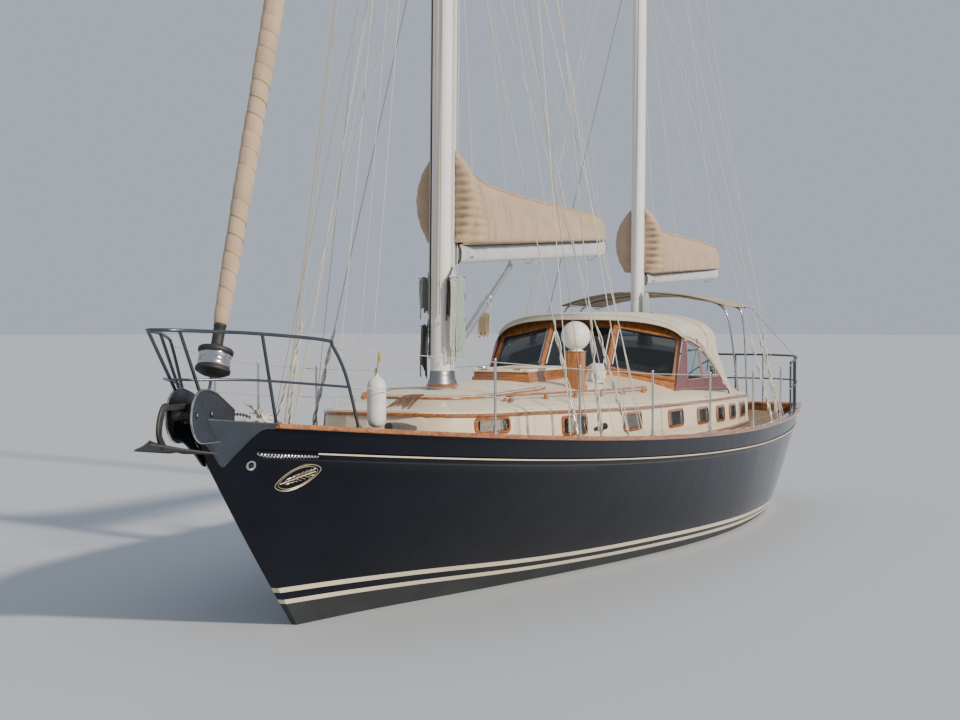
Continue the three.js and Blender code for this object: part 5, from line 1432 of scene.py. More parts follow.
    cover = Shape()
    floor = deckAt(-0.65) + 0.037
    rng = random.Random(3)
    rows = []
    for a in [lerp(-0.84, -0.455, t) for t in steps(14)]:
        t = (a + 0.65) / 0.195
        high = 0.172 * max(1 - abs(t) ** 3.2, 0.05) ** 0.5
        half = 0.205 * max(1 - abs(t) ** 4, 0.1) ** 0.4
        row = []
        for d in range(-10, 191, 10):
            c, s = cos(radians(d)), sin(radians(d))
            pleat = 1 + 0.035 * sin(5 * t + d * 0.11) + rng.uniform(-0.012, 0.012)
            row.append(at(a, half * pleat * (abs(c) ** 0.7) * (1 if c > 0 else -1),
                          floor + 0.004 + high * pleat * max(s, 0) ** 0.75))
        rows.append(row)
    cover.loft(rows, closed=False)
    for end in (0, len(rows) - 1):
        base = len(cover.verts)
        cover.verts.extend(rows[end])
        cover.face(tuple(range(base, base + len(rows[end]))))
    vinyl = canvas("vinylCover", (0.78, 0.76, 0.70), (0.62, 0.60, 0.54), roughness=0.6, folds=0.006)
    covered = cover.make("windlassCover", vinyl, nodes=["windlass"], slot="white_vinyl", angle=60)

    knots = Shape()  # a hank of white line made up on the foredeck, and a dark roll by the coachroof
    for k in range(7):
        loop = []
        for i in range(41):
            t = 2 * pi * i / 40
            a = -1.12 + 0.05 * k * 0.3 + 0.13 * cos(t)
            y = 0.24 + 0.012 * k + 0.09 * sin(t)
            loop.append(at(a, y, deckUp(a, y) + 0.02 + 0.016 * k + 0.01 * sin(3 * t + k)))
        knots.tube(loop, 0.011, 7)
    for i in range(5):
        t = i / 4
        knots.torus(at(-1.18 + 0.02 * i, 0.25, deckUp(-1.1, 0.2) + 0.07), (1, 0.3, 0.1), 0.062, 0.010, 6, 18)
    knot = at(-0.98, 0.2, 1.895)
    for k, (a, p, z) in enumerate(((-1.27, 0.19, 2.05), (-1.22, 0.25, 2.0), (-1.13, 0.14, 2.03),
                                   (-0.86, 0.22, 1.93), (-1.2, 0.2, 1.96),
                                   (-0.9, 0.15, 1.97))):  # its stiff ends stand up over the rail
        tip = at(a, p, z)
        bight = knot.lerp(tip, 0.5) + Vector((0.02 * (k % 3 - 1), 0.015 * (k % 2), 0.025))
        knots.tube(smoothPath([knot, bight, tip], 5), 0.0085, 7)
    for k in range(5):
        knots.torus(knot + Vector((0.012 * k - 0.03, 0.01 * (k % 2), 0.004 * k)),
                    (0.3 * k - 0.6, 1, 0.2 * k), 0.036, 0.0095, 6, 16)
    knots.make("bowLine", whiteRope, angle=60)
    roll = Shape()  # a dark roll of cloth on the foredeck, tied up
    for a0, a1, port, lift in ((0.60, 1.20, 0.66, 0.055), (0.68, 1.28, 0.62, 0.135)):
        route = [at(a, port, deckUp(a, port) + lift) for a in [lerp(a0, a1, t) for t in steps(12)]]
        roll.tube(route, [0.028 + 0.020 * sin(pi * min(1, 0.15 + t)) ** 0.5 + 0.003 * sin(29 * t)
                          for t in steps(12)], 16)
    roll.make("deckRoll", darkCanvas, angle=60)


makeBow()
print("bow made")


# Rails round the deck
rails = {
    "tube": 0.0145, "wire": 0.0038, "stanchions": [1.2, 2.7, 4.5, 6.4, 8.3, 10.2], "wires": (0.34, 0.66),
    "pulpit": [(-2.35, 0, 2.67), (-2.29, 0.125, 2.668), (-2.0, 0.275, 2.655), (-1.5, 0.475, 2.628),
               (-0.9, 0.745, 2.57), (-0.8, 0.775, 2.51), (-0.62, 0.81, 2.26)],
    "middle": [(-1.985, 0, 2.268), (-1.955, 0.116, 2.266), (-1.5, 0.44, 2.25), (-0.577, 0.817, 2.165)],
}


def standOn(aft):
    return railHalf(aft) - 0.045


def makePulpit():
    shape = Shape()
    foot = (-0.40, railHalf(-0.40) - 0.07, sheer(-0.40) - 0.002)
    half = rails["pulpit"] + [foot]
    route = [at(a, -y, z) for a, y, z in reversed(half)] + [at(a, y, z) for a, y, z in half[1:]]
    shape.tube(smoothPath(route, 8), rails["tube"], 12)
    route = [at(a, -y, z) for a, y, z in reversed(rails["middle"])] + [at(a, y, z)
                                                                       for a, y, z in rails["middle"][1:]]
    shape.tube(smoothPath(route, 8), 0.0108, 10)
    for k in (1, -1):
        shape.tube([at(-2.255, k * 0.143, 2.666), at(-1.89, k * 0.11, 2.182)], rails["tube"], 12)
        shape.tube([at(-1.5, k * 0.475, 2.628), at(-1.13, k * 0.41, sheer(-1.13))], rails["tube"], 12)
        shape.lathe([(0.0, 0.0), (0.038, 0.0), (0.038, 0.006), (0.02, 0.01), (0.018, 0.022)],
                    at(foot[0], k * foot[1], sheer(-0.40)), sides=20)
        shape.lathe([(0.0, 0.0), (0.036, 0.0), (0.036, 0.006), (0.02, 0.01), (0.018, 0.02)],
                    at(-1.13, k * 0.41, sheer(-1.13)), sides=20)
    shape.make("pulpitTubes", darkReflectSteel, nodes=["pulpit"], slot="stainless_steel", angle=50)


def makeGuardRails():
    posts, wires = Shape(), Shape()
    for k in (1, -1):
        for a in rails["stanchions"]:
            y, z = standOn(a), sheer(a)
            posts.tube([at(a, k * y, z - 0.002), at(a, k * y, z + 0.688)], 0.0125, 12)
            posts.lathe([(0.0125, 0.0), (0.011, 0.006), (0.0, 0.009)], at(a, k * y, z + 0.688), sides=12)
            posts.lathe([(0.0, 0.0), (0.034, 0.0), (0.034, 0.006), (0.019, 0.01), (0.018, 0.07),
                         (0.0125, 0.074)], at(a, k * y, z), sides=18)
            if 4 < a < 10:  # the gate's posts are braced
                for lift in (0.34, 0.66):
                    posts.torus(at(a, k * y, z + lift), (0, 0, 1), 0.0125, 0.004, 6, 14)
        for lift, start in zip(rails["wires"], ((-0.575, 0.817), (-0.772, 0.78))):
            route = [at(start[0], k * start[1], sheer(start[0]) + lift)]
            route += [at(a, k * standOn(a), sheer(a) + lift) for a in rails["stanchions"] + [11.26]]
            wires.tube(route, rails["wire"], 6)
            for p, q in ((route[0], route[1]), (route[-1], route[-2])):  # screws at the ends
                way = (q - p).normalized()
                wires.tube([p + way * 0.02, p + way * 0.13], 0.0075, 8)
    posts.make("stanchions", steel, nodes=["lifelines_port", "lifelines_starboard"], slot="stainless_steel",
               angle=50)
    wires.make("guardWires", wireSteel, angle=60)


def makePushpit():
    shape = Shape()
    posts = [(11.26, standOn(11.26)), (12.05, standOn(12.05)), (12.85, standOn(12.85) - 0.03), (13.15, 0.7)]
    for lift, radius in ((0.70, rails["tube"]), (0.35, 0.0108)):
        half = posts[:3] + [(13.12, 1.25), (13.15, 0.9)]
        route = [at(a, -y, sheer(a) + lift) for a, y in half] + [at(13.155, 0, sheer(13.155) + lift)]
        route += [at(a, y, sheer(a) + lift) for a, y in reversed(half)]
        shape.tube(smoothPath(route, 8), radius, 12)
    for a, y in posts:
        for k in (1, -1):
            shape.tube([at(a, k * y, sheer(a) - 0.002), at(a, k * y, sheer(a) + 0.7)], rails["tube"], 12)
            shape.lathe([(0.0, 0.0), (0.036, 0.0), (0.036, 0.006), (0.02, 0.01), (0.018, 0.022)],
                        at(a, k * y, sheer(a)), sides=18)
    for k in (1, -1):  # light uprights between the posts
        for a, y in ((11.65, standOn(11.65)), (12.45, standOn(12.45) - 0.015), (13.13, 1.12)):
            shape.tube([at(a, k * y, sheer(a) - 0.002), at(a, k * y, sheer(a) + 0.7)], 0.008, 10)
    shape.make("pushpitTubes", darkReflectSteel, nodes=["pushpit"], slot="stainless_steel", angle=50)


makePulpit()
makeGuardRails()
makePushpit()
print("rails made")


# Masts and booms
masts = {
    "main": {"at": 3.45, "foot": 1.99, "top": 17.3, "long": 0.29, "broad": 0.235,
             "arms": [(7.6, 1.08), (12.3, 0.8)]},
    "mizzen": {"at": 10.42, "foot": 1.85, "top": 12.9, "long": 0.215, "broad": 0.175, "arms": [(7.9, 0.72)]},
    "rake": 0.022, "taper": [(0.0, 1.0), (0.72, 1.0), (0.996, 0.72), (1.0, 0.66)],
}
booms = {
    "main": {"pin": 2.6042, "up": 3.39, "rise": 0.037, "long": 5.18, "high": 0.20, "broad": 0.13},
    "mizzen": {"pin": -4.3245, "up": 3.19, "rise": 0.033, "long": 4.05, "high": 0.15, "broad": 0.10},
}


def mastSpot(mast, up, ahead=0.0, port=0.0):  # ahead of the mast's middle line, and to port of it
    return at(mast["at"] + masts["rake"] * (up - mast["foot"]) - ahead, port, up)


def mastSize(mast, up):
    share = (up - mast["foot"] + 0.1) / (mast["top"] - mast["foot"] + 0.1)
    scale = between(masts["taper"], share)
    return mast["long"] / 2 * scale, mast["broad"] / 2 * scale


def mastRing(mast, up, groove=0.0, sides=40):
    long, broad = mastSize(mast, up)
    ring = []
    for k in range(sides):
        t = 2 * pi * k / sides
        c, s = cos(t), sin(t)
        x = long * copysign(abs(c) ** 0.86, c)
        y = broad * copysign(abs(s) ** 0.9, s)
        if k in (sides // 2 - 1, sides // 2, sides // 2 + 1):  # the sail track's slot, on the after side
            x += groove if k == sides // 2 else groove * 0.2
        ring.append(mastSpot(mast, up, x, y))
    return ring


def makeMast(key, node):
    mast = masts[key]
    spar, track, fittings = Shape(), Shape(), Shape()
    foot, top = mast["foot"] - 0.06, mast["top"]
    spar.loft([mastRing(mast, lerp(foot, top - 0.015, t)) for t in steps(26)]
              + [[mastSpot(mast, top, (p.x - mastSpot(mast, top).x) * 0.93, p.y * 0.93)
                  for p in mastRing(mast, top)]])
    lowTrack = booms[key]["up"] + 0.15
    for k in (1, -1):
        route = [mastSpot(mast, up, -mastSize(mast, up)[0] - 0.004, k * 0.013) for up in
                 [lerp(lowTrack, top - 0.15, t) for t in steps(20)]]
        track.tube(route, 0.0065, 6)
    if key == "main":  # a dark strip up the starboard side, drawn as a track; its near-black is painted shade for the mast's shaded side
        track.tube([mastSpot(mast, up, 0.04, -mastSize(mast, up)[1] - 0.010)
                    for up in [lerp(2.3, top - 0.4, t) for t in steps(20)]],
                   0.0115, 8)
    track.loft([[mastSpot(mast, up, -mastSize(mast, up)[0] - 0.003, y) for y in (-0.008, 0.008)]
                for up in [lerp(lowTrack, top - 0.15, t) for t in steps(12)]], 1, caps=False, closed=False)
    for up, half in mast["arms"]:
        long, broad = mastSize(mast, up)
        for k in (1, -1):
            root, tip = mastSpot(mast, up, 0, k * (broad - 0.01)), mastSpot(mast, up + 0.06, -0.06, k * half)
            rows = []
            for i in range(9):
                t = i / 8
                p = root.lerp(tip, t)
                wide = lerp(0.062, 0.032, t)
                thick = lerp(0.019, 0.011, t)
                rows.append([p + Vector((wide * cos(a), 0, thick * sin(a) * (1.25 if cos(a) > 0 else 0.9)))
                             for a in [2 * pi * j / 16 for j in range(16)]])
            spar.loft(rows)
            fittings.loft([[p + Vector((0.075 * sx, 0, 0.032 * sz))
                            for sx, sz in ((-1, -1), (1, -1), (1, 1), (-1, 1))]
                           for p in (root + Vector((0, -k * 0.012, 0)), root + Vector((0, k * 0.03, 0)))])
            fittings.box(tip - Vector((0.026, 0.012, 0.02)), tip + Vector((0.026, 0.012, 0.02)), 0.005)
            spar.lathe([(0.0, -0.016), (0.02, -0.012), (0.026, 0.0), (0.02, 0.012), (0.0, 0.016)],
                       tip + Vector((0, k * 0.008, 0)), (0, k, 0), 14)
        fittings.loft([[mastSpot(mast, up + dz, cos(a) * (long + 0.003), sin(a) * (broad + 0.003))
                        for a in [2 * pi * j / 36 for j in range(36)]] for dz in (-0.05, 0.05)])
    crown = [(0.66, 0.0), (0.7, 0.006), (0.7, 0.02), (0.62, 0.03), (0.0, 0.032)]
    long, broad = mast["long"] / 2, mast["broad"] / 2
    fittings.loft([[mastSpot(mast, top - 0.012 + h, cos(a) * (long * r + 0.004), sin(a) * (broad * r + 0.004))
                    for a in [2 * pi * j / 32 for j in range(32)]] for r, h in crown[:4]])
    # winches, cleats, exits and bands low down
    low = mast["foot"]
    for up, k in ((low + 0.95, 1), (low + 0.95, -1), (low + 0.7, 1)) if key == "main" else ((low + 0.85, 1),):
        long, broad = mastSize(mast, up)
        fittings.lathe([(0.0, -0.02), (0.05, -0.02), (0.05, 0.012), (0.04, 0.02), (0.035, 0.04),
                        (0.036, 0.075), (0.046, 0.088), (0.046, 0.098), (0.0, 0.102)],
                       mastSpot(mast, up, -0.02, k * (broad + 0.018)), (0, k, 0), 24)
    for up, k in ((low + 0.55, 1), (low + 0.6, -1), (low + 0.38, -1), (low + 0.36, 1)):
        long, broad = mastSize(mast, up)
        base = mastSpot(mast, up, 0.02, k * (broad + 0.008))
        fittings.tube(smoothPath([base + Vector((0, k * 0.022, -0.085)), base + Vector((0, k * 0.030, -0.03)),
                                  base + Vector((0, k * 0.030, 0.03)), base + Vector((0, k * 0.022, 0.085))],
                                 4), 0.0075, 8)
        for dz in (-0.022, 0.022):
            fittings.tube([base + Vector((0, -k * 0.012, dz)), base + Vector((0, k * 0.028, dz))], 0.009, 8)
    for up in [low + 0.25 + 0.42 * i for i in range(9)]:  # small brass eyes up the fore side
        if up < booms[key]["up"] + 0.02:
            long, broad = mastSize(mast, up)
            fittings.torus(mastSpot(mast, up, long + 0.006, 0.02), (0, 1, 0), 0.011, 0.0035, 6, 14, 1)
    if key == "main":  # the lights on the fore side, under and between the arms
        for up in (9.4, 11.2):
            long, broad = mastSize(mast, up)
            fittings.lathe([(0.0, 0.0), (0.045, 0.0), (0.052, 0.03), (0.045, 0.06), (0.0, 0.07)],
                           mastSpot(mast, up, long + 0.03), (1, 0, 0.25), 20)
    spar.make(key + "MastTube", whiteMast, nodes=[node], slot="white_spars", angle=40)
    track.make(key + "MastTrack", [darkSteel, blackRubber])
    fittings.make(key + "MastFittings", [steel, brass], angle=40)


def boomRing(size, behind, grow=1.0, sides=28):
    middle = Vector((size["pin"] - behind, 0, size["up"] + size["rise"] * behind))
    ring = []
    for k in range(sides):
        t = 2 * pi * k / sides
        c, s = cos(t), sin(t)
        ring.append(middle + Vector((0, size["broad"] / 2 * grow * copysign(abs(c) ** 0.75, c),
                                     size["high"] / 2 * grow * copysign(abs(s) ** 0.75, s))))
    return ring


def makeBoom(key, body, node, sheetAt):
    size = booms[key]
    spar, ends, rope = Shape(), Shape(), Shape()
    reach = size["long"]
    spar.loft([boomRing(size, lerp(0.058, reach - 0.04, t)) for t in steps(10)])
    ends.loft([boomRing(size, behind, grow) for behind, grow in ((reach - 0.05, 1.02), (reach - 0.012, 1.02),
                                                                 (reach, 0.96))])
    ends.loft([boomRing(size, behind, grow) for behind, grow in ((0.056, 0.95), (0.066, 1.02), (0.11, 1.02))])
    pin = Vector((size["pin"], 0, size["up"]))
    ends.box(pin + Vector((-0.115, -0.022, -0.0630)), pin + Vector((0.03, 0.022, 0.0630)), 0.006)
    ends.lathe([(0.0, -0.105), (0.016, -0.105), (0.016, 0.105), (0.0, 0.105)], pin, sides=16)
    tail = Vector((size["pin"] - reach, 0, size["up"] + size["rise"] * reach))
    ends.torus(tail + Vector((-0.012, 0, 0.02)), (0, 1, 0), 0.02, 0.006, 8, 18)
    for behind in sheetAt:  # bails for the sheet under the boom
        under = Vector((size["pin"] - behind, 0, size["up"] + size["rise"] * behind - size["high"] / 2))
        ends.tube(smoothPath([under + Vector((0, -0.05, 0.01)), under + Vector((0, -0.035, -0.035)),
                              under + Vector((0, 0, -0.045)), under + Vector((0, 0.035, -0.035)),
                              under + Vector((0, 0.05, 0.01))], 4), 0.005, 8)
    for k in (1, -1):  # a small cleat low on each side
        spot = Vector((size["pin"] - 0.42, k * (size["broad"] / 2 + 0.012), size["up"] - size["high"] * 0.1))
        ends.tube([spot + Vector((-0.05, 0, 0)), spot + Vector((0.05, 0, 0))], 0.007, 8)
        for dx in (-0.018, 0.018):
            ends.tube([spot + Vector((dx, -k * 0.014, 0)), spot + Vector((dx, 0, 0))], 0.008, 8)
    for b, slot in ((0.075, 0), (0.09, 0), (0.105, 0), (0.12, 0), (reach - 0.26, 1), (reach - 0.245, 1),
                    (reach - 0.23, 1)):
        turn = boomRing(size, b, 1.05)  # lashings at both ends
        rope.tube(turn + turn[:1], 0.0072, 6, slot)
    spar.make(key + "BoomTube", silverSpar, body=body, nodes=[node], slot="white_spars")
    ends.make(key + "BoomEnds", steel, body=body)
    rope.make(key + "BoomLines", [darkRope, whiteRope], body=body)


whiteMast = paint("whiteMast", (0.80, 0.80, 0.78), (0.70, 0.70, 0.67), 0.22, 0.2, 1.2, 0.0003)
silverSpar = paint("silverSpar", (0.74, 0.76, 0.78), (0.62, 0.64, 0.66), 0.34, 0.1, 2.0, 0.0003, 0.35)

makeMast("main", "main_mast")
makeMast("mizzen", "mizzen_mast")
makeBoom("main", "main_boom", "main_boom", [2.4, 4.7])
makeBoom("mizzen", "mizzen_boom", "mizzen_boom", [3.5])
print("spars made")


# Sail covers: each is one cloth from the mast to the boom's end
covers = {
    "main": {"rows": [(0.15, 0.06, 1.12), (0.43, 0.215, 0.965), (0.9, 0.215, 0.845), (2.4, 0.19, 0.686),
                      (4.6, 0.15, 0.52), (4.96, 0.125, 0.46), (5.06, 0.09, 0.33)], "half": 0.35, "high": 1.11,
             # twice the depth at the mast, by the length with the laced panel
             "cut": (2.4, 5.3), "cutArea": 8.6},
    "mizzen": {"rows": [(0.12, 0.05, 1.01), (0.38, 0.19, 0.89), (0.8, 0.185, 0.768), (2.0, 0.16, 0.664),
                        (3.5, 0.12, 0.538), (3.88, 0.095, 0.48), (3.97, 0.07, 0.35)], "half": 0.34,
               "high": 1.0, "cut": (2.2, 4.2), "cutArea": 6.5},
    "frontRows": [(0, 0.6), (0.2, 0.88), (0.45, 1), (0.7, 0.86), (0.88, 0.55), (1, 0.22)],
}


def coverTop(key, behind):  # the ridge's height over the boom
    rows, size = covers[key]["rows"], booms[key]
    above = between(rows, behind, 2)
    return size["up"] + size["rise"] * behind + size["high"] * 0.4755 - size["high"] / 2 + above - 0.06


def makeCover(key):
    size, mast = booms[key], masts[key]
    rows = covers[key]["rows"]
    end, half = rows[-1][0], covers[key]["half"]
    cloth, seams = Shape(), Shape()
    rng = random.Random(11 if key == "main" else 23)
    sides = 116
    lumps = [(rng.uniform(0, end), rng.uniform(0.3, 2.8), rng.uniform(0.02, 0.05), rng.uniform(-0.006, 0.012))
             for _ in range(60)]

    def ring(behind):
        base = size["up"] + size["rise"] * behind + size["high"] * 0.4755 + 0.001
        h = between(rows, behind, 1)
        top = coverTop(key, behind)
        tall = top - base
        points = []
        for k in range(sides):
            t = k / (sides - 1)  # from the port foot over the ridge to the starboard foot
            around = 1 - abs(2 * t - 1)  # 0 at the feet and 1 on the ridge
            side = 1 if t < 0.5 else -1
            wide = between([(0, 0.46), (0.045, 0.82), (0.11, 0.96), (0.25, 1.0), (0.45, 0.93), (0.62, 0.80),
                            (0.8, 0.56), (0.93, 0.27), (1, 0.0)], around)
            up = base + tall * between([(0, 0), (0.10, 0.06), (0.25, 0.24), (0.45, 0.48), (0.62, 0.69),
                                        (0.8, 0.88), (0.93, 0.975), (1, 1)], around)
            y = side * h * wide
            # folds drawn down from the ridge, and a flat-lying slack along the foot
            sag = 0.008 * sin(behind * 7.3 + side) * sin(pi * around)
            pull = 0.007 * sin(behind * 19 + 5 * around + side * 2) * max(0, 1 - around * 1.4) ** 1.2
            crease = 0
            for place, up0, wideness, deep in lumps:
                far = ((behind - place - 0.25 * (around - 0.3)) / (wideness * 2.4)) ** 2
                far += (around * 3 - up0) ** 2
                if far < 6:
                    crease += deep * exp(-far)
            shrink = 1 - (sag + pull * 1.6 + crease) / max(h, 0.05) * (1 if abs(y) > 0.004 else 0)
            lace = 0.030 * exp(-((behind - 0.20) / 0.20) ** 2) * min(around * 5, 1) * min((1 - around) * 4, 1)
            lace *= sin(2 * pi * up / 0.088 + 2.2 * sin(2.9 * up) + side)
            points.append(Vector((size["pin"] - behind, y * min(shrink, 1.0) + side * min(lace, 0.012), up)))
        return points

    places = [rows[0][0] + (end - rows[0][0]) * (t ** 1.15) for t in steps(110)]
    body = [ring(b) for b in places]
    low, high = size["up"] + size["high"] / 2 + 0.02, size["up"] + covers[key]["high"]
    collar = []
    for i in range(5):  # from the panel behind the mast back to the boom's part
        t = i / 4
        loop = []
        for k, p in enumerate(body[0]):
            u = k / (sides - 1)
            around = 1 - abs(2 * u - 1)
            side = 1 if u < 0.5 else -1
            share = between([(0, 0.0), (0.5, 0.42), (1, 1.0)], around)
            up = lerp(low, high, share)
            reach = between(covers["frontRows"], share, 1) * (1 if around < 0.96 else (1 - around) / 0.04)
            back = mastSpot(mast, up, -mast["long"] / 2 - 0.02)
            crimp = 1 + 0.010 * sin(38 * share + i) * (1 - t)
            crimp += 0.06 * sin(66 * share + 3 * sin(9 * share)) * min(t * 3, 1)
            fore = Vector((back.x, side * half * reach * 0.88 * crimp, up))
            swell = sin(pi * t) * 0.015
            q = fore.lerp(p, t)
            loop.append(Vector((q.x, q.y * (1 + swell), q.z)))
        collar.append(loop)
    rim = []
    # the panel beside the mast
    for lift, reach0, puff in ((0.0, 0.52, 0.7), (0.0, 0.66, 1.0), (0.0, 0.80, 1.0), (0.2, 0.93, 0.7),
                               (0.5, 1.0, 0.2)):
        loop = []
        for k in range(sides):
            u = k / (sides - 1)
            around = 1 - abs(2 * u - 1)
            side = 1 if u < 0.5 else -1
            share = between([(0, 0.0), (0.5, 0.42), (1, 1.0)], around)
            up = lerp(low, high, share)
            reach = between(covers["frontRows"], share, 1) * (1 if around < 0.96 else (1 - around) / 0.04)
            crimp = 1 + 0.010 * sin(44 * share + lift)
            spot = mastSpot(mast, up, -lerp(0.01, mast["long"] / 2 + 0.02, lift))
            wide = max(side * half * reach * reach0 * crimp * side, mast["broad"] / 2 + 0.006)
            folds = 0.017 * puff * (1 if side > 0 else 0.1) * sin(2 * pi * up / 0.092 + 1.8 * sin(3.1 * up))
            folds *= min(share * 8, 1) * min((1 - share) * 3, 1)
            loop.append(Vector((spot.x + folds, side * wide if around < 0.985 else 0.0, up)))
        rim.append(loop)
    inner = []
    for k in range(sides):  # the fore face, laced to the mast's sides
        u = k / (sides - 1)
        around = 1 - abs(2 * u - 1)
        side = 1 if u < 0.5 else -1
        share = between([(0, 0.0), (0.5, 0.42), (1, 1.0)], around)
        up = lerp(low, high, share)
        spot = mastSpot(mast, up, -0.03)
        inner.append(Vector((spot.x, side * (mast["broad"] / 2 + 0.004) if around < 0.985 else 0.0, up)))
    cloth.loft([inner] + rim + collar[:-1] + body, caps=False, closed=False)
    tail = body[-1]
    base = len(cloth.verts)
    cloth.verts.extend(tail)
    cloth.face(tuple(range(base, base + len(tail))))
    # seams: along the ridge, and down the sides at each cloth's join
    ridge = [(Vector((size["pin"] - b, 0, coverTop(key, b) + 0.002))) for b in places]
    seams.tube(ridge, 0.0045, 6)
    for k in (9, -9):  # a stitched line a hand under the ridge on each side
        line = []
        for b in places:
            ringNow = ring(b)
            spot = ringNow[sides // 2 - k if k > 0 else sides // 2 - 1 - k]
            line.append(spot + Vector((0, copysign(0.003, spot.y), 0)))
        seams.tube(line, 0.0042, 5, 1)
    for i in range(int((end - 0.7) / 0.42)):  # loops on the ridge for the lazy lines
        b = 0.75 + 0.42 * i
        seams.torus(Vector((size["pin"] - b, 0, coverTop(key, b) + 0.014)), (0.3, 1, 0), 0.016, 0.0052, 6, 12)
    for b in [0.43 + 0.86 * i for i in range(int((end - 0.5) / 0.86) + 1)]:
        seams.tube([p + Vector((0, copysign(0.001, p.y), 0)) for p in ring(b)], 0.0028, 5)
    piece = cloth.make(key + "CoverCloth", coverCloth, body=None,
                       nodes=[key + "_sail_cover", key + "_cover_collar"],
                       slot="tan_canvas", angle=80)
    seams.make(key + "CoverSeams", [coverTrim, stitching], body=key + "_boom", angle=80)
    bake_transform(piece)


coverCloth = canvas("coverCloth", (0.56, 0.405, 0.265), (0.44, 0.31, 0.20), roughness=0.95, folds=0.007,
                    foldScale=3.5)
coverTrim = canvas("coverTrim", (0.50, 0.39, 0.27), (0.40, 0.31, 0.21), roughness=0.9, folds=0.001)
makeCover("main")
makeCover("mizzen")
print("sail covers made")


# Forestay: the furled sail, its drum and the black tube between them
stay = {"foot": (-1.56, 2.07), "slope": 0.3533, "drum": (2.29, 2.53),
        "radii": [(2.70, 0.052), (2.74, 0.060), (3.35, 0.078), (5.5, 0.088), (8.5, 0.090), (12.0, 0.074),
                  (15.6, 0.046), (16.3, 0.022), (16.54, 0.020)]}


def onStay(up, out=(0, 0, 0)):
    return at(stay["foot"][0] + stay["slope"] * (up - stay["foot"][1]), 0, up) + Vector(out)


def makeFurler():
    axis = (onStay(10) - onStay(0)).normalized()
    side, fore = Vector((0, 1, 0)), axis.cross(Vector((0, 1, 0))).normalized()
    sail, seams, drum, dark = Shape(), Shape(), Shape(), Shape()
    rows, sides, count = [], 26, 760
    pitch = 0.148  # how far one turn of the cloth's edge climbs
    for i in range(count):
        up = lerp(2.70, 16.54, i / (count - 1))
        r = between(stay["radii"], up, 1)
        lift = 1 + 0.03 * sin(up * 5.1) + 0.02 * sin(up * 11.7 + 1)
        ring = []
        for k in range(sides):
            t = 2 * pi * k / sides
            turn = (t / (2 * pi) + up / pitch) % 1  # each layer laps over the one below it
            layer = 0.075 * sin(pi * turn) ** 0.7
            fold = 0.012 * sin(2 * t + up * 2.55) + 0.008 * sin(5 * t - up * 6.3)
            rr = r * (0.925 + layer + fold) * lift
            rr = min(rr, r * 1.04)
            ring.append(onStay(up) + side * (rr * cos(t)) + fore * (rr * sin(t)))
        rows.append(ring)
    sail.loft(rows)
    path = []
    hemSteps = 1700
    for i in range(hemSteps):  # the edge's stitched hem
        up = lerp(2.78, 16.2, i / (hemSteps - 1))
        t = -2 * pi * up / pitch
        r = between(stay["radii"], up, 1) * 0.955
        path.append(onStay(up) + side * (r * cos(t)) + fore * (r * sin(t)))
    seams.tube(path, 0.0034, 4)
    low = stay["drum"][0]
    foot = onStay(low)
    drum.lathe([(0.134, 0.068), (0.137, 0.072), (0.1375, 0.10), (0.134, 0.105), (0.134, 0.155),
                (0.1375, 0.160), (0.137, 0.172), (0.132, 0.176)], foot, axis, 56)
    dark.lathe([(0.0, 0.0), (0.095, 0.0), (0.100, 0.004), (0.120, 0.012), (0.146, 0.026), (0.1485, 0.036),
                (0.1485, 0.050), (0.142, 0.058), (0.133, 0.062), (0.131, 0.075), (0.131, 0.168),
                (0.134, 0.176), (0.146, 0.184), (0.1485, 0.196), (0.1485, 0.214), (0.140, 0.224),
                (0.105, 0.232), (0.085, 0.240), (0.066, 0.250), (0.052, 0.256), (0.050, 0.264),
                (0.050, 0.41), (0.054, 0.415), (0.054, 0.43), (0.048, 0.436), (0.0, 0.436)], foot, axis, 56)
    for k in range(3):  # the cage's small screws
        t = 2 * pi * k / 3 + 0.4
        out = side * cos(t) + fore * sin(t)
        drum.lathe([(0.0, 0.004), (0.006, 0.003), (0.007, 0.0)], foot + axis * 0.13 + out * 0.1365, out, 12)
    sail.make("furledCloth", canvas("furledCanvas", (0.60, 0.44, 0.29), (0.48, 0.345, 0.225), roughness=0.95,
                                    folds=0.004, foldScale=6.0), body="furler", nodes=["furled_sail"],
              slot="tan_canvas", angle=80)
    seams.make("furledHem", stitching, body="furler", angle=80)
    drum.make("furlerCage", steel, body="furler", nodes=["furler_drum"], slot="furler_alloy", angle=45)
    dark.make("furlerHub", blackRubber, body="furler", angle=45)
    top = Shape()
    top.tube([onStay(16.55), onStay(16.9)], 0.009, 8)
    top.make("forestayHead", wireSteel)


# Standing rigging: (foot aft, foot port, foot up) to a place on a mast or a spreader's tip
rig = {"inboard": 0.136, "below": 0.075, "wire": 0.0062,
       "plates": {"main": [2.88, 3.38, 4.12], "mizzen": [10.15, 10.6, 11.08]}}


def wireWithScrew(wire, screw, a, b, radius=None, size=1.0):
    radius = radius or rig["wire"]
    way = (b - a).normalized()
    wire.tube([a + way * 0.10, b], radius, 7)
    for r, low, high in ((0.0075, 0.0, 0.10), (0.012, 0.10, 0.125), (0.0135, 0.125, 0.27),
                         (0.012, 0.27, 0.295), (0.0075, 0.295, 0.36), (0.0095, 0.36, 0.47)):
        screw.tube([a + way * (low * size), a + way * (high * size)], r * size, 10)


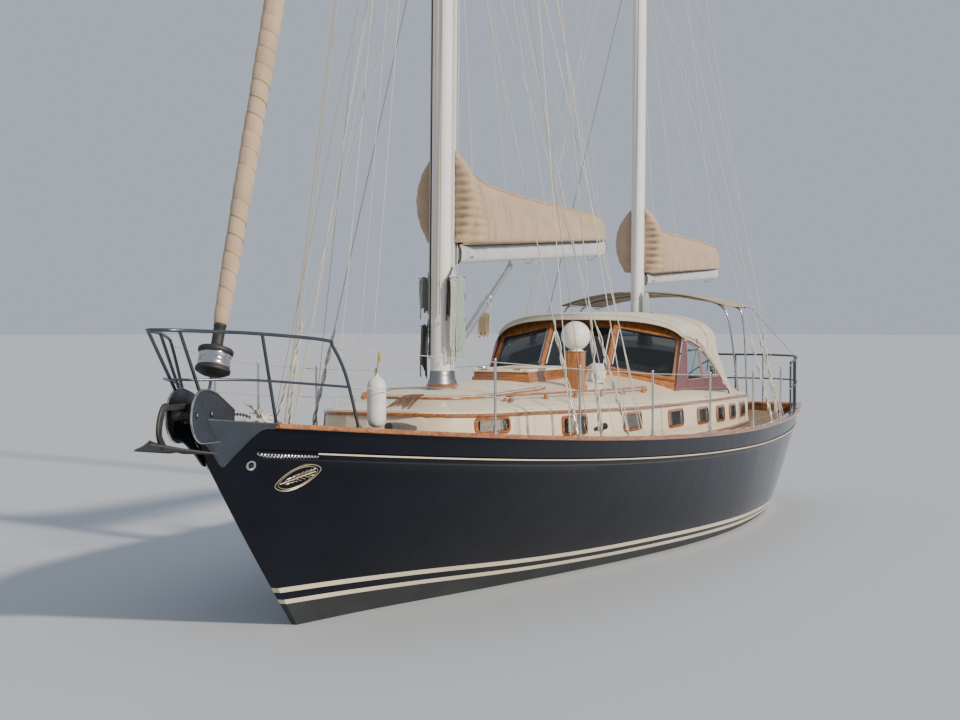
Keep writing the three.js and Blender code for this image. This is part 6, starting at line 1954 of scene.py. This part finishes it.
def makeStanding():
    for key in ("main", "mizzen"):
        mast = masts[key]
        arms = mast["arms"]
        low = arms[0][0] - 0.09
        for k, side in ((1, "port"), (-1, "starboard")):
            wire, screw = Shape(), Shape()
            feet = [at(a, k * (railHalf(a) - rig["inboard"]), sheer(a) - rig["below"])
                    for a in rig["plates"][key]]
            broad = mast["broad"] / 2 + 0.008
            tips = [mastSpot(mast, up + 0.06, -0.06, k * (half + 0.0087)) for up, half in arms]
            tops = [mastSpot(mast, low, 0.04, k * broad), None, mastSpot(mast, low, -0.04, k * broad)]
            for i in (0, 2):
                wireWithScrew(wire, screw, feet[i], tops[i])
            wireWithScrew(wire, screw, feet[1], tips[0])
            wire.tube(tips + [mastSpot(mast, mast["top"] - 0.22, 0, k * broad)], rig["wire"], 7)
            for up in [low] + [mast["top"] - 0.22]:
                screw.box(mastSpot(mast, up, 0.05, k * broad - 0.008) - Vector((0, 0, 0.03)),
                          mastSpot(mast, up, -0.05, k * broad + 0.006) + Vector((0, 0, 0.03)), 0.004)
            plates = rig["plates"][key]
            rows = []
            for a in [plates[0] - 0.06, (plates[0] + plates[2]) / 2, plates[2] + 0.06]:
                y0, y1, z = k * (railHalf(a) - 0.16), k * (railHalf(a) - 0.072), sheer(a) - 0.06
                rows.append([at(a, y0, z - 0.03), at(a, y1, z - 0.03), at(a, y1, z), at(a, y0, z)])
            screw.loft(rows)
            for foot in feet:
                screw.box(foot + Vector((-0.022, -0.006, -0.03)), foot + Vector((0.022, 0.006, 0.055)), 0.004)
                screw.tube([foot + Vector((0, -0.016, 0.03)), foot + Vector((0, 0.016, 0.03))], 0.007, 8)
            wire.make(key + "Wires_" + side, wireSteel, nodes=[key + "_shrouds_" + side],
                      slot="stainless_steel")
            screw.make(key + "Screws_" + side, steel, angle=50)
    link = Shape()
    a, b = mastSpot(masts["main"], 17.18, -0.11), mastSpot(masts["mizzen"], 12.84, 0.085)
    link.tube([a, b], 0.006, 7)
    link.make("triaticWire", wireSteel, nodes=["triatic_stay"], slot="stainless_steel")


def makeRunning():  # halyards, flag lines, lazy lines and topping lifts: taut lines as straight tubes
    pale, brown, coil = Shape(), Shape(), Shape()
    lifts = {"main": Shape(), "mizzen": Shape()}
    main, mizzen = masts["main"], masts["mizzen"]

    def taut(shape, a, b, radius=0.0055, sag=0.0):
        mid = a.lerp(b, 0.5) - Vector((0, 0, sag))
        shape.tube([a, mid, b] if sag else [a, b], radius, 6)

    for up, x, y in ((16.9, 0.155, 0.03), (16.9, 0.155, -0.03), (16.6, -0.16, 0.05), (16.6, -0.16, -0.05)):
        broad = mastSize(main, 3.0)[1]
        k = 1 if y > 0 else -1
        taut(brown if x > 0 else pale, mastSpot(main, 2.75, x + 0.01, y), mastSpot(main, up, x * 0.8, y),
             0.006)
        taut(pale, mastSpot(main, 2.7, x * 0.4, k * (broad + 0.014)),
             mastSpot(main, up - 1, x * 0.35, k * (broad + 0.010)), 0.0055)
    for up, x, y in ((12.5, 0.115, 0.02), (12.4, -0.12, -0.03)):
        taut(pale, mastSpot(mizzen, 2.9, x + 0.01, y), mastSpot(mizzen, up, x * 0.8, y), 0.0055)
    for k in (1, -1):  # flag lines from the spreaders to the rail, and lazy lines to the boom
        for i, (aft, share) in enumerate(((3.0, 0.62), (3.62, 0.42), (4.3, 0.8))):
            foot = at(aft, k * (railHalf(aft) - 0.10), sheer(aft) + 0.004)
            taut(pale if i else brown, foot, mastSpot(main, 7.62 + share * 0.05, -0.05 * share,
                                                      k * 1.08 * share), 0.004)
        for aft, share in ((10.35, 0.55), (10.9, 0.8)):
            foot = at(aft, k * (railHalf(aft) - 0.10), sheer(aft) + 0.004)
            taut(pale, foot, mastSpot(mizzen, 7.93, -0.05 * share, k * 0.72 * share), 0.004)
        for key, places, reach in (("main", (1.2, 2.6, 4.0), 9.8), ("mizzen", (1.3, 2.9), 7.4)):
            size = booms[key]
            for b in places:
                h = between(covers[key]["rows"], b, 1)
                foot = Vector((size["pin"] - b, k * (h * 0.93 + 0.006), size["up"] + size["rise"] * b + 0.24))
                mast = masts[key]
                taut(lifts[key], foot, mastSpot(mast, reach, -mast["long"] / 2 - 0.004, k * 0.06), 0.0035)
    for key, top in (("main", 17.0), ("mizzen", 12.6)):  # topping lift from the boom's end to the masthead
        size, mast = booms[key], masts[key]
        tail = Vector((size["pin"] - size["long"] + 0.01, 0,
                       size["up"] + size["rise"] * size["long"] + size["high"] / 2))
        taut(lifts[key], tail, mastSpot(mast, top, -mast["long"] / 2 + 0.02, 0), 0.004)
    for aft, port, out in ((3.62, -1, 0.58), (3.7, -1, 0.62), (2.62, 1, 0.9), (3.98, 1, 0.95), (4.4, 1, 0.7)):
        foot = at(aft, port * (railHalf(aft) - 0.10), sheer(aft) + 0.004)
        taut(pale, foot, mastSpot(main, 7.62, 0, port * out), 0.0052)
    for aft, out in ((2.95, 0.7), (3.42, 0.55)):  # two that come down to the coachroof
        taut(pale, at(aft, -1.0, roofUp(aft, 1.0) + 0.002), mastSpot(main, 7.62, 0, -out), 0.0052)
    horn = at(4.52, roofSide(4.52, 1.52) + 0.03, 1.52)  # a small dark horn on the coachroof's side
    coil.tube([horn, horn + Vector((-0.06, 0.006, 0.004)), horn + Vector((-0.2, 0.014, 0.010)),
               horn + Vector((-0.26, 0.016, 0.012))],
              [0.016, 0.02, 0.034, 0.038], 14)
    coil.tube([horn + Vector((-0.08, 0.005, 0)), horn + Vector((-0.08, -0.04, 0))], 0.012, 8)
    coil.make("deckHorn", blackRubber, angle=50)
    # line wound round the shrouds' lower ends
    for key, picks in (("main", (0, 1, 2)), ("mizzen", (0, 1, 2))):
        mast = masts[key]
        up, half = mast["arms"][0]
        for k in (1, -1):
            for i in picks:
                aft = rig["plates"][key][i]
                foot = at(aft, k * (railHalf(aft) - rig["inboard"]), sheer(aft) - rig["below"])
                head = mastSpot(mast, up, 0, k * mast["broad"] / 2)
                if i == 1:
                    head = mastSpot(mast, up + 0.06, -0.06, k * half)
                way = (head - foot).normalized()
                for strand in range(3):
                    route = []
                    for t in steps(60):
                        turn = 2 * pi * (2.2 * t + strand / 3) + i
                        route.append(foot + way * lerp(0.14, 1.28 - 0.12 * strand, t)
                                     + Vector((cos(turn), sin(turn),
                                               0)) * (0.017 + 0.006 * sin(17 * t + strand)))
                    pale.tube(route, 0.0066, 5)
    taut(brown, at(-0.6, 0.2, deckUp(-0.6, 0.2)), mastSpot(main, 16.2, 0.11, 0.05), 0.006)
    taut(pale, at(0.55, 0.45, deckUp(0.55, 0.45)), mastSpot(main, 13.1, 0.11, 0.05), 0.0045)

    across, toward = Vector((-0.3665, 0.9304, 0)), Vector((0.9304, 0.3665, 0))
    pegs = Shape()

    # one line made up and hung on a peg
    def hank(name, mast, up, ahead, port, drop, turns, finish, seed, radius=0.0058):
        rng = random.Random(seed)
        apart, bend = radius * 2.2, radius * 4.4
        away = across * copysign(1, port)  # the turns lie side by side, away from the mast
        head = mastSpot(mast, up, ahead, port) - away * (apart * turns / 2)
        out = mastSpot(mast, up + 0.13, ahead * 0.4, copysign(mastSize(mast, up)[1] + radius, port))
        # it comes out of the mast and drops to the first turn
        lead = head + toward * bend + Vector((0, 0, -0.005))
        route = smoothPath([out, out.lerp(lead, 0.45) + Vector((0, copysign(0.012, port), 0.01)), lead,
                            lead - Vector((0, 0, 0.02))], 5)

        def add(shift, out, down):
            wave = 0.010 * sin(5.5 * down + seed) * min(down * 4, 1) if down > 0 else 0
            sunk = 0.045 * abs(2 * shift / (apart * (turns - 1)) - 1) ** 2.5  # the outer turns hang lower
            route.append(head + away * (shift + wave) + toward * (out + 0.4 * wave)
                         - Vector((0, 0, down + sunk)))

        for k in range(turns):
            deep = drop * rng.uniform(0.72, 1.0)
            for t in range(16):
                add(apart * k, bend, deep * t / 16)
            for t in range(8):
                turn = pi * t / 8
                add(apart * k, bend * cos(turn), deep + bend * sin(turn))
            for t in range(16):
                add(apart * k, -bend, deep * (1 - t / 16))
            if k < turns - 1:
                for t in range(8):
                    turn = pi * t / 8
                    add(apart * (k + t / 8), -bend * cos(turn), -bend * sin(turn))
        shape = Shape()
        shape.tube(route, radius, 7)
        piece = shape.make(name, finish, angle=60)
        eye = Vector((0, 0, bend - radius - 0.008))
        near, far = head - away * 0.012 + eye, head + away * (apart * turns + 0.004) + eye
        pegs.tube([mastSpot(mast, near.z, ahead * 0.4, copysign(mastSize(mast, up)[1] - 0.01, port)), near,
                   far], 0.007, 8)

    hank("halyardHank_dark_1", main, 3.12, 0.05, -0.205, 0.36, 8, slateRope, 3)
    hank("halyardHank_dark_2", main, 2.62, 0.05, -0.195, 0.50, 6, darkRope, 6)
    hank("halyardHank_dark_3", main, 3.12, 0.13, 0.125, 0.42, 3, darkRope, 9)
    hank("halyardHank_green", main, 3.13, 0.12, 0.245, 0.95, 8, greenRope, 4)
    hank("halyardHank_pale", main, 3.10, 0.16, 0.185, 0.80, 4, whiteRope, 8)
    hank("halyardHank_mizzen", mizzen, 2.98, 0.08, 0.15, 0.52, 7, greenRope, 5)
    pegs.make("halyardPegs", steel, angle=50)
    rng = random.Random(12)
    for i in range(16):  # a brown fringe of line ends over the coachroof's fore edge
        y = rng.uniform(-0.06, 0.26)
        end = at(rng.uniform(2.02, 2.3), y, 0)
        middle = at(2.45, lerp(0.1, y, 0.6), 0)
        route = [at(2.72, 0.1, roofUp(2.72, 0.1) + 0.05), middle, end]
        for p, lift in zip(route[1:], (rng.uniform(0.03, 0.07), 0.010)):
            p.z = roofUp(stemX - p.x, abs(p.y)) + lift
        brown.tube(smoothPath(route, 5), 0.0065, 6, 1)
    # the lifts are drawn in place and fixed to no body
    for key, high, low in (("main", 9.6, 4.2), ("mizzen", 7.3, 4.0)):
        piece = lifts[key].make(key + "Lifts", whiteRope, body=None, angle=60)
        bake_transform(piece)
    pale.make("runningLines", whiteRope, angle=60)
    brown.make("runningLines_tan", [tanRope, brownRope], angle=60)


def makeVang():
    strut, ends = Shape(), Shape()
    pin = Vector((booms["main"]["pin"], 0, 2.32))
    under = booms["main"]["up"] + 0.037 * 1.78 - 0.0951
    tip = Vector((booms["main"]["pin"] - 1.78, 0, under - 0.07))
    way = (tip - pin).normalized()
    whole = (tip - pin).length
    strut.tube([pin + way * 0.05, pin + way * (whole * 0.62)], 0.0415, 28)
    strut.lathe([(0.0415, 0.0), (0.044, 0.004), (0.044, 0.03), (0.036, 0.036)],
                pin + way * (whole * 0.62 - 0.012), way, 28)
    strut.tube([pin + way * (whole * 0.6), pin + way * (whole - 0.015)], 0.031, 24)
    ends.lathe([(0.0, -0.044), (0.02, -0.042), (0.03, -0.03), (0.043, -0.01), (0.0435, 0.06),
                (0.042, 0.066)], pin, way, 28)
    ends.lathe([(0.033, -0.06), (0.035, -0.055), (0.035, 0.0), (0.02, 0.012), (0.0, 0.014)], tip, way, 24)
    ends.box(tip + Vector((-0.018, -0.012, -0.02)), tip + Vector((0.04, 0.012, 0.066)), 0.004)
    ends.tube([tip + Vector((0.01, -0.03, 0.02)), tip + Vector((0.01, 0.03, 0.02))], 0.008, 10)
    strut.make("vangStrut", sparAlloy, body="main_boom", nodes=["main_vang"], slot="white_spars")
    ends.make("vangEnds", steel, body="main_boom")

    coil, strop = Shape(), Shape()  # one line made up in a coil, hung on a strop round the strut
    bend, side, apart, turns = 0.033, 0.204, 0.0136, 8
    hook = pin + way * (whole * 0.55)
    head = hook + Vector((bend, -apart * turns / 2, -0.13))  # the top of the fore runs
    route = [head + Vector((0, 0, 0.088)), head + Vector((0, 0, 0.06)), head + Vector((0, 0, 0.03))]
    for k in range(turns):
        deep = side * (0.98 - 0.2 * abs(sin(2.3 * k)))
        once = [(0, -deep * t / 4, 0) for t in range(4)]
        once += [(-bend + bend * cos(pi * t / 8), -deep - bend * sin(pi * t / 8), 0) for t in range(8)]
        once += [(-2 * bend, -deep + deep * t / 4, 0) for t in range(4)]
        once += [(-bend - bend * cos(pi * t / 8), bend * sin(pi * t / 8), t / 8) for t in range(8)]
        for out, up, share in once:
            lean = 0.012 * sin(9 * up) if up < 0 else 0
            route.append(head + Vector((out + lean, apart * (k + share) + lean, up)))
    coil.tube(route, 0.00625, 7)
    ring = [hook + Vector((0, 0.064 * cos(t), -0.022 + 0.068 * sin(t)))
            for t in [2 * pi * k / 28 for k in range(28)]]
    strop.tube(ring + ring[:2], 0.005, 6)
    tie = strop.make("vangStrop", whiteRope, body="main_boom", angle=60)
    piece = coil.make("vangCoil", tanRope, body="main_boom", angle=60)


makeFurler()
makeStanding()
makeRunning()
makeVang()
print("rigging made")


# Canopy over the aft deck: one stretched cloth on bent tubes
canopy = {"front": 10.66, "back": 12.33, "half": 1.2, "thick": 0.026, "crown": 3.025, "edge": 2.835,
          "foot": (11.64, 1.26)}


def canopyUp(share, across):
    droop = 0.18 * max(0, share - 0.8)
    return lerp(canopy["crown"] - 0.03 * share, canopy["edge"] - 0.02 * share, abs(across) ** 2.2) - droop


def makeCanopy():
    cloth, seams, frame = Shape(), Shape(), Shape()
    count, wide = 26, 40
    rows = []
    for i in range(count + 1):
        share = i / count
        row = []
        for j in range(wide + 1):
            across = lerp(-1, 1, j / wide)
            slack = 0.010 * sin(pi * min(1, abs(share - 0.06) / 0.46)) * (1 - across * across)
            scallop = 0.02 * sin(pi * share) if abs(across) > 0.97 else 0.0
            up = canopyUp(share, across) - slack - 0.004
            row.append(at(lerp(canopy["front"], canopy["back"], share), across * (canopy["half"] - scallop),
                          up))
        rows.append(row)
    cloth.loft([row + [p - Vector((0, 0, 0.006)) for p in reversed(row)] for row in rows], 0)
    for share in (0.005, 0.06, 0.52, 0.995):  # pockets and hems, sewn round the tubes
        line = [at(lerp(canopy["front"], canopy["back"], share), lerp(-1, 1, t) * (canopy["half"] - 0.012),
                   canopyUp(share, lerp(-1, 1, t)) - 0.004) for t in steps(40)]
        seams.tube(line, 0.008, 8)
    for k in (1, -1):
        line = [at(lerp(canopy["front"], canopy["back"], t), k * (canopy["half"] - 0.006),
                   canopyUp(t, 1) - 0.008) for t in steps(30)]
        seams.tube(line, 0.009, 8)
    below = canopy["thick"] + 0.012

    def overhead(share, t):
        return at(lerp(canopy["front"], canopy["back"], share), t * canopy["half"],
                  canopyUp(share, t) - below)

    for share, feet in ((0.06, [(10.8, k * 1.33, roofUp(10.8, 1.33)) for k in (-1, 1)]),
                        (0.52, [(canopy["foot"][0], k * canopy["foot"][1], deckAt(canopy["foot"][0]) + 0.012)
                                for k in (-1, 1)])):
        aft = lerp(canopy["front"], canopy["back"], share)
        shoulders = [(lerp(f[0], aft, 0.9), copysign(canopy["half"] + 0.02, f[1]), 2.56) for f in feet]
        path = [at(*feet[0]), at(*shoulders[0])] + [overhead(share, t)
                                                    for t in (-0.9, -0.6, -0.3, 0, 0.3, 0.6, 0.9)]
        path += [at(*shoulders[1]), at(*feet[1])]
        frame.tube(smoothPath(path, 6), 0.0128, 12)
        for f in feet:
            frame.lathe([(0.0, 0.0), (0.032, 0.0), (0.032, 0.005), (0.018, 0.009), (0.017, 0.03),
                         (0.013, 0.034)], at(*f), sides=18)
    for t in (-0.9, 0.9):
        frame.tube([overhead(0.06, t), overhead(0.94, t)], 0.0125, 10)
    for k in (1, -1):  # straps that pull the after edge down to the stern rail
        a = at(canopy["back"] - 0.01, k * 1.15, canopyUp(1, 0.96) - 0.02)
        frame.tube([a, at(12.86, k * (railHalf(12.86) - 0.075), sheer(12.86) + 0.7)], 0.0045, 6)
    top = cloth.make("canopyCloth", canvas("canopyCanvas", (0.50, 0.41, 0.30), (0.36, 0.29, 0.21),
                                           roughness=0.95, folds=0.005),
                     nodes=["canopy_top"], slot="tan_canvas", angle=60)
    seams.make("canopyHems", coverTrim, angle=60)
    frame.make("canopyTubes", steel, nodes=["canopy_frame"], slot="stainless_steel", angle=50)


# Cockpit: pads on the seats, the helm, two doors
cockpit = {"seat": (8.62, 9.99, 0.42, 1.17, 1.38), "wheel": (9.33, 1.56, 0.33), "well": (8.62, 9.86, 0.93),
           "door": (8.6206, 0.026, 0.27, 0.005, 1.0, 1.86)}


def makePads():
    a, b, inner, outer, up = cockpit["seat"]
    for k, side in ((1, "port"), (-1, "starboard")):
        for part, (s0, s1) in enumerate(((a + 0.02, (a + b) / 2 - 0.006), ((a + b) / 2 + 0.006, b - 0.02))):
            pad, piping = Shape(), Shape()
            low, high = (s0, inner + 0.015, up + 0.002), (s1, outer - 0.02, up + 0.078)
            count = 14
            rows = []
            for i in range(count + 1):
                row = []
                for j in range(count + 1):
                    u, v = lerp(-1, 1, i / count), lerp(-1, 1, j / count)
                    crown = 0.020 * (1 - u ** 4) * (1 - v ** 4)
                    s = lerp(low[0], high[0], i / count) + copysign(0.010 * (1 - v * v) * abs(u) ** 6, -u)
                    y = lerp(low[1], high[1], j / count) + copysign(0.010 * (1 - u * u) * abs(v) ** 6, -v)
                    row.append((s, k * y, high[2] - 0.014 + crown - 0.016 * max(abs(u), abs(v)) ** 10))
                rows.append(row)
            rim = [rows[0][j] for j in range(count + 1)] + [rows[i][count] for i in range(1, count + 1)]
            rim += [rows[count][j] for j in range(count - 1, -1, -1)]
            rim += [rows[i][0] for i in range(count - 1, 0, -1)]
            base = len(pad.verts)
            pad.verts.extend([at(*p) for row in rows for p in row])
            for i in range(count):
                for j in range(count):
                    p = base + i * (count + 1) + j
                    pad.face((p, p + 1, p + count + 2, p + count + 1))
            ring = [at(*p) for p in rim]
            middle = at((s0 + s1) / 2, k * (inner + outer) / 2, 0)

            def outward(p, grow, z):
                way = Vector((p.x - middle.x, p.y - middle.y, 0)).normalized()
                return Vector((p.x + way.x * grow, p.y + way.y * grow, z))

            pad.loft([ring, [outward(p, 0.004, p.z - 0.012) for p in ring],
                      [outward(p, 0.004, up + 0.02) for p in ring],
                      [outward(p, -0.006, up + 0.002) for p in ring]], caps=False)
            pad.verts.extend([outward(p, -0.006, up + 0.002) for p in ring])
            total = len(pad.verts)
            pad.face(tuple(range(total - len(ring), total)))
            for z in (-0.004, None):
                line = [outward(p, 0.005, p.z - 0.004 if z else up + 0.018) for p in ring]
                piping.tube(line + line[:2], 0.004, 6)
            name = "seatPad_" + side + "_" + str(part + 1)
            piece = pad.make(name, seatCloth, angle=60)
            piping.make("seatPiping_" + side + "_" + str(part + 1), stitching, angle=60)


def makeHelm():
    s, z, radius = cockpit["wheel"]
    column, ring, box = Shape(), Shape(), Shape()
    rows = [(0.0, 0.11, 0.085), (0.02, 0.11, 0.085), (0.03, 0.095, 0.07), (0.30, 0.085, 0.062),
            (0.62, 0.09, 0.07), (0.70, 0.108, 0.083), (0.745, 0.108, 0.083), (0.757, 0.10, 0.075)]
    middle = s - 0.145
    column.loft([[at(middle + d * copysign(abs(cos(t)) ** 0.5, cos(t)),
                     h * copysign(abs(sin(t)) ** 0.5, sin(t)), 0.9306 + up)
                  for t in [2 * pi * k / 40 for k in range(40)]] for up, h, d in rows])
    box.tube([at(s - 0.14, 0, z), at(s - 0.030, 0, z)], 0.044, 24)
    box.lathe([(0.0, 0.0), (0.075, 0.0), (0.078, 0.012), (0.07, 0.04), (0.045, 0.062), (0.0, 0.066)],
              at(middle, 0, 1.6875), sides=32)
    box.torus(at(middle, 0, 1.70), (0, 0, 1), 0.082, 0.006, 8, 32)
    hoop = [at(middle - 0.06, -0.10, 1.62), at(middle - 0.07, -0.115, 1.80), at(middle - 0.07, 0, 1.86),
            at(middle - 0.07, 0.115, 1.80), at(middle - 0.06, 0.10, 1.62)]
    box.tube(smoothPath(hoop, 8), 0.011, 10)
    ring.torus(at(s, 0, z), (1, 0, 0), radius, 0.0148, 14, 72)
    ring.lathe([(0.0, -0.028), (0.040, -0.028), (0.042, -0.015), (0.042, 0.012), (0.036, 0.02),
                (0.02, 0.026), (0.0, 0.027)],
               at(s, 0, z), (-1, 0, 0), 32)
    for k in range(6):
        angle = pi * k / 3
        way = Vector((0, sin(angle), cos(angle)))
        hub = at(s, 0, z)
        ring.tube([hub + way * 0.03, hub + way * (radius * 0.5) + Vector((0.004, 0, 0)),
                   hub + way * (radius - 0.008)], 0.0088, 10)
    column.make("helmColumn", whitePaint, nodes=["helm_pedestal"], slot="white_spars", angle=50)
    box.make("helmCompass", steel, angle=45)
    ring.make("helmWheel", steel, body="wheel", nodes=["steering_wheel"], slot="stainless_steel", angle=45)


def makeDoors():
    s, thick, outer, inner, low, high = cockpit["door"]
    for k, side in ((1, "port"), (-1, "starboard")):
        leaf, slats = Shape(), Shape()
        edge = 0.052
        back = s + thick
        for y0, y1, z0, z1 in ((inner, inner + edge, low, high), (outer - edge, outer, low, high),
                               (inner + edge, outer - edge, low, low + 0.09),
                               (inner + edge, outer - edge, high - 0.06, high),
                               (inner + edge, outer - edge, low + 0.44, low + 0.50)):
            bar(leaf, (s, back), (k * y0, k * y1), (z0, z1), 0.003)
        count = 9
        for i in range(count):  # louvres in the upper part
            z = lerp(low + 0.515, high - 0.085, i / (count - 1))
            slats.loft([[at(s + 0.004, k * y, z + 0.012), at(s + 0.008, k * y, z + 0.015),
                         at(back - 0.004, k * y, z - 0.008), at(back - 0.008, k * y, z - 0.011)]
                        for y in (inner + edge, outer - edge)])
        bar(slats, (s + 0.007, back - 0.007), (k * (inner + edge), k * (outer - edge)),
            (low + 0.09, low + 0.44), 0.002)
        leaf.make("doorFrame_" + side, varnishUp, body="cabin_door_" + side, nodes=["cabin_door_" + side],
                  slot="varnished_wood")
        slats.make("doorSlats_" + side, varnishAcross, body="cabin_door_" + side)
        knob = Shape()
        knob.lathe([(0.0, 0.0), (0.018, 0.0), (0.018, 0.003), (0.007, 0.006), (0.007, 0.018), (0.014, 0.024),
                    (0.015, 0.032), (0.0, 0.037)],
                   at(back, k * (inner + 0.026), low + 0.47), (-1, 0, 0), 20)
        knob.make("doorKnob_" + side, brass, body="cabin_door_" + side)


makeCanopy()
makePads()
makeHelm()
makeDoors()
print("canopy and cockpit made")


# The fender on its lanyard
fender = {"aft": -0.09, "profile": [(0.0, 0.0), (0.022, 0.0), (0.04, 0.004), (0.060, 0.018), (0.076, 0.042),
                                    (0.0835, 0.075), (0.084, 0.12), (0.084, 0.33), (0.0825, 0.365),
                                    (0.075, 0.395), (0.056, 0.425), (0.030, 0.442), (0.017, 0.449),
                                    (0.016, 0.475), (0.006, 0.480), (0.0, 0.480)]}


def makeFender():
    body, eye = Shape(), Shape()
    a = fender["aft"]
    foot = at(a, railHalf(a) - 0.19, sheer(a) + 0.012)
    body.lathe(fender["profile"], foot, sides=44)
    for h in (0.10, 0.345):
        body.torus(foot + Vector((0, 0, h)), (0, 0, 1), 0.0825, 0.0028, 6, 44)
    start, end = at(-0.772, 0.78, sheer(-0.772) + 0.66), at(1.2, standOn(1.2), sheer(1.2) + 0.66)
    wire = start.lerp(end, (a - 0.17 + 0.772) / 1.972)
    eye.tube([foot + Vector((0, 0, 0.455)), wire - Vector((0, 0, 0.008))], 0.0058, 8)
    for i in range(5):
        eye.torus(wire - Vector((0, 0, 0.03 + 0.013 * i)), (0.2, 0.1, 1), 0.012, 0.0052, 6, 14)
    eye.torus(wire - Vector((0, 0, 0.004)), (0.1, 0, 1), 0.012, 0.0055, 6, 14)
    eye.torus(foot + Vector((0, 0, 0.463)), (0, 1, 0), 0.016, 0.0055, 6, 14)
    body.make("fenderBody", paint("fenderVinyl", (0.76, 0.75, 0.71), (0.58, 0.57, 0.53), 0.42, 0.1, 9.0,
                                  0.0012), nodes=["fender"],
              slot="white_vinyl", angle=50)
    eye.make("fenderLanyard", paint("yellowLine", (0.62, 0.48, 0.16), (0.45, 0.34, 0.12), 0.85, 0.0, 60.0,
                                    0.002), angle=60)


# Below the water: rudder and propeller
under = {"stock": 11.56, "rows": [-2.06, -1.7, -1.2, -0.8, -0.445], "hub": (11.22, 11.37, -0.86)}


def makeRudder():
    blade, straps = Shape(), Shape()

    def section(z, chord):
        points = []
        for x, y in ((-0.10, 0.0), (-0.09, 0.018), (-0.05, 0.029), (0.0, 0.034), (0.3, 0.028), (0.62, 0.017),
                     (0.9, 0.007), (1.0, 0.003)):
            points.append((under["stock"] + x * chord if x > 0 else under["stock"] + x * 0.62, y))
        loop = points + [(a, -y) for a, y in reversed(points[1:])]
        return [at(a, y, z) for a, y in loop]

    rows = []
    for t in steps(24):
        z = lerp(under["rows"][0], under["rows"][-1], t)
        chord = 0.62 * (0.72 + 0.28 * sin(pi * min(1, (-0.42 - z) / 1.5))) - 0.004
        rows.append(section(z, chord))
    blade.loft(rows)
    blade.tube([at(under["stock"], 0, -0.46), at(under["stock"], 0, 0.38)], 0.039, 28)
    for z in (-0.62, -1.25, -1.85):
        straps.loft([[at(under["stock"] + s, k * y, z + h)
                      for s, y, h in ((-0.06, 0.028, -0.035), (0.20, 0.033, -0.022), (0.20, 0.033, 0.022),
                                                                        (-0.06, 0.028, 0.035))]
                     for k in (-1, 1)])
    blade.make("rudderBlade", antifoul, body="rudder", nodes=["rudder"], slot="antifouling_paint", angle=40)
    straps.make("rudderStraps", bronze, body="rudder", angle=40)


def makePropeller():
    screw, shaft = Shape(), Shape()
    a, b, z = under["hub"]
    hub = [(0.0, 0.0), (0.044, 0.0), (0.048, 0.006), (0.046, 0.05), (0.040, 0.10), (0.031, 0.144),
           (0.022, 0.150)]
    screw.lathe(hub, at(a, 0, z), (-1, 0, 0), 36)
    screw.lathe([(0.0, 0.060), (0.010, 0.056), (0.022, 0.036), (0.024, 0.0)], at(b, 0, z), (-1, 0, 0), 24)
    for k in range(3):
        turn = 2 * pi * k / 3
        out = Vector((0, sin(turn), cos(turn)))
        side = Vector((0, cos(turn), -sin(turn)))
        rings = []
        for i in range(12):
            r = lerp(0.036, 0.268, i / 11)
            half = 0.064 * between([(0, 0.45), (0.3, 0.85), (0.6, 1.0), (0.85, 0.75), (1, 0.12)], i / 11)
            pitch = lerp(0.95, 0.42, i / 11)
            thick = lerp(0.0085, 0.002, i / 11)
            chord = Vector((-sin(pitch), 0, 0)) + side * cos(pitch)
            face = Vector((cos(pitch), 0, 0)) + side * sin(pitch)
            middle = at((a + b) / 2, 0, z) + out * r
            rings.append([middle + chord * (half * x) + face * (thick * y)
                          for x, y in ((-1, 0), (-0.6, 0.8), (0, 1), (0.6, 0.8), (1, 0), (0.6, -0.5),
                                       (0, -0.6), (-0.6, -0.5))])
        screw.loft(rings)
    shaft.tube([at(10.65, 0, z), at(a + 0.004, 0, z)], 0.0238, 24)
    shaft.lathe([(0.024, -0.05), (0.055, -0.045), (0.06, -0.02), (0.06, 0.03), (0.05, 0.04), (0.024, 0.042)],
                at(11.02, 0, z), (-1, 0, 0), 28)
    screw.make("propellerScrew", bronze, body="propeller", nodes=["propeller"], slot="bronze", angle=40)


makeFender()
makeRudder()
makePropeller()
print("fender, rudder and propeller made")
